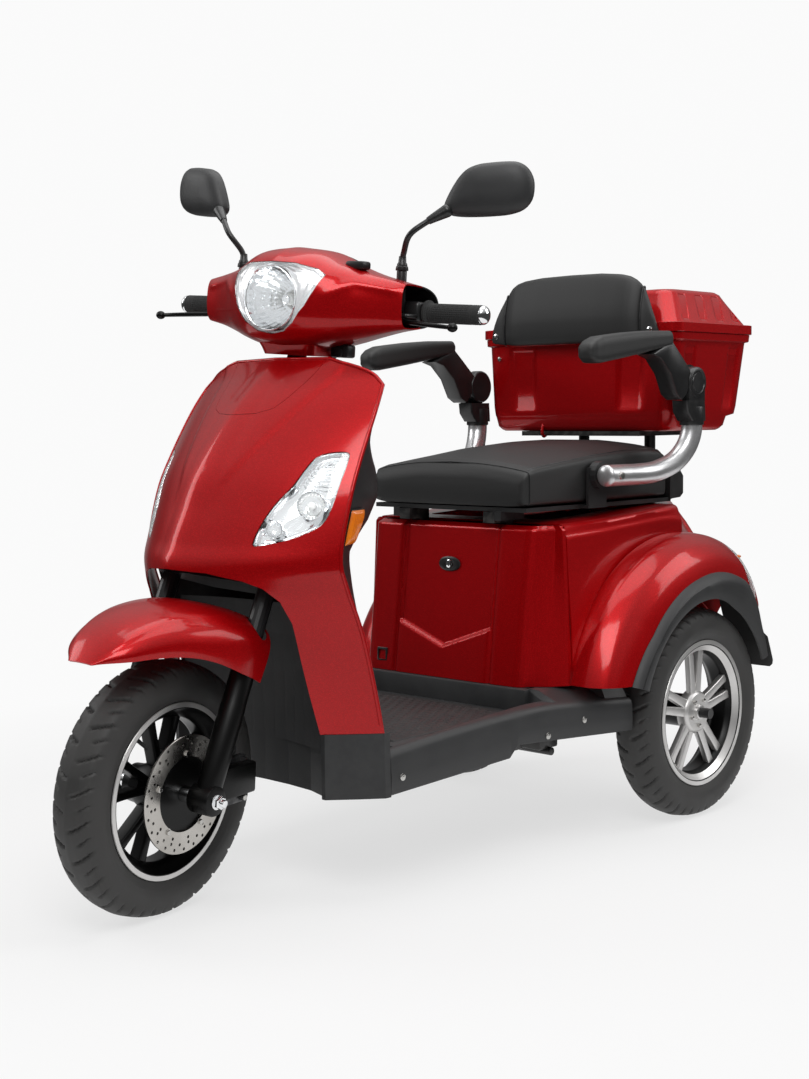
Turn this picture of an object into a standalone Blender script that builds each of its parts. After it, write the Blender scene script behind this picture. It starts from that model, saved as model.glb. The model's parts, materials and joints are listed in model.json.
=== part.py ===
"""Three-wheel electric scooter, as separate pieces.

Metres. +X is the rider's left, -Y is forwards, +Z is up. The pieces are modelled straight ahead
with y = 0 near the middle of the wheelbase, the steering is then turned to the left about its
raked axis, and an empty moves the whole object over its own origin on the ground.
"""
import math

import bmesh
import bpy
from mathutils import Matrix, Vector

# Wheels
TYRE_RADIUS = 0.205
TYRE_WIDTH = 0.084
RIM_RADIUS = 0.142
RIM_WIDTH = 0.072
WHEELBASE = 1.095
REAR_TRACK = 0.572
HUB_RADIUS = 0.032
HUB_HALF = 0.050
SPOKE_PAIRS = 5
DISC_RADIUS = 0.095
DISC_BORE = 0.060
DISC_THICKNESS = 0.004
WHEEL_STEPS = 24

# Steering
RAKE = math.radians(23.0)
AXLE_LEAD = 0.030
STEER_AT_REST = math.radians(10.6)
LEG_OFFSET = 0.100
LEG_RADIUS = 0.0205
FOOT_HALF = 0.0207
STANCHION_RADIUS = 0.0155
SLIDER_TOP = 0.225
STEM_RADIUS = 0.016
YOKE_LOW = 0.345
YOKE_HIGH = 0.372
HEAD_TUBE_LOW = 0.400
HEAD_TUBE_HIGH = 0.680
HEAD_TUBE_RADIUS = 0.026
AXLE_RADIUS = 0.008

# Handlebar
BAR_RADIUS = 0.011
BAR_REACH = 0.324
BAR_Y = -0.215
BAR_Z = 0.973
CLAMP_Y = -0.262
CLAMP_Z = 0.962
GRIP_RADIUS = 0.0165
GRIP_START = 0.206
MIRROR_X = 0.168
MIRROR_Y = -0.240
COWL_HALF = 0.205

# Front bodywork
SHIELD_BOTTOM = 0.282
SHIELD_WALL = 0.003
COVER_BOTTOM = 0.176

# Floor and frame
FLOOR_TOP = 0.252
FLOOR_BOTTOM = 0.2255
FLOOR_FRONT = -0.312
RAIL_X = 0.130
RAIL_SIZE = 0.028
RAIL_TOP = 0.225
DECK_RAIL_TOP = 0.575

# Seat base and rear body
BASE_BOTTOM = 0.294
BASE_TOP = 0.585
BASE_FRONT = 0.064
BASE_LEAN = 0.036
BASE_SEAM_Y = 0.148
SHELF_TOP = BASE_BOTTOM - 0.0010
REAR_END = 0.660
BODY_WALL = 0.003

# Rear fenders
FENDER_INNER_X = 0.2345
FENDER_RADIUS = TYRE_RADIUS + 0.145

# Seat
SEAT_HALF = 0.194
SEAT_FRONT = 0.085
SEAT_REAR = 0.552
PAN_LOW = 0.6100
PAN_THICKNESS = 0.008
SEAT_TOP = 0.7365
SLIDE_Y = 0.092
SLIDE_Z = 0.600

# Armrests
ARM_X = SEAT_HALF + 0.0795
ARM_HALF = 0.0210
ARM_PIVOT_Y = 0.494
ARM_PIVOT_Z = 0.847
ARM_HUB_RADIUS = 0.0300
ARM_TUBE_RADIUS = 0.0205
ARM_BOLT_X = SEAT_HALF + 0.0430
ARM_BOLT_Y = 0.288
ARM_BOLT_Z = 0.672

# Luggage box
BOX_HALF = 0.242
BOX_FRONT = 0.491
BOX_REAR = 0.778
BOX_BOTTOM = 0.752
BOX_RIM = 0.947
BOX_WALL = 0.003
LID_RISE = 0.0875
LID_SKIRT = 0.019
LID_OVERHANG = 0.003

# Backrest
BACK_LOW = BOX_RIM - 0.015
BACK_HIGH = BOX_RIM + 0.121
BACK_FRONT = 0.4520
BACK_LEAN = 0.20

# Clearance between pieces that touch, and round what slides or turns
SEAT_GAP = 0.0004
RUN_GAP = 0.0005

FRONT_Y = -0.620
REAR_Y = FRONT_Y + WHEELBASE
REAR_X = REAR_TRACK / 2
STEER_UP = Vector((0.0, math.sin(RAKE), math.cos(RAKE)))
STEER_AHEAD = Vector((0.0, -math.cos(RAKE), math.sin(RAKE)))
FRONT_AXLE = Vector((0.0, FRONT_Y, TYRE_RADIUS))
REAR_AXLE = Vector((0.0, REAR_Y, TYRE_RADIUS))
STEER_POINT = FRONT_AXLE - STEER_AHEAD * AXLE_LEAD
FAR_BEHIND = Vector((0.0, 5.0, 0.6))
FAR_BELOW_AHEAD = Vector((0.0, -5.0, -3.0))
BODY_HEART = Vector((0.0, 0.35, 0.30))
LID_HIGH = BOX_RIM + 0.0006

RED = ("red_paint", (0.36, 0.006, 0.012), 0.18, 0.35)
BLACK = ("black_plastic", (0.018, 0.018, 0.019), 0.55, 0.0)
GREY = ("grey_plastic", (0.045, 0.046, 0.048), 0.6, 0.0)
RUBBER = ("rubber", (0.022, 0.022, 0.022), 0.75, 0.0)
LEATHER = ("leatherette", (0.016, 0.016, 0.017), 0.45, 0.0)
SILVER = ("silver_tube", (0.62, 0.62, 0.63), 0.3, 0.9)
MACHINED = ("machined_alloy", (0.66, 0.65, 0.64), 0.28, 1.0)
STEEL = ("steel", (0.5, 0.49, 0.47), 0.32, 1.0)
BLACK_METAL = ("black_metal", (0.02, 0.02, 0.02), 0.4, 0.3)
CLEAR = ("clear_lens", (0.85, 0.87, 0.88), 0.05, 0.0)
AMBER = ("amber_lens", (0.8, 0.22, 0.01), 0.12, 0.0)
BRIGHT = ("bright_reflector", (0.85, 0.86, 0.87), 0.08, 1.0)

pivots = {}
rest_points = {}


def clear_scene():
    """Remove whatever the file already holds."""
    for thing in list(bpy.data.objects):
        bpy.data.objects.remove(thing, do_unlink=True)


def finish_of(finish):
    """Return the material with this finish, made on first use."""
    name, colour, roughness, metallic = finish
    found = bpy.data.materials.get(name)
    if found:
        return found
    made = bpy.data.materials.new(name)
    made.use_nodes = True
    shader = made.node_tree.nodes["Principled BSDF"]
    shader.inputs["Base Color"].default_value = (*colour, 1.0)
    shader.inputs["Roughness"].default_value = roughness
    shader.inputs["Metallic"].default_value = metallic
    made.diffuse_color = (*colour, 1.0)
    return made


def add_pivot(name, point, parent=None):
    """Make an empty at a point, as modelled straight ahead, for pieces to hang on."""
    empty = bpy.data.objects.new(name + "_pivot", None)
    bpy.context.scene.collection.objects.link(empty)
    empty.empty_display_size = 0.05
    empty.location = point
    pivots[name] = empty
    rest_points[name] = Vector(point)
    if parent:
        empty.parent = pivots[parent]
        empty.matrix_parent_inverse = Matrix.Translation(-rest_points[parent])
    return empty


def hang(thing, pivot):
    """Parent a piece that is modelled in place to a pivot."""
    thing.parent = pivots[pivot]
    thing.matrix_parent_inverse = Matrix.Translation(-rest_points[pivot])


def make_piece(name, shape, finish, pivot, smooth=None, hidden=False):
    """Turn a bmesh into an object whose origin is its pivot's point."""
    origin = rest_points[pivot]
    bmesh.ops.remove_doubles(shape, verts=shape.verts, dist=1e-6)
    bmesh.ops.recalc_face_normals(shape, faces=shape.faces)
    bmesh.ops.translate(shape, verts=shape.verts, vec=-origin)
    mesh = bpy.data.meshes.new(name)
    shape.to_mesh(mesh)
    shape.free()
    mesh.materials.append(finish_of(finish))
    if smooth:
        mesh.shade_smooth()
        mesh.set_sharp_from_angle(angle=math.radians(smooth))
    thing = bpy.data.objects.new(name, mesh)
    bpy.context.scene.collection.objects.link(thing)
    thing.location = origin
    hang(thing, pivot)
    if hidden:
        thing.hide_render = True
        thing.display_type = "WIRE"
    return thing


def add_boolean(target, tool, operation):
    """Cut, join or intersect a piece with a hidden tool."""
    change = target.modifiers.new(operation.lower(), "BOOLEAN")
    change.object = tool
    change.operation = operation
    change.solver = "EXACT"


def make_tool(name, shape, pivot):
    """Make a hidden tool for Boolean work."""
    return make_piece(name, shape, BLACK, pivot, hidden=True)


def cut(target, shape, pivot):
    """Cut a shape out of a piece."""
    add_boolean(target, make_tool(target.name + "_cutter", shape, pivot), "DIFFERENCE")


def fuse(target, shape, pivot):
    """Join a shape to a piece."""
    add_boolean(target, make_tool(target.name + "_joined", shape, pivot), "UNION")


def keep_inside(target, shape, pivot):
    """Keep only what lies inside a shape."""
    add_boolean(target, make_tool(target.name + "_window", shape, pivot), "INTERSECT")


def add_block(shape, low, high):
    """Add a box between two corners."""
    low = Vector(low)
    high = Vector(high)
    placing = Matrix.Translation((low + high) / 2) @ Matrix.Diagonal((*(high - low), 1.0))
    bmesh.ops.create_cube(shape, size=1.0, matrix=placing)


def block(low, high):
    """Return a new shape that holds one box."""
    shape = bmesh.new()
    add_block(shape, low, high)
    return shape


def add_rod(shape, start, end, radius, steps=16, end_radius=None):
    """Add a round bar, or a cone, from one point to another."""
    start = Vector(start)
    end = Vector(end)
    run = end - start
    turn = run.to_track_quat("Z", "Y").to_matrix().to_4x4()
    far = radius if end_radius is None else end_radius
    bmesh.ops.create_cone(
        shape, cap_ends=True, segments=steps, radius1=radius, radius2=far, depth=run.length,
        matrix=Matrix.Translation((start + end) / 2) @ turn)


def rod(start, end, radius, steps=16, end_radius=None):
    """Return a new shape that holds one round bar."""
    shape = bmesh.new()
    add_rod(shape, start, end, radius, steps, end_radius)
    return shape


def add_loft(shape, sections, closed=False):
    """Skin a row of closed sections that have as many points each, and cap both ends."""
    rings = [[shape.verts.new(point) for point in section] for section in sections]
    count = len(rings[0])
    pairs = list(zip(rings, rings[1:]))
    if closed:
        pairs.append((rings[-1], rings[0]))
    for near, far in pairs:
        for i in range(count):
            j = (i + 1) % count
            shape.faces.new((near[i], near[j], far[j], far[i]))
    if not closed:
        shape.faces.new(list(reversed(rings[0])))
        shape.faces.new(rings[-1])


def loft(sections, closed=False):
    """Return a new shape that holds one loft."""
    shape = bmesh.new()
    add_loft(shape, sections, closed)
    return shape


def add_turned(shape, profile, centre, steps=WHEEL_STEPS, start=0.0, sweep=2 * math.pi):
    """Turn a closed profile of (x, radius) points about a line through centre along X."""
    centre = Vector(centre)
    full = abs(sweep - 2 * math.pi) < 1e-6
    count = steps if full else steps + 1
    sections = []
    for k in range(count):
        angle = start + sweep * k / steps
        across = Vector((0.0, math.cos(angle), math.sin(angle)))
        sections.append([centre + Vector((x, 0.0, 0.0)) + across * r for x, r in profile])
    add_loft(shape, sections, closed=full)


def add_spindle(shape, profile, centre, steps=20, direction=(1.0, 0.0, 0.0)):
    """Turn an open profile of (along, radius) points, with its ends on the line, into a solid."""
    line = Vector(direction).normalized()
    side = line.orthogonal().normalized()
    other = line.cross(side)
    centre = Vector(centre)
    rings = []
    for along, radius in profile:
        if radius == 0.0:
            rings.append([shape.verts.new(centre + line * along)])
            continue
        ring = []
        for k in range(steps):
            angle = 2 * math.pi * k / steps
            around = side * math.cos(angle) + other * math.sin(angle)
            ring.append(shape.verts.new(centre + line * along + around * radius))
        rings.append(ring)
    for near, far in zip(rings, rings[1:]):
        for k in range(steps):
            j = (k + 1) % steps
            corners = [near[k % len(near)], near[j % len(near)], far[j % len(far)], far[k % len(far)]]
            corners = list(dict.fromkeys(corners))
            shape.faces.new(corners)


def walled(rows, wall, inside):
    """Return a closed sheet: the given rows outside, and a second skin towards a point."""
    count = len(rows)
    width = len(rows[0])
    outer = [[Vector(point) for point in row] for row in rows]
    inner = []
    for r in range(count):
        line = []
        for c in range(width):
            along = outer[r][min(c + 1, width - 1)] - outer[r][max(c - 1, 0)]
            across = outer[min(r + 1, count - 1)][c] - outer[max(r - 1, 0)][c]
            normal = along.cross(across).normalized()
            if normal.dot(inside - outer[r][c]) < 0:
                normal.negate()
            line.append(outer[r][c] + normal * wall)
        inner.append(line)
    shape = bmesh.new()
    front = [[shape.verts.new(point) for point in row] for row in outer]
    back = [[shape.verts.new(point) for point in row] for row in inner]
    for skin in (front, back):
        for near, far in zip(skin, skin[1:]):
            for i in range(width - 1):
                shape.faces.new((near[i], near[i + 1], far[i + 1], far[i]))
    for r in range(count - 1):
        for c in (0, width - 1):
            shape.faces.new((front[r][c], front[r + 1][c], back[r + 1][c], back[r][c]))
    for c in range(width - 1):
        for r in (0, count - 1):
            shape.faces.new((front[r][c], front[r][c + 1], back[r][c + 1], back[r][c]))
    bmesh.ops.recalc_face_normals(shape, faces=shape.faces)
    return shape


def grid_piece(name, rows, finish, pivot, wall, inside, smooth=40.0):
    """Make a walled sheet from rows of points, its wall on the side of a point."""
    return make_piece(name, walled(rows, wall, inside), finish, pivot, smooth=smooth)


def bent_tube(name, points, radius, finish, pivot, sides=2):
    """Make a tube along a smooth curve through points."""
    curve = bpy.data.curves.new(name, "CURVE")
    curve.dimensions = "3D"
    curve.bevel_depth = radius
    curve.bevel_resolution = sides
    curve.use_fill_caps = True
    route = smooth_route([Vector(point) for point in points], 4)
    line = curve.splines.new("POLY")
    line.points.add(len(route) - 1)
    origin = rest_points[pivot]
    for knot, point in zip(line.points, route):
        knot.co = (*(point - origin), 1.0)
    curve.materials.append(finish_of(finish))
    thing = bpy.data.objects.new(name, curve)
    bpy.context.scene.collection.objects.link(thing)
    thing.location = origin
    hang(thing, pivot)
    return thing


def add_tube(shape, points, radius, steps=10, bends=3):
    """Add a round tube along a smooth curve through points."""
    route = smooth_route([Vector(point) for point in points], bends)
    side = (route[1] - route[0]).orthogonal().normalized()
    sections = []
    for i, place in enumerate(route):
        line = (route[min(i + 1, len(route) - 1)] - route[max(i - 1, 0)]).normalized()
        side = (side - line * side.dot(line)).normalized()
        other = line.cross(side)
        sections.append([place + (side * math.cos(2 * math.pi * k / steps)
                                  + other * math.sin(2 * math.pi * k / steps)) * radius for k in range(steps)])
    add_loft(shape, sections)


def smooth_route(points, steps):
    """Return points along a smooth curve through the given ones."""
    padded = [points[0] * 2 - points[1]] + points + [points[-1] * 2 - points[-2]]
    route = []
    for a, b, c, d in zip(padded, padded[1:], padded[2:], padded[3:]):
        for k in range(steps):
            t = k / steps
            route.append(0.5 * (2 * b + (c - a) * t + (2 * a - 5 * b + 4 * c - d) * t * t
                                + (3 * b - a - 3 * c + d) * t ** 3))
    route.append(points[-1])
    return route


def between(knots, value):
    """Read a value off straight lines between (place, value) knots."""
    if value <= knots[0][0]:
        return knots[0][1]
    for (a, low), (b, high) in zip(knots, knots[1:]):
        if value <= b:
            return low + (high - low) * (value - a) / (b - a)
    return knots[-1][1]


def eased(knots, value):
    """Read a value off a smooth curve through (place, value) knots."""
    points = [Vector((place, level, 0.0)) for place, level in knots]
    route = smooth_route(points, 6)
    return between([(point.x, point.y) for point in route], value)


def rounded_outline(half_x, low_y, high_y, radius, steps=3):
    """Return a rounded rectangle of (x, y) points, anticlockwise."""
    outline = []
    corners = ((half_x, high_y, 0), (-half_x, high_y, 1), (-half_x, low_y, 2), (half_x, low_y, 3))
    for x, y, quarter in corners:
        centre_x = x - math.copysign(radius, x)
        centre_y = y - radius if y == high_y else y + radius
        for k in range(steps + 1):
            angle = math.pi / 2 * (quarter + k / steps)
            outline.append((centre_x + radius * math.cos(angle), centre_y + radius * math.sin(angle)))
    return outline


def steer_point(x, ahead, up):
    """Return a point given across, ahead of and up along the steering axis."""
    return STEER_POINT + Vector((x, 0.0, 0.0)) + STEER_AHEAD * ahead + STEER_UP * up


# Front shield: heights with the centre line, the side edge and the half width
SHIELD_CENTRE = ((0.17, -0.470), (0.28, -0.530), (0.38, -0.570), (0.47, -0.583), (0.55, -0.585),
                 (0.59, -0.567), (0.64, -0.543), (0.714, -0.502), (0.80, -0.430), (0.89, -0.334))
SHIELD_EDGE = ((0.17, -0.345), (0.28, -0.352), (0.43, -0.385), (0.52, -0.420), (0.57, -0.432),
               (0.66, -0.410), (0.72, -0.383), (0.80, -0.338), (0.855, -0.302))
SHIELD_HALF = ((0.17, 0.252), (0.28, 0.250), (0.43, 0.245), (0.57, 0.240), (0.66, 0.240),
               (0.72, 0.236), (0.80, 0.228), (0.855, 0.215))
SHIELD_CROWN = 1.65
SHIELD_RIDGE = 0.004
HOOD_HALF = 0.115
SHIELD_TOP = ((0.0, 0.886), (HOOD_HALF, 0.884), (0.170, 0.868), (0.215, 0.850))
SHIELD_COLUMNS = 7
SHIELD_ROWS = 9


def shield_point(across, up, inset=0.0):
    """Return a point of the shield: across from -1 to 1, up from 0 to 1, set in along its normal."""
    if inset:
        step = 0.01
        east = shield_point(across + step, up) - shield_point(across - step, up)
        north = shield_point(across, up + step) - shield_point(across, up - step)
        return shield_point(across, up) - east.cross(north).normalized() * inset
    top = between(SHIELD_TOP, abs(across) * SHIELD_TOP[-1][0])
    z = SHIELD_BOTTOM + (top - SHIELD_BOTTOM) * up
    side = abs(across)
    centre = eased(SHIELD_CENTRE, z)
    edge = eased(SHIELD_EDGE, z)
    ridge = SHIELD_RIDGE * max(0.0, 1.0 - side * 6.0)
    y = centre + (edge - centre) * side ** SHIELD_CROWN - ridge
    return Vector((across * eased(SHIELD_HALF, z), y, z))


def shield_rows():
    """Return the shield's points in rows from the bottom up."""
    rows = []
    for r in range(SHIELD_ROWS + 1):
        row = []
        for c in range(-SHIELD_COLUMNS, SHIELD_COLUMNS + 1):
            side = math.copysign(abs(c / SHIELD_COLUMNS) ** 0.85, c)
            row.append(shield_point(side, r / SHIELD_ROWS))
        rows.append(row)
    return rows


def front_window(outline, low_y=-0.70, high_y=-0.20):
    """Return a prism along Y whose outline is given as (x, z) points."""
    return loft([[(x, y, z) for x, z in outline] for y in (low_y, high_y)])


def grown(outline, margin):
    """Return an outline moved outwards by a margin."""
    count = len(outline)
    area = sum(outline[i - 1][0] * outline[i][1] - outline[i][0] * outline[i - 1][1] for i in range(count))
    turn = math.copysign(1.0, area)
    moved = []
    for i in range(count):
        ax, ay = outline[i - 1]
        bx, by = outline[i]
        cx, cy = outline[(i + 1) % count]
        first = Vector((by - ay, ax - bx)).normalized() * turn
        second = Vector((cy - by, bx - cx)).normalized() * turn
        out = (first + second).normalized()
        reach = margin / max(0.5, out.dot(first))
        moved.append((bx + out.x * reach, by + out.y * reach))
    return moved


def mirrored(outline):
    """Return an outline on the other side."""
    return [(-x, z) for x, z in reversed(outline)]


ARCH_OUTLINE = ((0.0, 0.550), (0.070, 0.545), (0.120, 0.533), (0.145, 0.521), (0.163, 0.500),
                (0.172, 0.465), (0.176, 0.383), (0.180, 0.270), (0.180, 0.150))
HOOD_OUTLINE = ((0.0, 0.792), (0.045, 0.794), (0.072, 0.802), (0.085, 0.820), (0.098, 0.850),
                (0.109, 0.880), (0.109, 0.920))
LAMP_OUTLINE = ((0.1195, 0.588), (0.137, 0.625), (0.159, 0.673), (0.183, 0.717), (0.207, 0.735),
                (0.217, 0.728), (0.217, 0.692), (0.210, 0.654), (0.194, 0.613), (0.168, 0.594))
PANEL_GAP = 0.0006


def both_sides(half):
    """Complete an outline that is given for its left half."""
    return list(half) + [(-x, z) for x, z in reversed(half) if x > 0]


def build_front_bodywork():
    """Shield, hood panel, lamps in it, inner shield, wheel arch liner and lower cover."""
    arch = both_sides(ARCH_OUTLINE)
    hood = both_sides(HOOD_OUTLINE)
    shield = grid_piece("front_shield", shield_rows(), RED, "body", SHIELD_WALL, FAR_BEHIND)
    cut(shield, front_window(arch), "body")
    cut(shield, front_window(hood), "body")
    for outline in (list(LAMP_OUTLINE), mirrored(LAMP_OUTLINE)):
        cut(shield, front_window(outline), "body")
    panel = grid_piece("hood_panel", shield_rows(), RED, "body", SHIELD_WALL, FAR_BEHIND)
    keep_inside(panel, front_window(grown(hood, -PANEL_GAP)), "body")
    for side, outline in (("left", list(LAMP_OUTLINE)), ("right", mirrored(LAMP_OUTLINE))):
        lamp = grid_piece("position_lamp_" + side, shield_rows(), CLEAR, "body", SHIELD_WALL, FAR_BEHIND)
        keep_inside(lamp, front_window(grown(outline, -PANEL_GAP)), "body")
    build_inner_shield()
    build_arch_liner()


INNER_BACK = ((0.28, -0.296), (0.40, -0.296), (0.55, -0.292), (0.65, -0.276), (0.75, -0.258),
              (0.89, -0.228))
INNER_BULGE = 3.0
FLANK = ((0.50, 0.0), (0.57, 0.0), (0.62, 0.50), (0.66, 0.70), (0.70, 0.55), (0.75, 0.10), (0.80, 0.0))
INNER_ROWS = 8
INNER_INSET = SHIELD_WALL + 0.0052
INNER_REACH = 0.985
STEM_HOLE = 0.040


def inner_point(across, up):
    """Return a point of the inner shield, which bulges towards the rider."""
    rim = shield_point(math.copysign(INNER_REACH, across or 1.0), up, INNER_INSET)
    back = eased(INNER_BACK, rim.z)
    side = abs(across)
    full = between(FLANK, rim.z)
    wide = side * (1.0 - full) + full * (1.0 - (1.0 - side) ** 3)
    return Vector((rim.x * wide, back + (rim.y - back) * side ** INNER_BULGE, rim.z))


def build_inner_shield():
    """Black panel between the shield and the rider's knees, with its top deck."""
    columns = [math.copysign(abs(c / 6) ** 0.7, c) for c in range(-6, 7)]
    rows = []
    for r in range(INNER_ROWS + 1):
        rows.append([inner_point(side, (r / INNER_ROWS) * 0.975) for side in columns])
    for part in (0.0, 0.5, 1.0):
        row = []
        for side in columns:
            low = inner_point(side, 0.975)
            front = shield_point(side * INNER_REACH, 0.985, INNER_INSET)
            place = low.lerp(front, part)
            place.z = low.z + (0.006 - 0.004 * part) * (1.0 - abs(side) ** 4)
            row.append(place)
        rows.append(row)
    del rows[INNER_ROWS]
    inner = grid_piece("inner_leg_shield", rows, BLACK, "body", 0.003, FAR_BELOW_AHEAD)
    cut(inner, rod(steer_point(0, 0, 0.65), steer_point(0, 0, 0.82), STEM_HOLE, 20), "body")
    return inner


LINER_CENTRE = ((0.28, -0.384), (0.40, -0.386), (0.50, -0.394))
LINER_TOP = 0.482
LINER_HALF = 0.168


def liner_y(side, z):
    """Return the wheel arch liner's y at a share of its half width."""
    return between(LINER_CENTRE, z) - 0.030 * abs(side) ** 2


COVER_TOP = SHIELD_BOTTOM - SEAT_GAP


def cover_plan(z):
    """Return the lower cover's plan, from the right rear corner round the front to the left."""
    grow = (COVER_TOP - z) * 0.02
    left = [(0.250 + grow, -0.340), (0.249 + grow, -0.352), (0.222, -0.386), (0.186, -0.424),
            (0.178, -0.424), (0.165, -0.408), (0.120, -0.392), (0.060, -0.385)]
    ring = left + [(0.0, -0.383)] + [(-x, y) for x, y in reversed(left)]
    return [Vector((x, y, z)) for x, y in ring]


def build_arch_liner():
    """Black moulding behind the front wheel: a cover across the bottom and a liner above it."""
    rows = [cover_plan(COVER_BOTTOM), cover_plan((COVER_BOTTOM + COVER_TOP) / 2), cover_plan(COVER_TOP)]
    cover = grid_piece("wheel_arch_liner", rows, GREY, "body", 0.003, FAR_BEHIND)
    sections = []
    for z in (COVER_TOP - 0.030, 0.30, 0.36, 0.43, LINER_TOP):
        front = [(LINER_HALF * c / 6, liner_y(c / 6, z)) for c in range(-6, 7)]
        back = [(x, y + 0.003) for x, y in reversed(front)]
        sections.append([Vector((x, y, z)) for x, y in front + back])
    fuse(cover, loft(sections), "body")


def build_turn_signals():
    """Amber lamps on the flanks of the inner shield."""
    for side, hand in (("left", 1), ("right", -1)):
        shape = bmesh.new()
        sections = []
        for out in ((0.0070, 0.0135) if hand < 0 else (0.0054, 0.0120)):
            ring = []
            for share, z in ((0.985, 0.604), (0.935, 0.604), (0.880, 0.604), (0.880, 0.662), (0.935, 0.662),
                             (0.985, 0.662)):
                up = (z - SHIELD_BOTTOM) / (0.87 - SHIELD_BOTTOM)
                skin = inner_point(share * hand, up)
                skin.z = z
                shift = Vector((hand * 0.95, 0.30, 0.0))
                ring.append(skin + shift * out)
            sections.append(ring)
        add_loft(shape, sections)
        make_piece("turn_signal_" + side, shape, AMBER, "body")


def build_frame():
    """Steel frame: head tube, down tube, floor rails, uprights and seat rails."""
    half = RAIL_SIZE / 2
    frame = make_piece("chassis_frame", rod(steer_point(0, 0, HEAD_TUBE_LOW), steer_point(0, 0, HEAD_TUBE_HIGH),
                                            HEAD_TUBE_RADIUS, 16), BLACK_METAL, "body", smooth=40)
    fuse(frame, rod((0, -0.392, 0.700), (0, -0.338, RAIL_TOP - 0.012), 0.018), "body")
    low = RAIL_TOP - RAIL_SIZE
    fuse(frame, block((-RAIL_X - half, -0.352, low), (RAIL_X + half, -0.324, RAIL_TOP)), "body")
    rails = bmesh.new()
    uprights = bmesh.new()
    seat_rails = bmesh.new()
    for hand in (1, -1):
        x = hand * RAIL_X
        add_block(rails, (x - half * 0.999, -0.345, low + 0.0002), (x + half * 0.999, 0.150, RAIL_TOP - 0.0002))
        add_block(uprights, (x - half * 0.9, 0.125, low + 0.001), (x + half * 0.9, 0.149, DECK_RAIL_TOP - 0.001))
        add_block(seat_rails, (x - half, 0.120, DECK_RAIL_TOP - RAIL_SIZE), (x + half, 0.6500, DECK_RAIL_TOP))
    fuse(frame, rails, "body")
    fuse(frame, uprights, "body")
    fuse(frame, seat_rails, "body")
    cross = bmesh.new()
    add_block(cross, (-RAIL_X - 0.060, SHOCK_TOP_Y - 0.013, 0.5300), (RAIL_X + 0.060, SHOCK_TOP_Y + 0.013, 0.5550))
    add_block(cross, (-RAIL_X, 0.1255, 0.5480), (RAIL_X, 0.1485, 0.5740))
    add_block(cross, (-RAIL_X, 0.1250, low + 0.0012), (RAIL_X, 0.1480, RAIL_TOP - 0.0008))
    add_block(cross, (-RAIL_X, 0.6260, 0.5485), (RAIL_X, 0.6490, 0.5745))
    fuse(frame, cross, "body")
    tray = bmesh.new()
    add_block(tray, (-0.150, 0.1475, 0.2880), (0.150, 0.4300, 0.2960))
    fuse(frame, tray, "body")
    hangers = bmesh.new()
    for hand in (1, -1):
        add_block(hangers, (hand * 0.138 - 0.006, 0.4180, 0.2900), (hand * 0.138 + 0.006, 0.4290, 0.5520))
    fuse(frame, hangers, "body")
    ears = bmesh.new()
    for hand in (1, -1):
        add_block(ears, (hand * RAIL_X - 0.010, 0.145, 0.2000), (hand * RAIL_X + 0.010, SWING_Y + 0.014, 0.2400))
    fuse(frame, ears, "body")
    rods = bmesh.new()
    for hand in (1, -1):
        add_spindle(rods, ((0.310, 0.0), (0.310, DAMPER_ROD), (SPRING_HIGH + SEAT_GAP, DAMPER_ROD),
                           (SPRING_HIGH + SEAT_GAP + 0.0002, 0.029), (0.505, 0.029), (0.512, 0.012),
                           (SHOCK_TOP_Z + 0.012, 0.012), (SHOCK_TOP_Z + 0.012, 0.0)),
                    (hand * SHOCK_X, SHOCK_TOP_Y, 0.0), 10, (0, 0, 1))
    fuse(frame, rods, "body")
    fuse(frame, seat_rail_shape(), "body")
    cups = bmesh.new()
    for start, end in ((HEAD_TUBE_LOW - 0.0096, HEAD_TUBE_LOW + 0.012), (HEAD_TUBE_HIGH - 0.012, HEAD_TUBE_HIGH + 0.008)):
        add_rod(cups, steer_point(0, 0, start), steer_point(0, 0, end), HEAD_TUBE_RADIUS + 0.003, 16)
    fuse(frame, cups, "body")
    build_rack(frame)
    cut(frame, rod(steer_point(0, 0, HEAD_TUBE_LOW - 0.02), steer_point(0, 0, HEAD_TUBE_HIGH + 0.02),
                   STEM_RADIUS + RUN_GAP + 0.0003, 16), "body")
    cut(frame, rod((-0.2, SWING_Y, SWING_Z), (0.2, SWING_Y, SWING_Z), 0.0076, 12), "body")


# Rear suspension
SWING_Y = 0.185
SWING_Z = 0.220
SHOCK_X = 0.172
SHOCK_TOP_Y = 0.498
SHOCK_TOP_Z = 0.5295
AXLE_HOUSING_RADIUS = 0.030
SPRING_RADIUS = 0.024
SPRING_WIRE = 0.0042
SPRING_TURNS = 5
SPRING_STEPS = 8
SPRING_LOW = 0.285
SPRING_HIGH = 0.500
DAMPER_RADIUS = 0.0176
DAMPER_BORE = 0.0155
DAMPER_ROD = 0.0050
DAMPER_TOP = 0.400


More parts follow.
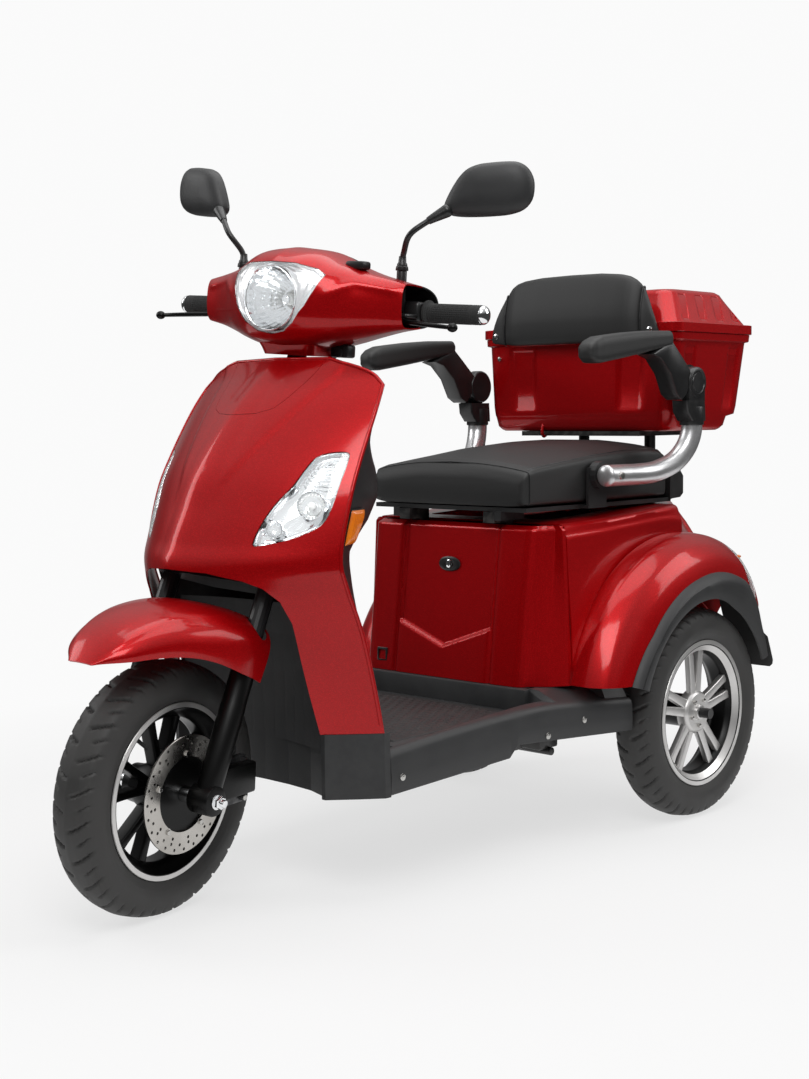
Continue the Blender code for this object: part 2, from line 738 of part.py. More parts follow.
def build_rear_suspension():
    """Swing arm with the geared motor and axle housings, its dampers and springs."""
    unit = make_piece("rear_axle_unit", rod((-0.2352, REAR_Y, TYRE_RADIUS), (0.2352, REAR_Y, TYRE_RADIUS),
                                            AXLE_HOUSING_RADIUS, 16), BLACK_METAL, "swing", smooth=40)
    case = bmesh.new()
    add_spindle(case, ((-0.075, 0.0), (-0.075, 0.050), (-0.055, 0.078), (0.030, 0.078), (0.050, 0.058),
                       (0.130, 0.056), (0.130, 0.0)), (0, REAR_Y, TYRE_RADIUS), 14)
    fuse(unit, case, "swing")
    arms = bmesh.new()
    for hand in (1, -1):
        x = hand * (RAIL_X + 0.0205)
        add_block(arms, (x - 0.010, SWING_Y - 0.012, SWING_Z - 0.012), (x + 0.010, REAR_Y, SWING_Z + 0.012))
    fuse(unit, arms, "swing")
    fuse(unit, rod((-0.1600, SWING_Y, SWING_Z), (0.1600, SWING_Y, SWING_Z), 0.0070, 12), "swing")
    ends = bmesh.new()
    for hand in (1, -1):
        add_rod(ends, (hand * 0.230, REAR_Y, TYRE_RADIUS), (hand * (REAR_X + 0.052), REAR_Y, TYRE_RADIUS), 0.010)
        add_rod(ends, (hand * SHOCK_X, SHOCK_TOP_Y, TYRE_RADIUS + 0.005), (hand * SHOCK_X, SHOCK_TOP_Y, 0.280),
                0.014)
    fuse(unit, ends, "swing")
    tubes = bmesh.new()
    bores = bmesh.new()
    for hand in (1, -1):
        place = Vector((hand * SHOCK_X, SHOCK_TOP_Y, 0.0))
        add_spindle(tubes, ((0.2700, 0.0), (0.2700, 0.020), (0.2790, 0.029), (SPRING_LOW, 0.029),
                            (SPRING_LOW + 0.0002, DAMPER_RADIUS), (DAMPER_TOP, DAMPER_RADIUS), (DAMPER_TOP, 0.0)),
                    place, 10, (0, 0, 1))
        add_rod(bores, place + Vector((0, 0, SPRING_LOW + 0.002)), place + Vector((0, 0, DAMPER_TOP + 0.02)),
                DAMPER_BORE, 10)
    fuse(unit, tubes, "swing")
    cut(unit, bores, "swing")
    build_springs()


def build_springs():
    """Coil springs round the dampers, each one unbroken tube."""
    low = SPRING_LOW + SPRING_WIRE * 1.1 + SEAT_GAP
    high = SPRING_HIGH - SPRING_WIRE * 1.1
    for side, hand in (("left", 1), ("right", -1)):
        curve = bpy.data.curves.new("spring_" + side, "CURVE")
        curve.dimensions = "3D"
        curve.bevel_depth = SPRING_WIRE
        curve.bevel_resolution = 0
        curve.use_fill_caps = True
        line = curve.splines.new("POLY")
        line.points.add(SPRING_TURNS * SPRING_STEPS)
        for k, knot in enumerate(line.points):
            angle = 2 * math.pi * k / SPRING_STEPS
            place = Vector((hand * SHOCK_X + SPRING_RADIUS * math.cos(angle),
                            SHOCK_TOP_Y + SPRING_RADIUS * math.sin(angle),
                            low + (high - low) * k / (SPRING_TURNS * SPRING_STEPS)))
            knot.co = (*place, 1.0)
        curve.materials.append(finish_of(STEEL))
        thing = bpy.data.objects.new("spring_" + side, curve)
        bpy.context.scene.collection.objects.link(thing)
        thing.location = rest_points["body"]
        hang(thing, "body")
    print("spring's least gap to itself", round((high - low) / SPRING_TURNS - 2 * SPRING_WIRE, 4))


# Tyre and rim sections as (x, radius) shares of the left half
def tyre_profile():
    """Return the tyre's section, hollow and open at its beads."""
    wide = TYRE_WIDTH / 2
    seat = RIM_RADIUS - 0.0052
    outer = [(wide * 0.71, seat), (wide * 0.89, RIM_RADIUS + 0.008), (wide, RIM_RADIUS + 0.026),
             (wide * 0.86, TYRE_RADIUS - 0.013), (wide * 0.50, TYRE_RADIUS - 0.0035), (0.0, TYRE_RADIUS)]
    inner = [(wide * 0.70, TYRE_RADIUS - 0.022), (wide * 0.80, RIM_RADIUS + 0.020), (wide * 0.52, seat)]
    ring = outer + [(-x, r) for x, r in reversed(outer[:-1])]
    return ring + [(-x, r) for x, r in reversed(inner)] + inner


def rim_profile():
    """Return the rim's section: lips outside, a well between them."""
    wide = RIM_WIDTH / 2
    outside = [(wide, RIM_RADIUS), (wide * 0.87, RIM_RADIUS - 0.006), (wide * 0.40, RIM_RADIUS - 0.008),
               (wide * 0.28, RIM_RADIUS - 0.020)]
    inside = [(wide * 0.36, RIM_RADIUS - 0.026), (wide, RIM_RADIUS - 0.009)]
    ring = outside + [(-x, r) for x, r in reversed(outside)]
    return ring + [(-x, r) for x, r in reversed(inside)] + inside


def add_spoke(shape, centre, inner_angle, outer_angle, inner_r, outer_r, width, low_x, high_x):
    """Add one flat bar in the wheel's plane, from the hub to the rim."""
    start = Vector((0, math.cos(inner_angle), math.sin(inner_angle))) * inner_r
    end = Vector((0, math.cos(outer_angle), math.sin(outer_angle))) * outer_r
    run = (end - start).normalized()
    side = Vector((0, -run.z, run.y)) * width / 2
    outline = [start + side, start - side, end - side * 0.8, end + side * 0.8]
    add_loft(shape, [[centre + Vector((x, 0, 0)) + point for point in outline] for x in (low_x, high_x)])


def build_wheel(name, centre, pivot, finish, spread, spoke_x, spoke_end, hub_high, carrier=False):
    """Build one rim with paired spokes, and its tyre."""
    centre = Vector(centre)
    side = 1.0 if centre.x >= 0 else -1.0
    tyre = bmesh.new()
    add_turned(tyre, tyre_profile(), centre)
    make_piece(name + "_tyre", tyre, RUBBER, pivot, smooth=50)
    ring = bmesh.new()
    add_turned(ring, rim_profile(), centre)
    rim = make_piece(name + "_rim", ring, finish, pivot, smooth=35)
    low_x, high_x = (spoke_x if side > 0 else (-spoke_x[1], -spoke_x[0]))
    for sign in (1, -1):
        bars = bmesh.new()
        for k in range(SPOKE_PAIRS):
            angle = math.pi / 2 + 2 * math.pi * k / SPOKE_PAIRS
            shift = 0.0004 * sign
            add_spoke(bars, centre, angle + sign * math.radians(6), angle + sign * spread, HUB_RADIUS - 0.004,
                      spoke_end, 0.0135, low_x + shift, high_x + shift)
        fuse(rim, bars, pivot)
    hub = bmesh.new()
    ends = sorted((-side * HUB_HALF, side * hub_high))
    add_spindle(hub, ((ends[0], 0.0), (ends[0], HUB_RADIUS - 0.004), (ends[0] + 0.004, HUB_RADIUS),
                      (ends[1] - 0.004, HUB_RADIUS), (ends[1], HUB_RADIUS - 0.004), (ends[1], 0.0)), centre, 12)
    fuse(rim, hub, pivot)
    if carrier:
        star = bmesh.new()
        add_spindle(star, ((0.044, 0.0), (0.044, 0.066), (hub_high, 0.071), (hub_high, 0.0)), centre, 20)
        fuse(rim, star, pivot)
    bore = bmesh.new()
    add_rod(bore, centre - Vector((0.08, 0, 0)), centre + Vector((0.08, 0, 0)),
            (AXLE_RADIUS if carrier else 0.010) + RUN_GAP, 12)
    cut(rim, bore, pivot)
    return rim


DISC_HUB_FACE = 0.0545


def build_front_wheel():
    """Front wheel, its brake disc, axle and caliper."""
    build_wheel("front", FRONT_AXLE, "front_wheel", BLACK_METAL, math.radians(15), (-0.0105, 0.0105),
                RIM_RADIUS - 0.0235, DISC_HUB_FACE, carrier=True)
    disc = bmesh.new()
    low = DISC_HUB_FACE + SEAT_GAP
    add_turned(disc, ((low, DISC_BORE), (low, DISC_RADIUS), (low + DISC_THICKNESS, DISC_RADIUS),
                      (low + DISC_THICKNESS, DISC_BORE)), FRONT_AXLE)
    make_piece("brake_disc", disc, STEEL, "front_wheel", smooth=40)
    inner = LEG_OFFSET - FOOT_HALF - SEAT_GAP
    outer = LEG_OFFSET + FOOT_HALF + SEAT_GAP
    axle = bmesh.new()
    profile = [(-outer - 0.018, 0.0), (-outer - 0.018, 0.006), (-outer - 0.0115, 0.006), (-outer - 0.011, 0.0125),
               (-outer, 0.0125), (-outer + 0.0001, AXLE_RADIUS), (-inner - 0.0001, AXLE_RADIUS), (-inner, 0.0130),
               (-HUB_HALF - SEAT_GAP, 0.0130), (-HUB_HALF - SEAT_GAP + 0.0001, AXLE_RADIUS),
               (DISC_HUB_FACE + SEAT_GAP - 0.0001, AXLE_RADIUS), (DISC_HUB_FACE + SEAT_GAP, 0.0130),
               (inner, 0.0130), (inner + 0.0001, AXLE_RADIUS), (outer - 0.0001, AXLE_RADIUS), (outer, 0.0125),
               (outer + 0.011, 0.0125), (outer + 0.0115, 0.006), (outer + 0.018, 0.006), (outer + 0.018, 0.0)]
    add_spindle(axle, profile, FRONT_AXLE, 10)
    make_piece("front_axle", axle, STEEL, "fork_slide", smooth=40)
    build_caliper()


CALIPER_IN = 0.0445
CALIPER_OUT = 0.0845


def build_caliper():
    """Brake caliper behind the left leg, astride the disc."""
    disc_low = DISC_HUB_FACE + SEAT_GAP
    body = make_piece("brake_caliper", block((CALIPER_IN, FRONT_Y + 0.0745, TYRE_RADIUS - 0.040),
                                             (CALIPER_OUT, FRONT_Y + 0.130, TYRE_RADIUS + 0.048)),
                      BLACK_METAL, "fork_slide")
    slot = bmesh.new()
    add_turned(slot, ((disc_low - 0.0008, 0.03), (disc_low - 0.0008, DISC_RADIUS + 0.0015),
                      (disc_low + DISC_THICKNESS + 0.0008, DISC_RADIUS + 0.0015),
                      (disc_low + DISC_THICKNESS + 0.0008, 0.03)), FRONT_AXLE)
    cut(body, slot, "fork_slide")


def build_fork():
    """Yoke with its stem and stanchions, and the sliders below."""
    stem = make_piece("steering_stem", rod(steer_point(0, 0, YOKE_LOW + 0.004), steer_point(0, 0, 0.822),
                                           STEM_RADIUS, 16), BLACK_METAL, "steering", smooth=40)
    plan = ((0.113, 0.050), (0.121, 0.038), (0.121, 0.012), (0.050, -0.026))
    plan = both_sides(plan)
    yoke = loft([[steer_point(x, ahead, up) for x, ahead in plan] for up in (YOKE_LOW, YOKE_HIGH)])
    fuse(stem, yoke, "steering")
    race = rod(steer_point(0, 0, YOKE_HIGH - 0.002), steer_point(0, 0, YOKE_HIGH + 0.018), 0.024, 16)
    fuse(stem, race, "steering")
    legs = bmesh.new()
    for hand in (1, -1):
        add_rod(legs, steer_point(hand * LEG_OFFSET, AXLE_LEAD, 0.075),
                steer_point(hand * LEG_OFFSET, AXLE_LEAD, YOKE_HIGH + 0.006), STANCHION_RADIUS, 16)
    fuse(stem, legs, "steering")
    clamp = block((-0.022, CLAMP_Y - 0.021, CLAMP_Z - 0.034), (0.022, CLAMP_Y + 0.019, CLAMP_Z + 0.019))
    fuse(stem, clamp, "steering")
    cut(stem, rod((-0.05, CLAMP_Y, CLAMP_Z), (0.05, CLAMP_Y, CLAMP_Z), BAR_RADIUS + 0.0006, 12), "steering")
    for side, hand in (("left", 1), ("right", -1)):
        build_slider(side, hand)


def build_slider(side, hand):
    """Lower fork leg with its axle eye and fender boss; the left one also carries the caliper."""
    tube = rod(steer_point(hand * LEG_OFFSET, AXLE_LEAD, -0.024), steer_point(hand * LEG_OFFSET, AXLE_LEAD, SLIDER_TOP),
               LEG_RADIUS, 16)
    slider = make_piece("fork_slider_" + side, tube, BLACK_METAL, "fork_slide", smooth=40)
    centre = Vector((hand * LEG_OFFSET, FRONT_Y, TYRE_RADIUS))
    reach = Vector((FOOT_HALF, 0, 0))
    fuse(slider, rod(centre - reach, centre + reach, 0.024, 16), "fork_slide")
    wall = fender_half(FENDER_BOSS) - FENDER_WALL - 0.0021
    up = SLIDER_TOP - 0.014
    fuse(slider, rod(steer_point(hand * LEG_OFFSET, AXLE_LEAD, up), steer_point(hand * wall, AXLE_LEAD, up), 0.008, 12),
         "fork_slide")
    if hand > 0:
        lug = block((CALIPER_OUT + SEAT_GAP, FRONT_Y + 0.012, TYRE_RADIUS - 0.012),
                    (LEG_OFFSET + 0.006, FRONT_Y + 0.120, TYRE_RADIUS + 0.040))
        fuse(slider, lug, "fork_slide")
    cut(slider, rod(steer_point(hand * LEG_OFFSET, AXLE_LEAD, 0.040),
                    steer_point(hand * LEG_OFFSET, AXLE_LEAD, SLIDER_TOP + 0.03), STANCHION_RADIUS + RUN_GAP, 16),
        "fork_slide")
    cut(slider, rod((-0.15, FRONT_Y, TYRE_RADIUS), (0.15, FRONT_Y, TYRE_RADIUS), AXLE_RADIUS + 0.0003, 12), "fork_slide")


# Front fender: angles from straight up, forwards positive, with half width and lower edge radius
FENDER_WALL = 0.003
FENDER_FRONT = 38.5
FENDER_REAR = -27.5
FENDER_BOSS = -23.0
FENDER_HALF = ((-27.5, 0.127), (-20.0, 0.126), (-8.0, 0.118), (5.0, 0.103), (18.0, 0.088), (29.0, 0.066),
               (35.0, 0.044), (38.5, 0.024))
FENDER_LOW = ((-27.5, 0.198), (-18.0, 0.198), (-8.5, 0.206), (3.0, 0.222), (11.0, 0.233), (20.0, 0.246),
              (28.0, 0.262), (34.0, 0.280), (38.5, 0.2895))
FENDER_CROWNS = ((-27.5, 0.300), (22.0, 0.300), (38.5, 0.293))
FENDER_COLUMNS = 5
FENDER_STEPS = 9


def fender_half(angle):
    """Return the front fender's half width at an angle from straight up."""
    return eased(FENDER_HALF, angle)


def fender_point(angle, share):
    """Return a point of the front fender: share runs from -1 at the left edge to 1."""
    turn = share * math.pi / 2
    low = eased(FENDER_LOW, angle)
    square = max(0.0, min(1.0, (-angle - 4.0) / 14.0))
    radius = low + (between(FENDER_CROWNS, angle) - low) * max(0.0, math.cos(turn)) ** (0.8 - 0.36 * square)
    x = -fender_half(angle) * math.copysign(abs(math.sin(turn)) ** (0.85 - 0.20 * square), share)
    tilt = math.radians(angle)
    return FRONT_AXLE + Vector((x, -math.sin(tilt) * radius, math.cos(tilt) * radius))


def build_front_fender():
    """Red fender over the front wheel, cleared round the stanchions."""
    rows = []
    for r in range(FENDER_STEPS + 1):
        angle = FENDER_FRONT + (FENDER_REAR - FENDER_FRONT) * r / FENDER_STEPS
        rows.append([fender_point(angle, c / FENDER_COLUMNS) for c in range(-FENDER_COLUMNS, FENDER_COLUMNS + 1)])
    fender = grid_piece("front_fender", rows, RED, "fork_slide", FENDER_WALL, FRONT_AXLE)
    for hand in (1, -1):
        cut(fender, rod(steer_point(hand * LEG_OFFSET, AXLE_LEAD, 0.20), steer_point(hand * LEG_OFFSET, AXLE_LEAD, 0.36),
                        LEG_RADIUS + 0.0006, 16), "fork_slide")


def build_brake_hose():
    """Front brake hose from the guide on the left leg to the caliper."""
    points = [(0.068, FRONT_Y + 0.103, TYRE_RADIUS + 0.0484), (0.070, FRONT_Y + 0.104, TYRE_RADIUS + 0.080),
              (0.078, FRONT_Y + 0.118, TYRE_RADIUS + 0.140), (0.080, FRONT_Y + 0.128, TYRE_RADIUS + 0.190),
              (0.072, FRONT_Y + 0.128, TYRE_RADIUS + 0.225)]
    bent_tube("brake_hose", points, 0.0028, RUBBER, "fork_slide", sides=1)


def build_handlebar():
    """Handlebar, grips, control perches and levers."""
    half = [(BAR_REACH - 0.004, BAR_Y, BAR_Z), (0.160, BAR_Y, BAR_Z), (0.150, BAR_Y - 0.001, BAR_Z),
            (0.085, BAR_Y - 0.026, BAR_Z - 0.006), (0.040, CLAMP_Y, CLAMP_Z), (0.030, CLAMP_Y, CLAMP_Z)]
    points = half + [(-x, y, z) for x, y, z in reversed(half)]
    bar = bmesh.new()
    add_tube(bar, points, BAR_RADIUS, 10, 2)
    make_piece("handlebar", bar, STEEL, "steering", smooth=40)
    for name, hand, pivot in (("grip_left", 1, "steering"), ("throttle_grip", -1, "throttle")):
        shape = bmesh.new()
        low = BAR_RADIUS + 0.0007
        profile = [(GRIP_START, low), (GRIP_START, 0.0215), (GRIP_START + 0.006, 0.0215),
                   (GRIP_START + 0.007, GRIP_RADIUS), (BAR_REACH - 0.012, GRIP_RADIUS),
                   (BAR_REACH - 0.012, low)]
        add_turned(shape, [(hand * x, r) for x, r in profile], (0, BAR_Y, BAR_Z), 16)
        make_piece(name, shape, RUBBER, pivot, smooth=40)
    for side, hand in (("left", 1), ("right", -1)):
        low, high = sorted((hand * (MIRROR_X - 0.010), hand * (GRIP_START - 0.002)))
        perch = make_piece("control_perch_" + side, block((low, BAR_Y - 0.034, BAR_Z - 0.016),
                                                          (high, BAR_Y + 0.0155, BAR_Z + 0.018)), BLACK, "steering")
        low, high = sorted((hand * (LEVER_X - 0.011), hand * (LEVER_X + 0.011)))
        lug = block((low, LEVER_Y - 0.011, LEVER_Z + 0.0045 + RUN_GAP), (high, BAR_Y - 0.020, LEVER_Z + 0.013))
        post = rod((hand * MIRROR_X, MIRROR_Y, BAR_Z), (hand * MIRROR_X, MIRROR_Y, POST_TOP), 0.0085, 12)
        bore = rod((hand * 0.12, BAR_Y, BAR_Z), (hand * 0.25, BAR_Y, BAR_Z), BAR_RADIUS + 0.0007, 12)
        fuse(perch, lug, "steering")
        fuse(perch, post, "steering")
        cut(perch, bore, "steering")
        build_lever(side, hand)
        build_mirror(side, hand)


LEVER_X = 0.191
LEVER_Y = -0.262
LEVER_Z = 0.957
LEVER_TIP = (0.307, -0.298, 0.950)
POST_TOP = 1.0405


def build_lever(name, hand):
    """Brake lever with its ball end."""
    shape = bmesh.new()
    root = Vector((LEVER_X, LEVER_Y, LEVER_Z))
    tip = Vector(LEVER_TIP)
    run = (tip - root).normalized()
    side = Vector((0, 0, 1)).cross(run).normalized()
    sections = []
    for share, wide, tall in ((-0.06, 0.0040, 0.0040), (0.0, 0.0085, 0.0042), (0.15, 0.0065, 0.0042),
                              (0.5, 0.0055, 0.0040), (0.93, 0.0045, 0.0036), (0.95, 0.0070, 0.0065),
                              (1.02, 0.0080, 0.0075), (1.07, 0.0040, 0.0040)):
        centre = root + (tip - root) * share + side * (-0.010 * math.sin(math.pi * max(0.0, min(1.0, share))))
        ring = []
        for k in range(8):
            angle = 2 * math.pi * (k + 0.5) / 8
            ring.append(centre + side * wide * math.cos(angle) * 1.08 + Vector((0, 0, 1)) * tall * math.sin(angle))
        sections.append([Vector((hand * p.x, p.y, p.z)) for p in ring])
    add_loft(shape, sections)
    make_piece("brake_lever_" + name, shape, BLACK_METAL, "lever_" + name, smooth=50)


MIRROR_KNEE = (0.190, -0.256, POST_TOP + 0.0575)
MIRROR_BEND = (0.213, -0.243, POST_TOP + 0.0795)
MIRROR_JOIN = (0.240, -0.2245, POST_TOP + 0.0995)
MIRROR_CENTRE = (0.303, -0.201, POST_TOP + 0.1365)
MIRROR_HALF_WIDTH = 0.0745
MIRROR_HALF_HEIGHT = 0.0435
MIRROR_DEPTH = 0.030
MIRROR_TOE = math.radians(18.0)
MIRROR_ROLL = math.radians(5.0)
MIRROR_OUTLINE = ((1.0, 0.0), (0.97, 0.40), (0.85, 0.75), (0.66, 0.95), (0.40, 1.0), (0.10, 1.0), (-0.20, 0.97),
                  (-0.45, 0.84), (-0.63, 0.60), (-0.78, 0.28), (-0.92, -0.10), (-1.02, -0.45), (-1.02, -0.68),
                  (-0.90, -0.86), (-0.65, -0.95), (-0.30, -0.99), (0.10, -1.0), (0.45, -0.97), (0.75, -0.82),
                  (0.94, -0.48))


def build_mirror(name, hand):
    """Mirror stalk on its boot, and the mirror head on its ball."""
    boot = bmesh.new()
    add_spindle(boot, ((POST_TOP + SEAT_GAP, 0.0), (POST_TOP + SEAT_GAP, 0.0105), (POST_TOP + 0.012, 0.0095),
                       (POST_TOP + 0.013, 0.0075), (POST_TOP + 0.024, 0.0062), (POST_TOP + 0.024, 0.0)),
                (hand * MIRROR_X, MIRROR_Y, 0.0), 12, (0, 0, 1))
    stalk = make_piece("mirror_stalk_" + name, boot, BLACK_METAL, "stalk_" + name, smooth=40)
    route = [(MIRROR_X, MIRROR_Y, POST_TOP + 0.015), (MIRROR_X + 0.004, MIRROR_Y - 0.003, POST_TOP + 0.030),
             MIRROR_KNEE, MIRROR_BEND, MIRROR_JOIN]
    tube = bmesh.new()
    add_tube(tube, [(hand * x, y, z) for x, y, z in route], 0.0048, 6, 2)
    fuse(stalk, tube, "stalk_" + name)
    join = Vector((hand * MIRROR_JOIN[0], MIRROR_JOIN[1], MIRROR_JOIN[2]))
    line = Vector([join_at - bend for join_at, bend in zip(MIRROR_JOIN, MIRROR_BEND)]).normalized()
    line.x *= hand
    fuse(stalk, rod(join - line * 0.032, join - line * 0.0135, 0.0062, 10, 0.0092), "stalk_" + name)
    ball = bmesh.new()
    bmesh.ops.create_uvsphere(ball, u_segments=8, v_segments=5, radius=0.0085, matrix=Matrix.Translation(join))
    fuse(stalk, ball, "stalk_" + name)
    head = bmesh.new()
    sections = []
    centre = Vector(MIRROR_CENTRE)
    outward = Vector((math.cos(MIRROR_TOE), math.sin(MIRROR_TOE), 0.0))
    rearward = Vector((-math.sin(MIRROR_TOE), math.cos(MIRROR_TOE), 0.0))
    for share, depth in ((0.45, 0.0), (0.80, 0.10), (1.0, 0.28), (1.0, 0.50), (0.86, 0.78), (0.55, 0.96), (0.2, 1.0)):
        ring = []
        for out, rise in MIRROR_OUTLINE:
            across = MIRROR_HALF_WIDTH * share * out
            up = MIRROR_HALF_HEIGHT * share * rise
            place = centre + outward * (across * math.cos(MIRROR_ROLL) - up * math.sin(MIRROR_ROLL))
            place += rearward * (MIRROR_DEPTH * (0.5 - depth))
            place.z += up * math.cos(MIRROR_ROLL) + across * math.sin(MIRROR_ROLL)
            ring.append(Vector((hand * place.x, place.y, place.z)))
        sections.append(ring)
    add_loft(head, sections)
    piece = make_piece("mirror_head_" + name, head, BLACK, "head_" + name, smooth=50)
    socket = bmesh.new()
    bmesh.ops.create_uvsphere(socket, u_segments=12, v_segments=8, radius=0.0098, matrix=Matrix.Translation(join))
    cut(piece, socket, "head_" + name)


# Head cowl: sections across, as x, front, top and bottom
COWL_FRONT = ((0.0, -0.394), (0.05, -0.388), (0.09, -0.364), (0.13, -0.334), (0.17, -0.308), (0.205, -0.293))
COWL_TOP = ((0.0, 1.074), (0.05, 1.068), (0.09, 1.050), (0.13, 1.036), (0.17, 1.026), (0.205, 1.018))
COWL_BOTTOM = ((0.0, 0.902), (0.05, 0.905), (0.09, 0.914), (0.13, 0.926), (0.17, 0.937), (0.205, 0.944))
COWL_BACK = -0.178
COWL_CREST = -0.275
COWL_SPLIT = -0.232
COWL_WALL = 0.0025
COWL_POINTS = 16
COWL_STATIONS = (-1.0, -0.78, -0.55, -0.35, -0.17, 0.0, 0.17, 0.35, 0.55, 0.78, 1.0)
LENS_OUTLINE = ((0.0, 1.046), (0.045, 1.044), (0.078, 1.036), (0.092, 1.026), (0.082, 1.000), (0.070, 0.974),
                (0.050, 0.946), (0.028, 0.931), (0.0, 0.926))
NECK_TOP = 0.925
NECK_BOTTOM = 0.8925


def cowl_ring(x, inset=0.0):
    """Return one closed section of the cowl, set in by a wall."""
    side = abs(x)
    front = eased(COWL_FRONT, side) + inset
    top = eased(COWL_TOP, side) - inset
    bottom = eased(COWL_BOTTOM, side) + inset
    middle_z = (top + bottom) / 2
    ring = []
    for k in range(COWL_POINTS):
        angle = 2 * math.pi * k / COWL_POINTS
        c = math.cos(angle)
        s = math.sin(angle)
        reach = (COWL_BACK - inset - COWL_CREST) if c > 0 else (COWL_CREST - front)
        y = COWL_CREST + reach * math.copysign(abs(c) ** 0.75, c)
        z = middle_z + (top - bottom) / 2 * math.copysign(abs(s) ** 0.8, s)
        ring.append(Vector((x, y, z)))
    return ring


def cowl_shell(name, finish):
    """Return the whole cowl as a tube with a wall, open at its two ends."""
    shape = bmesh.new()
    skins = []
    for inset in (0.0, COWL_WALL):
        skins.append([[shape.verts.new(point) for point in cowl_ring(station * COWL_HALF, inset)]
                      for station in COWL_STATIONS])
    for rings in skins:
        for near, far in zip(rings, rings[1:]):
            for i in range(COWL_POINTS):
                j = (i + 1) % COWL_POINTS
                shape.faces.new((near[i], near[j], far[j], far[i]))
    for end in (0, -1):
        outer = skins[0][end]
        inner = skins[1][end]
        for i in range(COWL_POINTS):
            j = (i + 1) % COWL_POINTS
            shape.faces.new((outer[i], outer[j], inner[j], inner[i]))
    return make_piece(name, shape, finish, "steering", smooth=40)


def build_cowl():
    """Head cowl round the handlebar, its rear cover, the headlight lens and its bowl."""
    cowl = cowl_shell("head_cowl", RED)
    lens_window = both_sides(LENS_OUTLINE)
    cut(cowl, front_window(lens_window, -0.45, -0.325), "steering")
    cut(cowl, block((-0.3, COWL_SPLIT, 0.8), (0.3, 0.0, 1.2)), "steering")
    collar = []
    hollow = []
    for z, half, low, high in ((NECK_BOTTOM, 0.052, -0.330, -0.238), (NECK_TOP, 0.064, -0.342, -0.2325)):
        collar.append([(x, y, z) for x, y in rounded_outline(half, low, high, 0.018)])
        hollow.append([(x, y, z + (0.02 if z == NECK_TOP else -0.01))
                       for x, y in rounded_outline(half - 0.003, low + 0.003, high - 0.003, 0.016)])
    fuse(cowl, loft(collar), "steering")
    cut(cowl, loft(hollow), "steering")
    posts = bmesh.new()
    for hand in (1, -1):
        add_rod(posts, (hand * MIRROR_X, MIRROR_Y, 1.0), (hand * MIRROR_X, MIRROR_Y, 1.1), 0.0092, 16)
    cut(cowl, posts, "steering")
    rear = cowl_shell("dash_cover", BLACK)
    keep_inside(rear, block((-0.3, COWL_SPLIT + PANEL_GAP, 0.8), (0.3, 0.0, 1.2)), "steering")
    rear_posts = bmesh.new()
    for hand in (1, -1):
        add_rod(rear_posts, (hand * MIRROR_X, MIRROR_Y, 1.0), (hand * MIRROR_X, MIRROR_Y, 1.1), 0.0092, 16)
    cut(rear, rear_posts, "steering")
    cut(rear, loft(hollow), "steering")
    lens = cowl_shell("headlight_lens", CLEAR)
    keep_inside(lens, front_window(grown(lens_window, -PANEL_GAP), -0.45, -0.325), "steering")
    bowl = bmesh.new()
    add_spindle(bowl, ((0.0, 0.0), (0.0, 0.012), (0.034, 0.012), (0.050, 0.034), (0.072, 0.044), (0.073, 0.042),
                       (0.052, 0.031), (0.042, 0.012), (0.040, 0.0)),
                (0, CLAMP_Y - 0.021 - SEAT_GAP, 0.985), 16, (0, -1, 0))
    make_piece("headlight_reflector", bowl, BRIGHT, "steering", smooth=50)


SKIRT_OUT = ((-0.3395, 0.2515), (-0.200, 0.262), (-0.050, 0.273), (0.080, 0.284), (0.262, 0.302))
SKIRT_TOP = ((-0.3395, 0.250), (-0.200, 0.264), (-0.050, 0.274), (0.060, 0.276), (0.262, 0.262))
SKIRT_LOW = ((-0.3395, 0.178), (-0.060, 0.196), (-0.040, 0.216), (0.262, 0.200))


SKIRT_STATIONS = (-0.3395, -0.25, -0.15, -0.060, -0.040, 0.020, 0.058, 0.078, 0.150, 0.215, 0.262)


def build_floor():
    """Black floor moulding with its riser to the seat base and its side skirts."""
    half = 0.2460
    riser = 0.118
    plate = block((-half, FLOOR_FRONT, FLOOR_BOTTOM), (half, BASE_FRONT - 0.006, FLOOR_TOP))
    floor = make_piece("floor_board", plate, GREY, "body")
    step = block((-0.2100, BASE_FRONT - 0.007, FLOOR_BOTTOM + 0.0002), (0.2100, riser, SHELF_TOP))
    fuse(floor, step, "body")
    for hand in (1, -1):
        sections = []
        for y in SKIRT_STATIONS:
            out = between(SKIRT_OUT, y)
            top = between(SKIRT_TOP, y)
            low = between(SKIRT_LOW, y)
            beside = y < BASE_FRONT
            inner = min(0.2440, out - 0.020) if beside else 0.2005
            if y > 0.2:
                inner = 0.2405
            shelf = top if beside else SHELF_TOP
            back = inner + (0.004 if beside else 0.030)
            ring = [(out, low), (out + 0.001, (low + top) / 2), (out, top - 0.010), (out - 0.012, top),
                    (back, shelf), (inner, shelf), (inner, low + 0.010), (out - 0.006, low)]
            sections.append([Vector((hand * x, y, z)) for x, z in ring])
        fuse(floor, loft(sections), "body")


CHEVRON_SIDE = 0.388
CHEVRON_MIDDLE = 0.349
PANEL_HALF = 0.118
PANEL_RECESS = 0.006


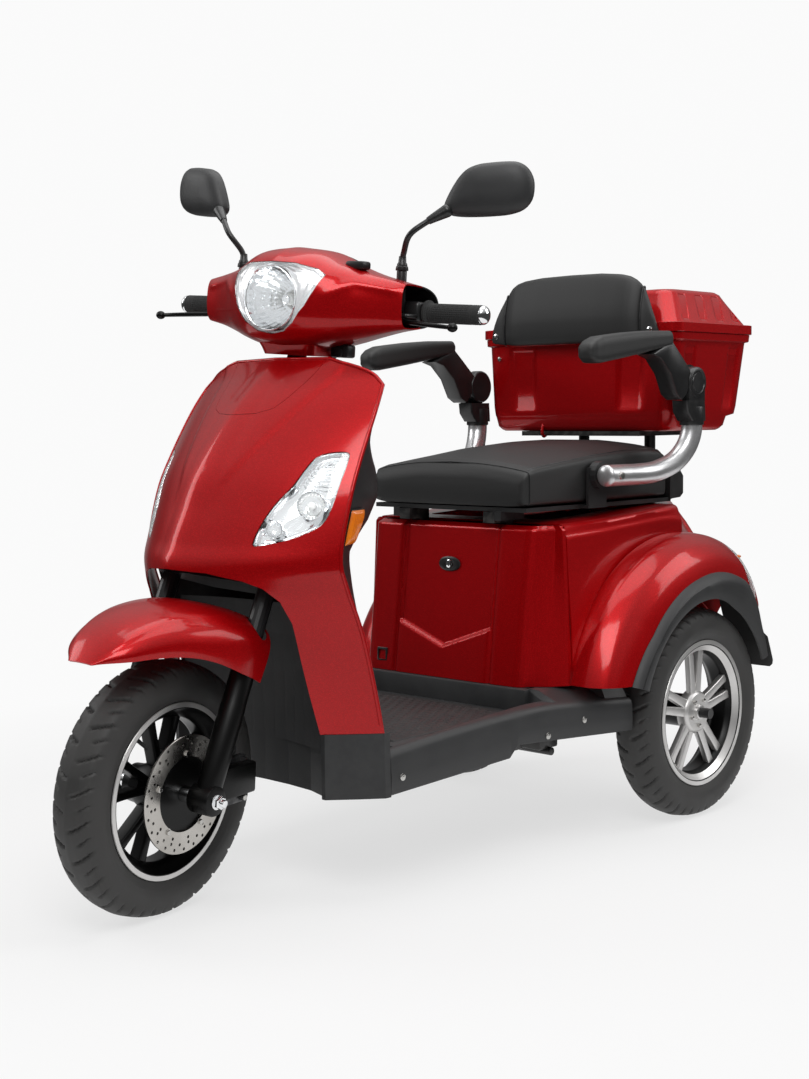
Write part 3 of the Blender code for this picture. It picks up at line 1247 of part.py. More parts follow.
def base_plan(z, chevron):
    """Return the seat base's plan from its right seam round the front to its left seam."""
    rise = (z - BASE_BOTTOM) / (BASE_TOP - BASE_BOTTOM)
    front = BASE_FRONT + BASE_LEAN * rise
    seam_x = 0.250 - 0.016 * rise
    corner = 0.198 + 0.004 * rise
    half = [(seam_x, BASE_SEAM_Y - 0.0007), (seam_x - 0.0005, BASE_SEAM_Y - 0.010),
            (corner + 0.028 * (1 - rise * 0.5), front + 0.042), (corner, front + 0.018),
            (corner - 0.014, front + 0.002), (PANEL_HALF + 0.010, front - 0.001), (PANEL_HALF, front + 0.003)]
    inner = [(PANEL_HALF - 0.008, 0.0), (0.055, 0.0), (0.0, 0.0)]
    half += [(x, front + (PANEL_RECESS if chevron else -0.002) + y) for x, y in inner]
    ring = half + [(-x, y) for x, y in reversed(half[:-1])]
    return [Vector((x, y, z)) for x, y in ring]


def build_seat_base():
    """Red front of the seat base with its chevron, and the key barrel in it."""
    rows = [base_plan(BASE_BOTTOM, False)]
    for lift, inside in ((0.0, False), (0.010, True)):
        row = base_plan(CHEVRON_SIDE, inside)
        for point in row:
            share = min(1.0, abs(point.x) / (PANEL_HALF - 0.008))
            point.z = CHEVRON_MIDDLE + (CHEVRON_SIDE - CHEVRON_MIDDLE) * share + lift
        rows.append(row)
    rows += [base_plan(0.480, True), base_plan(BASE_TOP - 0.008, True)]
    top = base_plan(BASE_TOP, False)
    for point in top:
        point.y = min(point.y + 0.010, BASE_SEAM_Y - 0.0060)
        point.x *= 0.975
    for end in (0, -1):
        top[end].y = BASE_SEAM_Y - 0.0040
    rows.append(top)
    base = grid_piece("seat_base_front", rows, RED, "body", BODY_WALL, BODY_HEART, smooth=25)
    key = Vector((0.0, BASE_FRONT + BASE_LEAN * 0.73 + PANEL_RECESS, KEY_Z))
    cut(base, rod(key - Vector((0, 0.05, 0)), key + Vector((0, 0.05, 0)), 0.0088, 20), "body")
    barrel = bmesh.new()
    add_spindle(barrel, ((-0.0050, 0.0), (-0.0050, 0.0120), (-0.0019, 0.0125), (-0.0019, 0.0084), (0.026, 0.0084),
                         (0.026, 0.0)), key, 14, (0, 1, 0))
    make_piece("key_barrel", barrel, STEEL, "key", smooth=40)


KEY_Z = 0.507
DECK_TOP = ((0.15, 0.588), (0.30, 0.594), (0.50, 0.606), (0.66, 0.606))
TAIL_EDGE = ((0.49, 0.231), (0.526, 0.205), (0.59, 0.165), (0.66, 0.125))
TAIL_DROP = ((0.49, 0.020), (0.53, 0.058), (0.60, 0.110), (0.66, 0.160))


def build_rear_body():
    """Red shell over the rear frame: side walls and the deck under the seat."""
    rows = []
    for y in (BASE_SEAM_Y, 0.30, 0.40, 0.49, 0.526, 0.59, REAR_END):
        top = between(DECK_TOP, y)
        side = top - between(TAIL_DROP, y)
        edge = between(TAIL_EDGE, y)
        half = [(0.250, BASE_BOTTOM), (0.248, 0.40), (0.240, min(0.50, side - 0.015)), (0.236, side),
                (edge, top - 0.006), (edge - 0.011, top), (edge * 0.6, top + 0.0005), (0.0, top + 0.001)]
        row = half + [(-x, z) for x, z in reversed(half[:-1])]
        rows.append([Vector((x, y, z)) for x, z in row])
    shell = grid_piece("rear_body_shell", rows, RED, "body", BODY_WALL, BODY_HEART, smooth=30)
    wells = bmesh.new()
    holes = bmesh.new()
    for hand in (1, -1):
        add_rod(wells, (hand * 0.20, REAR_Y, TYRE_RADIUS), (hand * 0.30, REAR_Y, TYRE_RADIUS), WELL_RADIUS, 28)
        add_rod(holes, (hand * RACK_POST_X, RACK_POST_Y, 0.5), (hand * RACK_POST_X, RACK_POST_Y, 0.7), 0.0130, 12)
    cut(shell, wells, "body")
    cut(shell, block((-0.150, 0.200, 0.5), (0.150, 0.440, 0.7)), "body")
    cut(shell, holes, "body")
    panel = []
    for z, y, wide in ((0.280, 0.664, 0.2295), (0.440, 0.675, 0.2335), (0.520, 0.676, 0.1820),
                       (0.596, 0.666, 0.1265), (0.6045, 0.663, 0.1150)):
        outline = rounded_outline(wide, REAR_END - 0.0020, y, 0.0015, 1)
        panel.append([Vector((x, back, z)) for x, back in outline])
    fuse(shell, loft(panel), "body")
    build_rear_fenders(shell)


WELL_RADIUS = TYRE_RADIUS + 0.126
FENDER_START = 43.0
FENDER_END = 165.0
FENDER_STATIONS = 12
FENDER_SHRINK = ((43.0, 0.935), (46.5, 0.950), (52.6, 0.979), (60.0, 1.0))
# Flare: its upper and lower edge over the tyre at each angle
LIP_OVER = ((24.0, 0.0300), (26.0, 0.0315), (40.0, 0.042), (50.0, 0.0604), (62.0, 0.076), (82.0, 0.071),
            (99.0, 0.067), (118.0, 0.065), (139.0, 0.063), (162.0, 0.080))
FLARE_REACH = ((26.0, 0.345), (60.0, 0.350), (100.0, 0.3585), (162.0, 0.360))
INNER_OVER = ((26.0, 0.001), (48.0, 0.001), (71.0, 0.007), (89.0, 0.020), (108.0, 0.028), (134.0, 0.036),
              (162.0, 0.044))
FLARE_STEPS = 12
FLAP_X = 0.2500
# Mud flap: angle up from straight behind the axle, how far it is outside the tyre, and its outer edge
FLAP_SECTIONS = ((16.046, 0.03016, 0.3350), (19.983, 0.02910, 0.3450), (33.221, 0.03228, 0.3450),
                 (39.006, 0.03809, 0.3235), (47.631, 0.05216, 0.3190), (51.843, 0.06207, 0.3175))
# Tail lamp seen from above: x, and how far it is ahead of the fender's rear
LAMP_PLAN = ((0.2640, 0.223), (0.2900, 0.225), (0.3120, 0.217), (0.3280, 0.197), (0.3300, 0.173),
             (0.3180, 0.157), (0.3020, 0.163), (0.2820, 0.189))


def fender_section(hand, degrees):
    """Return one section of a rear fender, at an angle up from straight behind the axle."""
    size = between(FENDER_SHRINK, degrees)
    lip = TYRE_RADIUS + between(LIP_OVER, degrees)
    edge = between(FLARE_REACH, degrees) - 0.0180
    crown = FENDER_RADIUS * size
    wall = FENDER_INNER_X + BODY_WALL
    root = TYRE_RADIUS + 0.031
    outer = [(FENDER_INNER_X, root), (FENDER_INNER_X, (FENDER_RADIUS - 0.018) * size),
             (FENDER_INNER_X + 0.0055, (FENDER_RADIUS - 0.006) * size), (FENDER_INNER_X + 0.0195, crown),
             (FENDER_INNER_X + 0.0495, (FENDER_RADIUS - 0.003) * size), (edge - 0.030, lip + 0.754 * (crown - lip)),
             (edge - 0.010, lip + 0.42 * (crown - lip)), (edge, lip)]
    inner = [(wall, root), (wall, (FENDER_RADIUS - 0.020) * size), (wall + 0.0185, crown - 0.0040),
             (wall + 0.0455, (FENDER_RADIUS - 0.0065) * size), (edge - 0.0325, lip + 0.718 * (crown - lip)), (edge - 0.003, lip)]
    angle = math.radians(degrees)
    return [Vector((hand * x, REAR_Y + r * math.cos(angle), TYRE_RADIUS + r * math.sin(angle)))
            for x, r in outer + list(reversed(inner))]


def fender_solid(hand, steps):
    """Return one rear fender as a walled sheet, its wall on the wheel's side."""
    step = (FENDER_END - FENDER_START) / FENDER_STATIONS
    return loft([fender_section(hand, FENDER_START + step * k) for k in range(steps + 1)])


def build_rear_fenders(shell):
    """Rear fenders on the shell, black flares with mud flaps, and tail lamps."""
    for side, hand in (("left", 1), ("right", -1)):
        fuse(shell, fender_solid(hand, FENDER_STATIONS), "body")
        build_flare(side, hand)
        lamp = make_piece("tail_lamp_" + side, fender_solid(hand, 4), CLEAR, "body", smooth=40)
        keep_inside(lamp, lamp_window(hand, -PANEL_GAP), "body")
    low = bmesh.new()
    corners = bmesh.new()
    windows = bmesh.new()
    for hand in (1, -1):
        inner, outer = sorted((hand * 0.2300, hand * 0.50))
        add_block(low, (inner, 0.0, 0.1), (outer, REAR_Y, BASE_BOTTOM))
        inner, outer = sorted((hand * 0.200, hand * 0.2535))
        add_block(corners, (inner, 0.0, 0.1), (outer, BASE_SEAM_Y + 0.0001, 0.65))
        add_loft(windows, lamp_sections(hand, 0.0))
    cut(shell, low, "body")
    cut(shell, corners, "body")
    cut(shell, windows, "body")


def build_flare(side, hand):
    """Black flare round one rear wheel opening, with its mud flap."""
    flare = []
    for k in range(FLARE_STEPS + 1):
        degrees = 24.0 + 138.0 * k / FLARE_STEPS
        lip = TYRE_RADIUS + between(LIP_OVER, degrees)
        reach = between(FLARE_REACH, degrees)
        inner = TYRE_RADIUS + between(INNER_OVER, degrees)
        start = reach - 0.0174
        middle = (lip + inner) / 2
        profile = ((start, lip + 0.0002), (reach - 0.0065, lip - 0.0070), (reach, middle), (reach - 0.003, inner),
                   (reach - 0.008, inner), (reach - 0.0045, middle), (reach - 0.0100, lip - 0.0110),
                   (start, lip - 0.0060))
        angle = math.radians(degrees)
        flare.append([Vector((hand * x, REAR_Y + r * math.cos(angle), TYRE_RADIUS + r * math.sin(angle)))
                      for x, r in profile])
    piece = make_piece("fender_flare_" + side, loft(flare), GREY, "body", smooth=40)
    sections = []
    for degrees, over, outer in FLAP_SECTIONS:
        angle = math.radians(degrees)
        y = REAR_Y + (TYRE_RADIUS + over) * math.cos(angle)
        z = TYRE_RADIUS + (TYRE_RADIUS + over) * math.sin(angle)
        ring = [(FLAP_X, y), (outer, y), (outer, y + 0.004), (FLAP_X, y + 0.004)]
        sections.append([Vector((hand * a, b, z)) for a, b in ring])
    fuse(piece, loft(sections), "body")


def lamp_sections(hand, margin):
    """Return the two outlines of the prism that marks a tail lamp."""
    outline = [(x, REAR_Y + FENDER_RADIUS - ahead) for x, ahead in LAMP_PLAN]
    return [[(hand * x, y, z) for x, y in grown(outline, margin)] for z in (0.400, 0.620)]


def lamp_window(hand, margin):
    """Return the upright prism that marks a tail lamp on a fender."""
    return loft(lamp_sections(hand, margin))


def build_power():
    """Battery on its tray."""
    battery = block((-0.145, 0.160, 0.2960 + SEAT_GAP), (0.145, 0.410, 0.500))
    piece = make_piece("battery_pack", battery, BLACK, "body")
    handle = block((-0.045, 0.275, 0.498), (0.045, 0.295, 0.520))
    fuse(piece, handle, "body")


# Luggage rack and box
RACK_POST_X = 0.085
RACK_POST_Y = 0.6370
RACK_LOW = 0.742


def build_rack(frame):
    """Welded rack over the tail: two posts and the plate that the box stands on."""
    posts = bmesh.new()
    for hand in (1, -1):
        add_rod(posts, (hand * RACK_POST_X, RACK_POST_Y, DECK_RAIL_TOP - 0.012), (hand * RACK_POST_X, RACK_POST_Y, RACK_LOW + 0.004),
                0.0115, 12)
    fuse(frame, posts, "body")
    fuse(frame, block((-0.150, BOX_FRONT + 0.012, RACK_LOW), (0.150, 0.690, BOX_BOTTOM - SEAT_GAP)), "body")


def build_luggage():
    """Luggage box with its lid and latch."""
    base_sections = []
    for z, inset, behind in ((BOX_BOTTOM, 0.014, 0.026), (BOX_BOTTOM + 0.010, 0.005, 0.026),
                             (BOX_BOTTOM + 0.028, 0.003, 0.026), (BOX_BOTTOM + 0.033, 0.001, 0.0),
                             (BOX_RIM - 0.016, 0.001, 0.0), (BOX_RIM - 0.015, -0.005, 0.0), (BOX_RIM, -0.005, 0.0)):
        base_sections.append(box_ring(z, inset, behind))
    for z, inset, behind in ((BOX_RIM, BOX_WALL, 0.0), (BOX_BOTTOM + 0.033, 0.002 + BOX_WALL, 0.026),
                             (BOX_BOTTOM + BOX_WALL, 0.016 + BOX_WALL, 0.026)):
        base_sections.append(box_ring(z, inset, behind))
    make_piece("box_base", loft(base_sections), RED, "body", smooth=30)
    lid_sections = []
    low = LID_HIGH
    for z, inset in ((low + LID_RISE, 0.046), (low + LID_RISE - 0.010, 0.034), (low + LID_SKIRT + 0.001, 0.004),
                     (low + LID_SKIRT, -LID_OVERHANG - 0.005), (low, -LID_OVERHANG - 0.005), (low, BOX_WALL),
                     (low + LID_SKIRT + 0.001, 0.004 + BOX_WALL), (low + LID_RISE - 0.012, 0.034 + BOX_WALL),
                     (low + LID_RISE - BOX_WALL, 0.048)):
        lid_sections.append(box_ring(z, inset))
    make_piece("box_lid", loft(lid_sections), RED, "lid", smooth=30)
    latch = block((-0.018, BOX_REAR + 0.0055 + LID_OVERHANG, BOX_RIM - 0.030), (0.018, BOX_REAR + 0.0125, BOX_RIM + 0.0148))
    make_piece("box_latch", latch, BLACK, "latch")


def box_ring(z, inset, behind=0.0):
    """Return the box's rounded outline at a height, set in from its rim, and further in behind."""
    share = min(1.0, max(0.0, (BOX_RIM - z) / (BOX_RIM - BOX_BOTTOM)))
    taper_side = 0.012 * share
    taper_back = 0.030 * share
    outline = rounded_outline(BOX_HALF - inset - taper_side, BOX_FRONT + inset,
                              BOX_REAR - inset - taper_back - behind, 0.030, 3)
    return [Vector((x, y, z)) for x, y in outline]


# Backrest: stations across, with the front face's y, the lower and the upper edge
BACK_STATIONS = ((0.0, BACK_FRONT, BACK_LOW, BACK_HIGH), (0.075, BACK_FRONT + 0.0005, BACK_LOW, BACK_HIGH - 0.001),
                 (0.135, BACK_FRONT + 0.0030, BACK_LOW, BACK_HIGH - 0.006),
                 (0.156, BACK_FRONT + 0.0090, BACK_LOW + 0.001, BACK_HIGH - 0.015),
                 (0.169, BACK_FRONT + 0.0180, BACK_LOW + 0.002, BACK_HIGH - 0.026),
                 (0.1725, BACK_FRONT + 0.0235, BACK_LOW + 0.003, BACK_HIGH - 0.030),
                 (0.176, BACK_FRONT + 0.0205, BACK_LOW + 0.003, BACK_HIGH - 0.034),
                 (0.195, BACK_FRONT + 0.0215, BACK_LOW + 0.004, BACK_HIGH - 0.075),
                 (0.207, BACK_FRONT + 0.0235, BACK_LOW + 0.007, BACK_HIGH - 0.106),
                 (0.211, BACK_FRONT + 0.0260, BACK_LOW + 0.012, BACK_HIGH - 0.118))


def build_backrest():
    """Backrest cushion in front of the lid: a full panel with a thin wing at each end."""
    back = BOX_FRONT - LID_OVERHANG - 0.005 - SEAT_GAP - 0.0014
    shape = bmesh.new()
    sections = []
    for x, face, low, high in [(-x, *rest) for x, *rest in reversed(BACK_STATIONS[1:])] + list(BACK_STATIONS):
        depth = back - face
        ring = []
        for k in range(12):
            angle = 2 * math.pi * (k + 0.5) / 12
            c = math.cos(angle)
            s = math.sin(angle)
            y = back - depth / 2 + depth / 2 * math.copysign(abs(c) ** (0.30 if c > 0 else 0.55), c)
            z = (low + high) / 2 + (high - low) / 2 * math.copysign(abs(s) ** 0.6, s)
            ring.append(Vector((x, y + max(0.0, z - BACK_LOW - 0.053) * BACK_LEAN, z)))
        sections.append(ring)
    add_loft(shape, sections)
    make_piece("backrest_cushion", shape, LEATHER, "lid", smooth=60)


def build_seat():
    """Seat cushion on its pan, which slides on two rails, with the armrest tubes."""
    pan = make_piece("seat_pan", block((-SEAT_HALF + 0.006, SEAT_FRONT + 0.006, PAN_LOW),
                                       (SEAT_HALF - 0.006, SEAT_REAR + 0.008, PAN_LOW + PAN_THICKNESS)), BLACK, "seat")
    arms = bmesh.new()
    spacers = bmesh.new()
    lugs = bmesh.new()
    for hand in (1, -1):
        low, high = sorted((hand * (SEAT_HALF - 0.010), hand * (SEAT_HALF + 0.0105)))
        add_block(arms, (low, ARM_BOLT_Y - 0.030, PAN_LOW + 0.0005), (high, ARM_BOLT_Y + 0.030, PAN_LOW + 0.0060))
        low, high = sorted((hand * (SEAT_HALF + 0.0045), hand * (SEAT_HALF + 0.0100)))
        add_block(spacers, (low, ARM_BOLT_Y - 0.029, PAN_LOW + 0.001), (high, ARM_BOLT_Y + 0.029, ARM_BOLT_Z + 0.015))
        low, high = sorted((hand * 0.1185, hand * 0.1345))
        add_block(lugs, (low, SLIDE_Y - 0.008, SLIDE_Z - 0.006), (high, SLIDE_Y + 0.060, PAN_LOW + 0.001))
    fuse(pan, arms, "seat")
    fuse(pan, spacers, "seat")
    fuse(pan, lugs, "seat")
    discs = bmesh.new()
    bolster = bmesh.new()
    for hand in (1, -1):
        add_rod(discs, (hand * (SEAT_HALF + 0.0060), ARM_BOLT_Y, ARM_BOLT_Z),
                (hand * (ARM_BOLT_X - ARM_TUBE_RADIUS - SEAT_GAP), ARM_BOLT_Y, ARM_BOLT_Z), 0.0265, 16)
    rows = ((0.5535, 0.6120, 0.6550), (0.5580, 0.6150, 0.6650), (0.5900, 0.6170, 0.6720), (0.6010, 0.6250, 0.6600))
    for x in (-SEAT_HALF + 0.003, SEAT_HALF - 0.003):
        ring = [(y, low) for y, low, high in rows] + [(y, high) for y, low, high in reversed(rows)]
        bolster_row = [Vector((x, y, z)) for y, z in ring]
        sections = [bolster_row] if x < 0 else sections + [bolster_row]
    add_loft(bolster, sections)
    fuse(pan, discs, "seat")
    fuse(pan, bolster, "seat")
    build_seat_cushion()
    build_armrests()


def seat_rail_shape():
    """Return the two rail ends that carry the front of the seat."""
    ends = bmesh.new()
    for hand in (1, -1):
        inner, outer = sorted((hand * 0.092, hand * (0.1185 - RUN_GAP)))
        outline = ((SLIDE_Y - 0.008, 0.5890), (0.1180, 0.5890), (0.1260, 0.5720), (0.1400, 0.5720),
                   (0.1400, PAN_LOW - 0.0008), (SLIDE_Y - 0.008, PAN_LOW - 0.0008))
        add_loft(ends, [[(x, y, z) for y, z in outline] for x in (inner, outer)])
    return ends


# Seat cushion: y, top of the crown, bottom, how much narrower than the seat
SEAT_STATIONS = ((0.085, 0.672, 0.640, 0.024), (0.088, 0.690, 0.628, 0.012), (0.098, 0.700, 0.6200, 0.006),
                 (0.120, 0.706, 0.6184, 0.004), (0.200, 0.716, 0.6184, 0.002), (0.300, 0.728, 0.6184, 0.0),
                 (0.400, 0.7350, 0.6184, 0.0), (0.480, SEAT_TOP, 0.6184, 0.001), (0.520, 0.733, 0.6184, 0.003),
                 (0.540, 0.724, 0.6184, 0.006), (0.5500, 0.708, 0.624, 0.014), (0.5525, 0.690, 0.640, 0.029))
SEAT_CROWN = 0.016


def build_seat_cushion():
    """Seat cushion with its crown and rounded edges."""
    shape = bmesh.new()
    sections = []
    for y, top, low, narrower in SEAT_STATIONS:
        half = SEAT_HALF - narrower
        middle = low + (top - low) * 0.5
        ring = []
        for k in range(18):
            angle = 2 * math.pi * (k + 0.5) / 18
            c = math.cos(angle)
            s = math.sin(angle)
            x = half * math.copysign(abs(c) ** 0.35, c)
            rise = (top - middle) * abs(s) ** 0.42 - SEAT_CROWN * abs(x / half) ** 2 * max(0.0, s)
            z = middle + (rise if s > 0 else (low - middle) * abs(s) ** 0.35)
            ring.append(Vector((x, y, z)))
        sections.append(ring)
    add_loft(shape, sections)
    make_piece("seat_cushion", shape, LEATHER, "seat", smooth=60)


# Armrests: outlines seen from the side, as (y, z)
ARM_BEAM = ((0.330, 0.896), (0.410, 0.925), (0.430, 0.905), (0.4660, 0.8740), (0.4707, 0.8703), (0.4622, 0.8556),
            (0.4630, 0.8357), (0.4520, 0.8170), (0.4300, 0.7990), (0.4060, 0.8170))
ARM_LEG = ((0.7720, 0.4780, 0.5260), (0.7900, 0.4620, 0.5250), (0.8120, 0.4590, 0.5230))
ARM_PAD = ((0.4100, 0.9130, 0.9400), (0.4040, 0.9120, 0.9440), (0.2670, 0.8910, 0.9370), (0.1700, 0.8770, 0.9260),
           (0.1450, 0.8770, 0.9180), (0.1340, 0.8850, 0.9100), (0.1300, 0.8920, 0.9050))


def build_armrests():
    """Bent tubes, each with its socket, and the folding arms."""
    for side, hand in (("left", 1), ("right", -1)):
        route = [(ARM_BOLT_X, ARM_BOLT_Y - 0.026, ARM_BOLT_Z), (ARM_BOLT_X, ARM_BOLT_Y + 0.030, ARM_BOLT_Z),
                 (ARM_BOLT_X + 0.0015, 0.372, 0.672), (ARM_BOLT_X + 0.0090, 0.418, 0.676),
                 (ARM_X - 0.0155, 0.462, 0.692), (ARM_X - 0.0055, 0.488, 0.718),
                 (ARM_X - 0.0005, 0.501, 0.748), (ARM_X, 0.503, 0.778)]
        shape = bmesh.new()
        add_tube(shape, [(hand * x, y, z) for x, y, z in route], ARM_TUBE_RADIUS, 10, 2)
        tube = make_piece("armrest_tube_" + side, shape, SILVER, "seat", smooth=50)
        x = hand * ARM_X
        fuse(tube, rod((x, 0.5025, 0.764), (x, 0.5025, 0.800), 0.0235, 12), "seat")
        leg = []
        for z, low, high in ARM_LEG:
            leg.append([Vector((x + dx, y, z)) for dx, y in ((-0.0185, low), (0.0185, low), (0.0185, high), (-0.0185, high))])
        fuse(tube, loft(leg), "seat")
        inner, outer = sorted((x + hand * 0.0012, x + hand * 0.0186))
        fuse(tube, block((inner, 0.4660, 0.8100), (outer, 0.5220, ARM_PIVOT_Z)), "seat")
        inner, outer = sorted((x + hand * 0.0010, x + hand * ARM_HALF))
        fuse(tube, rod((inner, ARM_PIVOT_Y, ARM_PIVOT_Z), (outer, ARM_PIVOT_Y, ARM_PIVOT_Z), ARM_HUB_RADIUS, 14), "seat")
        build_armrest(hand, side)


def build_armrest(hand, side):
    """Folding arm with its pad."""
    x = hand * ARM_X
    inner, outer = sorted((x - hand * ARM_HALF, x + hand * (ARM_HALF - 0.0015)))
    beam = loft([[(place, y, z) for y, z in ARM_BEAM] for place in (inner, outer)])
    piece = make_piece("armrest_" + side, beam, BLACK, "armrest_" + side, smooth=40)
    inner, outer = sorted((x - hand * (ARM_HALF - 0.0005), x + hand * 0.0005))
    fuse(piece, rod((inner, ARM_PIVOT_Y, ARM_PIVOT_Z), (outer, ARM_PIVOT_Y, ARM_PIVOT_Z), ARM_HUB_RADIUS + 0.0045, 14),
         "armrest_" + side)
    sections = []
    for i, (y, low, high) in enumerate(ARM_PAD):
        scale = (0.86, 1.0, 1.0, 1.0, 0.94, 0.78, 0.50)[i]
        ring = []
        for k in range(12):
            angle = 2 * math.pi * (k + 0.5) / 12
            c = math.cos(angle)
            s = math.sin(angle)
            ring.append(Vector((x + ARM_HALF * scale * math.copysign(abs(c) ** 0.5, c), y,
                                (low + high) / 2 + (high - low) / 2 * math.copysign(abs(s) ** 0.6, s))))
        sections.append(ring)
    fuse(piece, loft(sections), "armrest_" + side)


def centre_object():
    """Stand the object over its origin: the middle of its box, on the ground."""
    bpy.context.view_layer.update()
    low = Vector((9.0, 9.0, 9.0))
    high = -low
    depsgraph = bpy.context.evaluated_depsgraph_get()
    for thing in bpy.data.objects:
        if thing.type == "EMPTY" or thing.hide_render:
            continue
        shaped = thing.evaluated_get(depsgraph)
        mesh = shaped.to_mesh()
        for vertex in mesh.vertices:
            place = thing.matrix_world @ vertex.co
            for axis in range(3):
                low[axis] = min(low[axis], place[axis])
                high[axis] = max(high[axis], place[axis])
        shaped.to_mesh_clear()
    middle = (low + high) / 2
    pivots["body"].location = rest_points["body"] - Vector((middle.x, middle.y, low.z))
    bpy.context.view_layer.update()
    print("size", [round(value, 4) for value in high - low])


def add_pivots():
    """Set out the joints, as modelled straight ahead."""
    add_pivot("body", (0.0, 0.0, 0.0))
    add_pivot("steering", STEER_POINT, "body")
    add_pivot("fork_slide", FRONT_AXLE, "steering")
    add_pivot("front_wheel", FRONT_AXLE, "fork_slide")
    add_pivot("throttle", (-GRIP_START, BAR_Y, BAR_Z), "steering")
    for name, hand in (("left", 1), ("right", -1)):
        add_pivot("lever_" + name, (hand * LEVER_X, LEVER_Y, LEVER_Z), "steering")
        add_pivot("stalk_" + name, (hand * MIRROR_X, MIRROR_Y, POST_TOP), "steering")
        add_pivot("head_" + name, (hand * MIRROR_JOIN[0], MIRROR_JOIN[1], MIRROR_JOIN[2]), "stalk_" + name)
    add_pivot("swing", (0.0, SWING_Y, SWING_Z), "body")
    add_pivot("wheel_left", (REAR_X, REAR_Y, TYRE_RADIUS), "swing")
    add_pivot("wheel_right", (-REAR_X, REAR_Y, TYRE_RADIUS), "swing")
    add_pivot("seat", (0.0, SLIDE_Y, SLIDE_Z), "body")
    for name, hand in (("left", 1), ("right", -1)):
        add_pivot("armrest_" + name, (hand * ARM_X, ARM_PIVOT_Y, ARM_PIVOT_Z), "seat")
    add_pivot("lid", (0.0, BOX_FRONT - 0.015, BOX_RIM - 0.013), "body")
    add_pivot("latch", (0.0, BOX_REAR + 0.010, BOX_RIM + 0.014), "lid")
    add_pivot("key", (0.0, BASE_FRONT + BASE_LEAN * 0.73, KEY_Z), "body")


def turn_steering():
    """Turn everything on the steering axis to the rider's left, as it stands at rest."""
    empty = pivots["steering"]
    empty.rotation_mode = "QUATERNION"
    empty.rotation_quaternion = Matrix.Rotation(STEER_AT_REST, 3, STEER_UP).to_quaternion()


def main():
    """Build the scooter."""
    clear_scene()
    add_pivots()
    build_frame()
    build_rear_suspension()
    build_floor()
    build_front_bodywork()
    build_turn_signals()
    build_seat_base()
    build_rear_body()
    build_power()
    build_luggage()
    build_backrest()
    build_seat()
    build_fork()
    build_front_fender()
    build_brake_hose()
    build_front_wheel()
    build_handlebar()
    build_cowl()
    for side, hand in (("left", 1), ("right", -1)):
        build_wheel("rear_" + side, (hand * REAR_X, REAR_Y, TYRE_RADIUS), "wheel_" + side, MACHINED,
                    math.radians(14), (0.018, 0.032), RIM_RADIUS - 0.0095, 0.036)
    turn_steering()
    centre_object()


main()
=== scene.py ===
"""Looks of a red three-wheel electric scooter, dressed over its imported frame.

Metres. +X is the rider's left, -Y is forwards and +Z is up. Pieces are shaped straight ahead, with
y = 0 near the middle of the wheelbase, and are then put where the frame stands: everything on the
steering is turned to the rider's left about its raked axis.
"""
import json
import logging
import math
from dataclasses import dataclass, field
from enum import Enum
from typing import Callable, Optional, Sequence, Union

import bmesh
import bpy
import numpy as np
from mathutils import Matrix, Vector

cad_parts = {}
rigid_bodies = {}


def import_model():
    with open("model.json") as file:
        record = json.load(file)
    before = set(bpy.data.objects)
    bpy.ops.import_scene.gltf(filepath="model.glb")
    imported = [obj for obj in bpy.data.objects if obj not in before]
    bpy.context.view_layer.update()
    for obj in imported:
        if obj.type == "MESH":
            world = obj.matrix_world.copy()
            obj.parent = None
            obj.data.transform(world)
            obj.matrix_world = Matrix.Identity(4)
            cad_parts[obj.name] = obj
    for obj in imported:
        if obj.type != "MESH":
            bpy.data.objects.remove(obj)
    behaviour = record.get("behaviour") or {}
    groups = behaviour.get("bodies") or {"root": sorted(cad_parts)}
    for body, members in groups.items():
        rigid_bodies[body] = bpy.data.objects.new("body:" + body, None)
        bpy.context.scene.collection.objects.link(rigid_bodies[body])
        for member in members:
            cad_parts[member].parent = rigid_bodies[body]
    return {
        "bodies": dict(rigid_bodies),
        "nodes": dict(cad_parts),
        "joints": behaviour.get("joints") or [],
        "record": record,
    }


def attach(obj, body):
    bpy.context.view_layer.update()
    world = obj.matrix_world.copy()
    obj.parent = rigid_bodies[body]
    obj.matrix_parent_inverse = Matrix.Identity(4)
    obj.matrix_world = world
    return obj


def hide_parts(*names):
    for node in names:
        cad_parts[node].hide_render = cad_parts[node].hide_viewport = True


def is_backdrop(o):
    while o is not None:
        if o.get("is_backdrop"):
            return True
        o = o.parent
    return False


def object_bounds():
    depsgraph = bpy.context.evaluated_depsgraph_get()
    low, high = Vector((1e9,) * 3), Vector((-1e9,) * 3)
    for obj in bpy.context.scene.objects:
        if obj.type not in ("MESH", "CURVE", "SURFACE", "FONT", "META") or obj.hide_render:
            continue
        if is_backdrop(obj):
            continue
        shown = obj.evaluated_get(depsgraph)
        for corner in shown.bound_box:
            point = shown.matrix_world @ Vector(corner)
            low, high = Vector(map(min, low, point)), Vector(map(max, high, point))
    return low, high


LOG = logging.getLogger("scooter")
Point = Union[Vector, Sequence[float]]
Outline = Sequence[tuple[float, float]]
Surface = Callable[[float, float], Vector]
Colour = tuple[float, float, float]


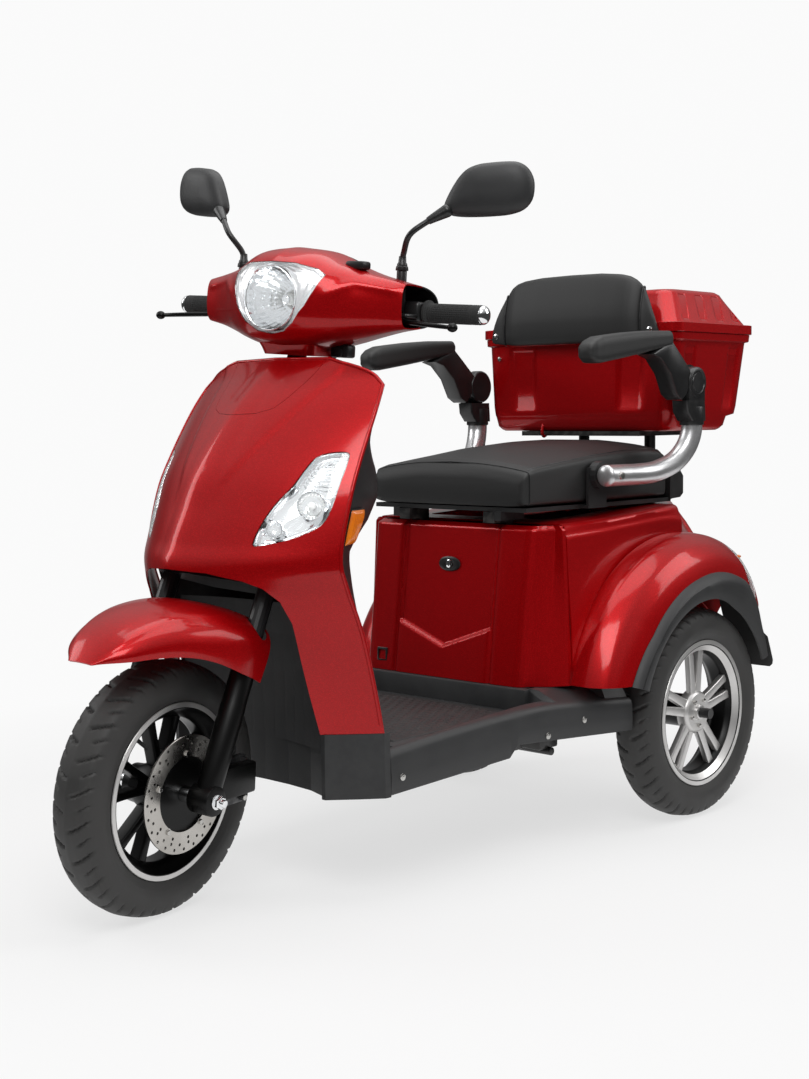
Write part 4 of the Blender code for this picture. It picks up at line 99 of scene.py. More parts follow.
@dataclass(frozen=True)
class Layout:
    """Where the frame's main points are, as modelled straight ahead."""

    shift: tuple[float, float, float] = (-0.00101638, 0.01558554, 0.0)
    rake: float = math.radians(23.0)
    turned: float = math.radians(10.6)
    axle_lead: float = 0.030
    front_y: float = -0.620
    rear_y: float = 0.475
    rear_x: float = 0.286
    tyre_radius: float = 0.205
    tyre_width: float = 0.084
    rim_radius: float = 0.142
    rim_width: float = 0.072
    leg_offset: float = 0.100

    @property
    def up(self) -> Vector:
        """Direction of the steering axis."""
        return Vector((0.0, math.sin(self.rake), math.cos(self.rake)))

    @property
    def ahead(self) -> Vector:
        """Direction forwards, square to the steering axis."""
        return Vector((0.0, -math.cos(self.rake), math.sin(self.rake)))

    @property
    def front_axle(self) -> Vector:
        """Middle of the front axle."""
        return Vector((0.0, self.front_y, self.tyre_radius))

    def steer_point(self, x: float, ahead: float, up: float) -> Vector:
        """Return a point given across, ahead of and up along the steering axis."""
        origin = self.front_axle - self.ahead * self.axle_lead
        return origin + Vector((x, 0.0, 0.0)) + self.ahead * ahead + self.up * up

    def placing(self, steered: bool) -> Matrix:
        """Return the move from modelled straight ahead to the frame.

        Args:
            steered: True for a piece on the steering.

        Returns:
            The move.
        """
        move = Matrix.Translation(Vector(self.shift))
        if not steered:
            return move
        pivot = self.steer_point(0.0, 0.0, 0.0)
        turn = Matrix.Rotation(self.turned, 4, self.up)
        return move @ Matrix.Translation(pivot) @ turn @ Matrix.Translation(-pivot)


LAYOUT = Layout()
FAR_BEHIND = Vector((0.0, 5.0, 0.6))
BODY_HEART = Vector((0.0, 0.35, 0.30))


def smooth_route(points: Sequence[Point], steps: int) -> list[Vector]:
    """Return points along a smooth curve through the given ones.

    Args:
        points: the points that the curve passes through.
        steps: points for each stretch.

    Returns:
        The curve's points, both ends included.
    """
    given = [Vector(point) for point in points]
    padded = [given[0] * 2 - given[1]] + given + [given[-1] * 2 - given[-2]]
    route = []
    for a, b, c, d in zip(padded, padded[1:], padded[2:], padded[3:]):
        for k in range(steps):
            t = k / steps
            route.append(0.5 * (2 * b + (c - a) * t + (2 * a - 5 * b + 4 * c - d) * t * t
                                + (3 * b - a - 3 * c + d) * t ** 3))
    return route + [given[-1]]


class Knots:
    """Levels along a line, read along straight stretches or a smooth curve."""

    def __init__(self, *pairs: tuple[float, float]) -> None:
        """Keep the levels, and the smooth curve through them.

        Args:
            pairs: places along the line, each with its level.
        """
        self.places = np.array([place for place, _ in pairs])
        self.levels = np.array([level for _, level in pairs])
        curve = smooth_route([(place, level, 0.0) for place, level in pairs], 16)
        self.curve_places = np.array([point.x for point in curve])
        self.curve_levels = np.array([point.y for point in curve])

    def straight(self, place: float) -> float:
        """Return the level at a place, along straight stretches."""
        return float(np.interp(place, self.places, self.levels))

    def smooth(self, place: float) -> float:
        """Return the level at a place, along the smooth curve."""
        return float(np.interp(place, self.curve_places, self.curve_levels))


def walked(points: Outline, share: float) -> tuple[float, float]:
    """Return the point at a share of a broken line's length.

    Args:
        points: the line's corners.
        share: 0 at its start to 1 at its end.

    Returns:
        The point.
    """
    lengths = [0.0]
    for (ax, ay), (bx, by) in zip(points, points[1:]):
        lengths.append(lengths[-1] + math.hypot(bx - ax, by - ay))
    place = share * lengths[-1]
    return (float(np.interp(place, lengths, [point[0] for point in points])),
            float(np.interp(place, lengths, [point[1] for point in points])))


def table_row(rows: Sequence[Sequence[float]], place: float) -> list[float]:
    """Return the three levels that a table of places and levels has at a place.

    Args:
        rows: places in rising order, each with its three levels.
        place: where the levels are read.

    Returns:
        The levels, along straight stretches.
    """
    table = np.array(rows)
    return [float(np.interp(place, table[:, 0], table[:, column])) for column in (1, 2, 3)]


def about_axle(x: float, angle: float, radius: float) -> Vector:
    """Return a point given by its place along the X axis, and by angle and radius round it."""
    return Vector((x, math.cos(angle) * radius, math.sin(angle) * radius))


def step(low: float, high: float, value: float) -> float:
    """Return a soft step from 0 at low to 1 at high."""
    share = max(0.0, min(1.0, (value - low) / (high - low)))
    return share * share * (3.0 - 2.0 * share)


def signed_power(value: float, power: float) -> float:
    """Return the value's size to a power, with its sign kept."""
    return math.copysign(abs(value) ** power, value)


def grown(outline: Outline, margin: float) -> list[tuple[float, float]]:
    """Return an outline moved outwards by a margin.

    Args:
        outline: a closed outline.
        margin: how far it grows, or shrinks where it is negative.

    Returns:
        The moved outline.
    """
    count = len(outline)
    area = sum(outline[i - 1][0] * outline[i][1] - outline[i][0] * outline[i - 1][1] for i in range(count))
    turn = math.copysign(1.0, area)
    moved = []
    for i in range(count):
        before, here, after = Vector(outline[i - 1]), Vector(outline[i]), Vector(outline[(i + 1) % count])
        first = Vector((here.y - before.y, before.x - here.x)).normalized() * turn
        second = Vector((after.y - here.y, here.x - after.x)).normalized() * turn
        out = (first + second).normalized()
        reach = margin / max(0.5, out.dot(first))
        moved.append((here.x + out.x * reach, here.y + out.y * reach))
    return moved


def flowing(outline: Outline, steps: int = 4) -> list[tuple[float, float]]:
    """Return a closed outline rounded through its own points.

    Args:
        outline: a closed outline.
        steps: points for each stretch.

    Returns:
        The rounded outline.
    """
    count = len(outline)
    pads = [(*outline[i % count], 0.0) for i in range(-1, count + 2)]
    route = smooth_route(pads, steps)[steps:-steps - 1]
    return [(point.x, point.y) for point in route]


def both_sides(half: Outline) -> list[tuple[float, float]]:
    """Complete an outline that is given for its left half."""
    return list(half) + [(-x, z) for x, z in reversed(half) if x > 0]


def mirrored(outline: Outline) -> list[tuple[float, float]]:
    """Return an outline on the other side."""
    return [(-x, z) for x, z in reversed(outline)]


def rounded_rectangle(half_x: float, low_y: float, high_y: float, radius: float,
                      steps: int = 8) -> list[tuple[float, float]]:
    """Return a rounded rectangle of (x, y) points, anticlockwise.

    Args:
        half_x: half its width.
        low_y: its lower edge.
        high_y: its upper edge.
        radius: radius of its corners.
        steps: stretches in each corner.

    Returns:
        The outline's points.
    """
    outline = []
    corners = ((half_x, high_y, 0), (-half_x, high_y, 1), (-half_x, low_y, 2), (half_x, low_y, 3))
    for x, y, quarter in corners:
        middle_x = x - math.copysign(radius, x)
        middle_y = y - radius if y == high_y else y + radius
        for k in range(steps + 1):
            angle = math.pi / 2 * (quarter + k / steps)
            outline.append((middle_x + radius * math.cos(angle), middle_y + radius * math.sin(angle)))
    return outline


class Blank:
    """One mesh being shaped, from its first operator to the finished form."""

    def __init__(self) -> None:
        """Start with an empty mesh."""
        self.mesh = bmesh.new()

    def sheet(self, surface: Surface, columns: int, rows: int) -> "Blank":
        """Bend a flat grid onto a surface.

        Args:
            surface: gives the point at two shares from 0 to 1, across and up.
            columns: faces across.
            rows: faces up.

        Returns:
            This blank.
        """
        made = bmesh.ops.create_grid(self.mesh, x_segments=columns, y_segments=rows, size=0.5)
        for vertex in made["verts"]:
            vertex.co = surface(vertex.co.x + 0.5, vertex.co.y + 0.5)
        return self

    def prism(self, outline: Outline, low: float, high: float, axis: str = "y", soft: float = 0.0) -> "Blank":
        """Raise a flat outline along an axis, with its rims rounded by a width.

        Args:
            outline: points in the plane across the axis.
            low: where it starts along the axis.
            high: where it ends.
            axis: x, y or z.
            soft: width of its rounded rims, or 0.

        Returns:
            This blank.
        """
        def lay(a: float, b: float, along: float) -> Vector:
            """Return a point from two places across the axis and one along it."""
            places = {"x": (along, a, b), "y": (a, along, b), "z": (a, b, along)}
            return Vector(places[axis])
        face = self.mesh.faces.new([self.mesh.verts.new(lay(a, b, low)) for a, b in outline])
        made = bmesh.ops.extrude_face_region(self.mesh, geom=[face])["geom"]
        tops = [part for part in made if isinstance(part, bmesh.types.BMVert)]
        bmesh.ops.translate(self.mesh, verts=tops, vec=lay(0.0, 0.0, high - low))
        if soft:
            caps = {edge for edge in self.mesh.edges if all(v in tops for v in edge.verts)}
            caps |= set(face.edges) if face.is_valid else set()
            self.soften(list(caps), soft)
        return self

    def soften(self, edges: Sequence[bmesh.types.BMEdge], width: float, segments: int = 2) -> "Blank":
        """Round some edges.

        Args:
            edges: the edges.
            width: width of the rounding.
            segments: faces across it.

        Returns:
            This blank.
        """
        bmesh.ops.bevel(self.mesh, geom=list(edges), offset=width, affect="EDGES", segments=segments,
                        profile=0.5, material=-1, clamp_overlap=True)
        return self

    def block(self, low: Point, high: Point, soft: float = 0.0, placing: Optional[Matrix] = None) -> "Blank":
        """Add a box between two corners, its edges rounded by a width.

        Args:
            low: its lowest corner.
            high: its highest corner.
            soft: width of its rounded edges, or 0.
            placing: a move given to the box.

        Returns:
            This blank.
        """
        low, high = Vector(low), Vector(high)
        place = Matrix.Translation((low + high) / 2) @ Matrix.Diagonal((*(high - low), 1.0))
        made = bmesh.ops.create_cube(self.mesh, size=1.0, matrix=(placing or Matrix.Identity(4)) @ place)
        if soft:
            self.soften({edge for vertex in made["verts"] for edge in vertex.link_edges}, soft)
        return self

    def bar(self, start: Point, end: Point, radius: float, end_radius: Optional[float] = None,
            steps: int = 28, soft: float = 0.0) -> "Blank":
        """Add a round bar, or a cone, from one point to another, its rims rounded by a width.

        Args:
            start: middle of one end.
            end: middle of the other end.
            radius: its radius.
            end_radius: radius of the other end, where it differs.
            steps: faces round it.
            soft: width of its rounded rims, or 0.

        Returns:
            This blank.
        """
        start, end = Vector(start), Vector(end)
        turn = (end - start).to_track_quat("Z", "Y").to_matrix().to_4x4()
        far = radius if end_radius is None else end_radius
        made = bmesh.ops.create_cone(self.mesh, cap_ends=True, segments=steps, radius1=radius, radius2=far,
                                     depth=(end - start).length,
                                     matrix=Matrix.Translation((start + end) / 2) @ turn)
        if soft:
            edges = {edge for vertex in made["verts"] for edge in vertex.link_edges}
            self.soften([edge for edge in edges if any(len(face.verts) > 4 for face in edge.link_faces)],
                        soft)
        return self

    def ball(self, centre: Point, radius: float, scale: Point = (1.0, 1.0, 1.0), steps: int = 24) -> "Blank":
        """Add a ball, or an ellipsoid.

        Args:
            centre: its middle.
            radius: its radius.
            scale: stretch along each axis.
            steps: faces round it.

        Returns:
            This blank.
        """
        place = Matrix.Translation(Vector(centre)) @ Matrix.Diagonal((*scale, 1.0))
        bmesh.ops.create_uvsphere(self.mesh, u_segments=steps, v_segments=steps // 2, radius=radius,
                                  matrix=place)
        return self

    def spin(self, profile: Outline, centre: Point, axis: Point = (1.0, 0.0, 0.0), steps: int = 64,
             closed: bool = False) -> "Blank":
        """Turn a profile of (along, radius) points about an axis through a centre.

        Args:
            profile: points, each a place along the axis and a radius.
            centre: a point on the axis.
            axis: direction of the axis.
            steps: faces round it.
            closed: True to join the profile's ends.

        Returns:
            This blank.
        """
        centre, axis = Vector(centre), Vector(axis).normalized()
        side = axis.orthogonal().normalized()
        dots = [self.mesh.verts.new(centre + axis * along + side * radius) for along, radius in profile]
        edges = [self.mesh.edges.new(pair) for pair in zip(dots, dots[1:])]
        if closed:
            edges.append(self.mesh.edges.new((dots[-1], dots[0])))
        bmesh.ops.spin(self.mesh, geom=dots + edges, cent=centre, axis=axis, dvec=(0.0, 0.0, 0.0),
                       angle=2 * math.pi, steps=steps, use_merge=True, use_duplicate=False)
        return self.weld()

    def tube(self, route: Sequence[Point], radius: Union[float, Callable[[float], float]],
             sides: int = 16) -> "Blank":
        """Add a round tube along a route, its radius plain or given along it from 0 to 1.

        Args:
            route: points along its middle.
            radius: its radius, or a rule that gives it.
            sides: faces round it.

        Returns:
            This blank.
        """
        points = [Vector(point) for point in route]
        last = len(points) - 1
        lines = [(points[min(i + 1, last)] - points[max(i - 1, 0)]).normalized() for i in range(last + 1)]
        side = lines[0].orthogonal().normalized()
        frames = []
        for i, (place, line) in enumerate(zip(points, lines)):
            side = (side - line * side.dot(line)).normalized()
            size = radius(i / last) if callable(radius) else radius
            turn = Matrix((side, line.cross(side), line)).transposed().to_4x4()
            frames.append(Matrix.Translation(place) @ turn @ Matrix.Scale(max(size, 1e-5), 4))
        made = bmesh.ops.create_circle(self.mesh, cap_ends=True, segments=sides, radius=1.0, matrix=frames[0])
        cap = next(face for face in made["verts"][0].link_faces)
        for near, far in zip(frames, frames[1:]):
            made = bmesh.ops.extrude_face_region(self.mesh, geom=[cap])["geom"]
            ring = [part for part in made if isinstance(part, bmesh.types.BMVert)]
            cap = next(part for part in made if isinstance(part, bmesh.types.BMFace))
            bmesh.ops.transform(self.mesh, matrix=far @ near.inverted(), verts=ring)
        return self

    def loft(self, rings: Sequence[Sequence[Point]], caps: bool = True, closed: bool = True) -> "Blank":
        """Join rings of points, one after another, into a skin.

        Args:
            rings: the rings, each with as many points as the others.
            caps: True to fill the first and the last ring.
            closed: False where each ring is an open row.

        Returns:
            This blank.
        """
        count, last = len(rings[0]), len(rings) - 1
        known = set(self.mesh.verts)
        columns = count if closed else count - 1

        def surface(u: float, v: float) -> Vector:
            """Return the point at two shares of the sheet."""
            return Vector(rings[round(v * last)][round(u * columns) % count])
        self.sheet(surface, columns, last)
        fresh = [vertex for vertex in self.mesh.verts if vertex not in known]
        bmesh.ops.remove_doubles(self.mesh, verts=fresh, dist=1e-6)
        if caps:
            fresh = [vertex for vertex in self.mesh.verts if vertex not in known]
            edges = {edge for vertex in fresh for edge in vertex.link_edges if edge.is_boundary}
            bmesh.ops.holes_fill(self.mesh, edges=list(edges), sides=0)
        return self

    def weld(self, distance: float = 2e-5) -> "Blank":
        """Merge points that lie on each other."""
        bmesh.ops.remove_doubles(self.mesh, verts=self.mesh.verts, dist=distance)
        return self

    def outwards(self) -> "Blank":
        """Turn the faces of closed forms outwards."""
        bmesh.ops.recalc_face_normals(self.mesh, faces=self.mesh.faces)
        return self

    def facing_away(self, inside: Vector) -> "Blank":
        """Turn the faces of an open sheet so that they look away from a point.

        Args:
            inside: a point behind the sheet.

        Returns:
            This blank.
        """
        bmesh.ops.recalc_face_normals(self.mesh, faces=self.mesh.faces)
        look = sum(face.normal.dot(face.calc_center_median() - inside) * face.calc_area()
                   for face in self.mesh.faces)
        if look < 0:
            bmesh.ops.reverse_faces(self.mesh, faces=self.mesh.faces)
        return self

    def move(self, mover: Callable[[Vector], Vector]) -> "Blank":
        """Move every point by a rule.

        Args:
            mover: the move, given to every point.

        Returns:
            This blank.
        """
        for vertex in self.mesh.verts:
            vertex.co = mover(vertex.co.copy())
        return self


class Texture(Enum):
    """How the surface of a finish feels."""

    GRAIN = "grain"
    FLAKE = "flake"
    HIDE = "hide"
    BRUSHED = "brushed"
    RINGS = "rings"


class Wiring:
    """The nodes of one material or effect."""

    def __init__(self, tree: bpy.types.NodeTree) -> None:
        """Keep the node tree."""
        self.tree = tree

    def node(self, kind: str, inputs: Optional[dict] = None, **settings: object) -> bpy.types.Node:
        """Add a node, set it, and give or join its inputs.

        Args:
            kind: type of the node.
            inputs: values or sockets, by input.
            settings: the node's own settings.

        Returns:
            The node.
        """
        made = self.tree.nodes.new(kind)
        for name, value in settings.items():
            setattr(made, name, value)
        for name, value in (inputs or {}).items():
            if isinstance(value, bpy.types.NodeSocket):
                self.tree.links.new(value, made.inputs[name])
            else:
                made.inputs[name].default_value = value
        return made

    def ranged(self, value: bpy.types.NodeSocket, low: object, high: object, to_low: float = 0.0,
               to_high: float = 1.0) -> bpy.types.NodeSocket:
        """Return a value moved from one range to another, and held in it."""
        return self.node("ShaderNodeMapRange", {"Value": value, "From Min": low, "From Max": high,
                                                "To Min": to_low, "To Max": to_high}).outputs["Result"]

    def times(self, first: object, second: object) -> bpy.types.NodeSocket:
        """Return the product of two values."""
        return self.node("ShaderNodeMath", {0: first, 1: second}, operation="MULTIPLY").outputs[0]

    def noise(self, scale: object, detail: float = 2.0, where: object = None) -> bpy.types.NodeSocket:
        """Return noise from 0 to 1 over the object's own coordinates."""
        spot = where or self.node("ShaderNodeTexCoord").outputs["Object"]
        return self.node("ShaderNodeTexNoise",
                         {"Vector": spot, "Scale": scale, "Detail": detail}).outputs["Fac"]


class Effects:
    """Shared effects, each a node group that is built on first use."""

    @staticmethod
    def group(name: str, inputs: Sequence[str], output: str,
              wire: Callable[[Wiring, bpy.types.Node], bpy.types.NodeSocket]) -> bpy.types.NodeTree:
        """Return the effect with this name.

        Args:
            name: the effect's name.
            inputs: names of its number inputs.
            output: name of the value that it puts out.
            wire: joins the nodes, and returns the socket that goes out.

        Returns:
            The effect.
        """
        found = bpy.data.node_groups.get(name)
        if found:
            return found
        tree = bpy.data.node_groups.new(name, "ShaderNodeTree")
        for label in inputs:
            kind = "NodeSocketVector" if label == "Vector" else "NodeSocketFloat"
            tree.interface.new_socket(name=label, in_out="INPUT", socket_type=kind)
        tree.interface.new_socket(name=output, in_out="OUTPUT", socket_type="NodeSocketFloat")
        wiring = Wiring(tree)
        entry = wiring.node("NodeGroupInput")
        wiring.node("NodeGroupOutput", {output: wire(wiring, entry)})
        return tree

    @classmethod
    def mottle(cls) -> bpy.types.NodeTree:
        """Cloudy change over the surface.

        Returns:
            The effect.
        """
        def wire(wiring: Wiring, entry: bpy.types.Node) -> bpy.types.NodeSocket:
            """Join the nodes of the effect."""
            return wiring.ranged(wiring.noise(entry.outputs["Scale"], 4.0), 0.34, 0.66)
        return cls.group("mottle", ["Scale"], "Mask", wire)

    @classmethod
    def grain(cls) -> bpy.types.NodeTree:
        """Fine spark-eroded grain of moulded plastic and rubber.

        Returns:
            The effect.
        """
        def wire(wiring: Wiring, entry: bpy.types.Node) -> bpy.types.NodeSocket:
            """Join the nodes of the effect."""
            spot = wiring.node("ShaderNodeTexCoord").outputs["Object"]
            cell = wiring.node("ShaderNodeTexVoronoi", {"Vector": spot, "Scale": entry.outputs["Scale"]},
                               feature="SMOOTH_F1")
            rough = wiring.noise(wiring.times(entry.outputs["Scale"], 0.6), 3.0, spot)
            return wiring.node("ShaderNodeMath", {0: cell.outputs["Distance"], 1: rough},
                               operation="ADD").outputs[0]
        return cls.group("moulded grain", ["Scale"], "Height", wire)

    @classmethod
    def flake(cls) -> bpy.types.NodeTree:
        """Metal flakes in lacquer, each with its own brightness.

        Returns:
            The effect.
        """
        def wire(wiring: Wiring, entry: bpy.types.Node) -> bpy.types.NodeSocket:
            """Join the nodes of the effect."""
            spot = wiring.node("ShaderNodeTexCoord").outputs["Object"]
            cell = wiring.node("ShaderNodeTexVoronoi", {"Vector": spot, "Scale": entry.outputs["Scale"]})
            return wiring.node("ShaderNodeSeparateColor", {"Color": cell.outputs["Color"]}).outputs["Red"]
        return cls.group("metal flake", ["Scale"], "Mask", wire)

    @classmethod
    def hide(cls) -> bpy.types.NodeTree:
        """Pebbled grain of leatherette, with its fine creases.

        Returns:
            The effect.
        """
        def wire(wiring: Wiring, entry: bpy.types.Node) -> bpy.types.NodeSocket:
            """Join the nodes of the effect."""
            spot = wiring.node("ShaderNodeTexCoord").outputs["Object"]
            bent = wiring.node("ShaderNodeTexNoise",
                               {"Vector": spot, "Scale": wiring.times(entry.outputs["Scale"], 0.4)})
            sway = wiring.node("ShaderNodeVectorMath",
                               {0: bent.outputs["Color"], 1: (0.0016, 0.0016, 0.0016)}, operation="MULTIPLY")
            place = wiring.node("ShaderNodeVectorMath", {0: spot, 1: sway.outputs[0]}, operation="ADD")
            cell = wiring.node("ShaderNodeTexVoronoi",
                               {"Vector": place.outputs[0], "Scale": entry.outputs["Scale"]},
                               feature="DISTANCE_TO_EDGE")
            return wiring.ranged(cell.outputs["Distance"], 0.0, 0.22)
        return cls.group("hide grain", ["Scale"], "Height", wire)

    @classmethod
    def wear(cls) -> bpy.types.NodeTree:
        """Rubbed edges.

        Returns:
            The effect.
        """
        def wire(wiring: Wiring, entry: bpy.types.Node) -> bpy.types.NodeSocket:
            """Join the nodes of the effect."""
            edge = wiring.node("ShaderNodeNewGeometry").outputs["Pointiness"]
            rubbed = wiring.ranged(edge, 0.53, 0.62)
            patch = wiring.ranged(wiring.noise(entry.outputs["Scale"], 3.0), 0.40, 0.62)
            return wiring.times(wiring.times(rubbed, patch), entry.outputs["Amount"])
        return cls.group("edge wear", ["Amount", "Scale"], "Mask", wire)

    @classmethod
    def dust(cls) -> bpy.types.NodeTree:
        """Dust that has settled on what looks up.

        Returns:
            The effect.
        """
        def wire(wiring: Wiring, entry: bpy.types.Node) -> bpy.types.NodeSocket:
            """Join the nodes of the effect."""
            normal = wiring.node("ShaderNodeNewGeometry").outputs["Normal"]
            lift = wiring.node("ShaderNodeSeparateXYZ", {"Vector": normal}).outputs["Z"]
            cloud = wiring.ranged(wiring.noise(entry.outputs["Scale"], 5.0), 0.35, 0.75)
            return wiring.times(wiring.times(wiring.ranged(lift, 0.2, 1.0, 0.25, 1.0), cloud),
                                entry.outputs["Amount"])
        return cls.group("settled dust", ["Amount", "Scale"], "Mask", wire)

    @classmethod
    def brushed(cls) -> bpy.types.NodeTree:
        """Fine drawn lines along one direction.

        Returns:
            The effect.
        """
        def wire(wiring: Wiring, entry: bpy.types.Node) -> bpy.types.NodeSocket:
            """Join the nodes of the effect."""
            return wiring.noise(entry.outputs["Scale"], 2.0, entry.outputs["Vector"])
        return cls.group("drawn lines", ["Vector", "Scale"], "Height", wire)

    @classmethod
    def rings(cls) -> bpy.types.NodeTree:
        """Lathe rings round a wheel's axle.

        Returns:
            The effect.
        """
        def wire(wiring: Wiring, entry: bpy.types.Node) -> bpy.types.NodeSocket:
            """Join the nodes of the effect."""
            parts = wiring.node("ShaderNodeSeparateXYZ", {"Vector": entry.outputs["Vector"]})
            flat = wiring.node("ShaderNodeCombineXYZ", {"Y": parts.outputs["Y"], "Z": parts.outputs["Z"]})
            reach = wiring.node("ShaderNodeVectorMath", {0: flat.outputs[0]},
                                operation="LENGTH").outputs["Value"]
            spot = wiring.node("ShaderNodeCombineXYZ", {"X": reach}).outputs[0]
            return wiring.noise(entry.outputs["Scale"], 3.0, spot)
        return cls.group("lathe rings", ["Vector", "Scale"], "Height", wire)


@dataclass(frozen=True)
class Finish:
    """One finish of the scooter, and how its material is made.

    Lengths are in metres: scale is the number of grains in a metre, and depth the height of the grain.
    """

    name: str
    slot: str
    colour: Colour
    roughness: float
    metallic: float = 0.0
    texture: Texture = Texture.GRAIN
    scale: float = 1400.0
    depth: float = 0.00004
    second: Optional[Colour] = None
    cloud: float = 18.0
    spread: float = 0.06
    coat: float = 0.0
    worn: Optional[Colour] = None
    wear: float = 0.5
    dust: float = 0.0
    dust_colour: Colour = (0.20, 0.18, 0.155)
    clear: float = 0.0
    sheen: float = 0.0
    specular: float = 0.5
    stretch: Point = (1.0, 1.0, 1.0)
    coat_roughness: float = 0.10
    bending: float = 1.49
    shade: float = 0.12
    wear_scale: float = 70.0
    dust_scale: float = 26.0
    peel_scale: float = 160.0

    def material(self, centre: Optional[Point] = None, turn: float = 0.0) -> bpy.types.Material:
        """Return the finish's material, made on first use.

        Args:
            centre: the point in the frame that its pattern runs round.
            turn: the pattern's turn about the vertical, in radians.

        Returns:
            The material.
        """
        name = self.name if centre is None else "%s_%d_%d" % (self.name, centre[0] * 100, centre[1] * 100)
        found = bpy.data.materials.get(name)
        if found:
            return found
        made = bpy.data.materials.new(name)
        made.use_nodes = True
        made.diffuse_color = (*self.colour, 1.0)
        wiring = Wiring(made.node_tree)
        shader = made.node_tree.nodes["Principled BSDF"]
        for socket, value in {"Base Color": (*self.colour, 1.0), "Metallic": self.metallic,
                              "Coat Weight": self.coat, "Coat Roughness": self.coat_roughness,
                              "Transmission Weight": self.clear, "IOR": self.bending,
                              "Sheen Weight": self.sheen, "Specular IOR Level": self.specular}.items():
            shader.inputs[socket].default_value = value
        self.colour_nodes(wiring, shader)
        self.surface_nodes(wiring, shader, centre, turn)
        if self.clear:
            shadow = wiring.node("ShaderNodeLightPath").outputs["Is Shadow Ray"]
            wiring.tree.links.new(wiring.ranged(shadow, 0.0, 1.0, 1.0, self.shade), shader.inputs["Alpha"])
        return made

    def effect(self, wiring: Wiring, tree: bpy.types.NodeTree, **inputs: object) -> bpy.types.NodeSocket:
        """Place a shared effect in the material and return what it puts out."""
        return wiring.node("ShaderNodeGroup", inputs, node_tree=tree).outputs[0]

    def mixed(self, wiring: Wiring, mask: bpy.types.NodeSocket, first: object,
              second: Colour) -> bpy.types.NodeSocket:
        """Return one colour mixed with another by a mask.

        Args:
            wiring: the nodes of the material.
            mask: 0 for the first colour, 1 for the second.
            first: a colour, or its socket.
            second: the other colour.

        Returns:
            The socket of the mixed colour.
        """
        mix = wiring.node("ShaderNodeMix", data_type="RGBA")
        colours = [socket for socket in mix.inputs if socket.type == "RGBA"]
        wiring.tree.links.new(mask, mix.inputs[0])
        if isinstance(first, bpy.types.NodeSocket):
            wiring.tree.links.new(first, colours[0])
        else:
            colours[0].default_value = (*first, 1.0)
        colours[1].default_value = (*second, 1.0)
        return next(socket for socket in mix.outputs if socket.type == "RGBA")

    def colour_nodes(self, wiring: Wiring, shader: bpy.types.Node) -> None:
        """Join the colour: cloudy second tone, flakes, rubbed edges and dust.

        Args:
            wiring: the nodes of the material.
            shader: the material's main shader.
        """
        colour: object = self.colour
        cloud = self.effect(wiring, Effects.mottle(), Scale=self.cloud)
        if self.second:
            colour = self.mixed(wiring, cloud, colour, self.second)
        if self.texture is Texture.FLAKE:
            flake = self.effect(wiring, Effects.flake(), Scale=self.scale)
            bright = tuple(min(1.0, channel * 1.7 + 0.004) for channel in self.colour)
            colour = self.mixed(wiring, wiring.ranged(flake, 0.55, 1.0, 0.0, 0.8), colour, bright)
        if self.worn:
            rubbed = self.effect(wiring, Effects.wear(), Amount=self.wear, Scale=self.wear_scale)
            colour = self.mixed(wiring, rubbed, colour, self.worn)
        if self.dust:
            settled = self.effect(wiring, Effects.dust(), Amount=self.dust, Scale=self.dust_scale)
            colour = self.mixed(wiring, settled, colour, self.dust_colour)
        if isinstance(colour, bpy.types.NodeSocket):
            wiring.tree.links.new(colour, shader.inputs["Base Color"])
        rough = wiring.ranged(cloud, 0.0, 1.0, max(0.0, self.roughness - self.spread / 2),
                              self.roughness + self.spread / 2)
        wiring.tree.links.new(rough, shader.inputs["Roughness"])

    def surface_nodes(self, wiring: Wiring, shader: bpy.types.Node, centre: Optional[Point],
                      turn: float) -> None:
        """Join the relief of the surface.

        Args:
            wiring: the nodes of the material.
            shader: the material's main shader.
            centre: point that the pattern runs round.
            turn: turn of the pattern about the vertical.
        """
        if self.depth <= 0.0:
            return
        if self.texture in (Texture.BRUSHED, Texture.RINGS):
            spot = wiring.node("ShaderNodeTexCoord").outputs["Object"]
            if centre is not None:
                place = wiring.node("ShaderNodeMapping", {"Vector": spot}, vector_type="TEXTURE")
                place.inputs["Location"].default_value = Vector(centre)
                place.inputs["Rotation"].default_value = (0.0, 0.0, turn)
                spot = place.outputs[0]
            spread = wiring.node("ShaderNodeMapping", {"Vector": spot})
            spread.inputs["Scale"].default_value = Vector(self.stretch)
            tree = Effects.brushed() if self.texture is Texture.BRUSHED else Effects.rings()
            height = self.effect(wiring, tree, Vector=spread.outputs[0], Scale=self.scale)
        elif self.texture is Texture.HIDE:
            height = self.effect(wiring, Effects.hide(), Scale=self.scale)
        elif self.texture is Texture.FLAKE:
            height = self.effect(wiring, Effects.mottle(), Scale=self.peel_scale)
        else:
            height = self.effect(wiring, Effects.grain(), Scale=self.scale)
        bump = wiring.node("ShaderNodeBump", {"Height": height, "Distance": self.depth, "Strength": 1.0})
        wiring.tree.links.new(bump.outputs[0], shader.inputs["Normal"])


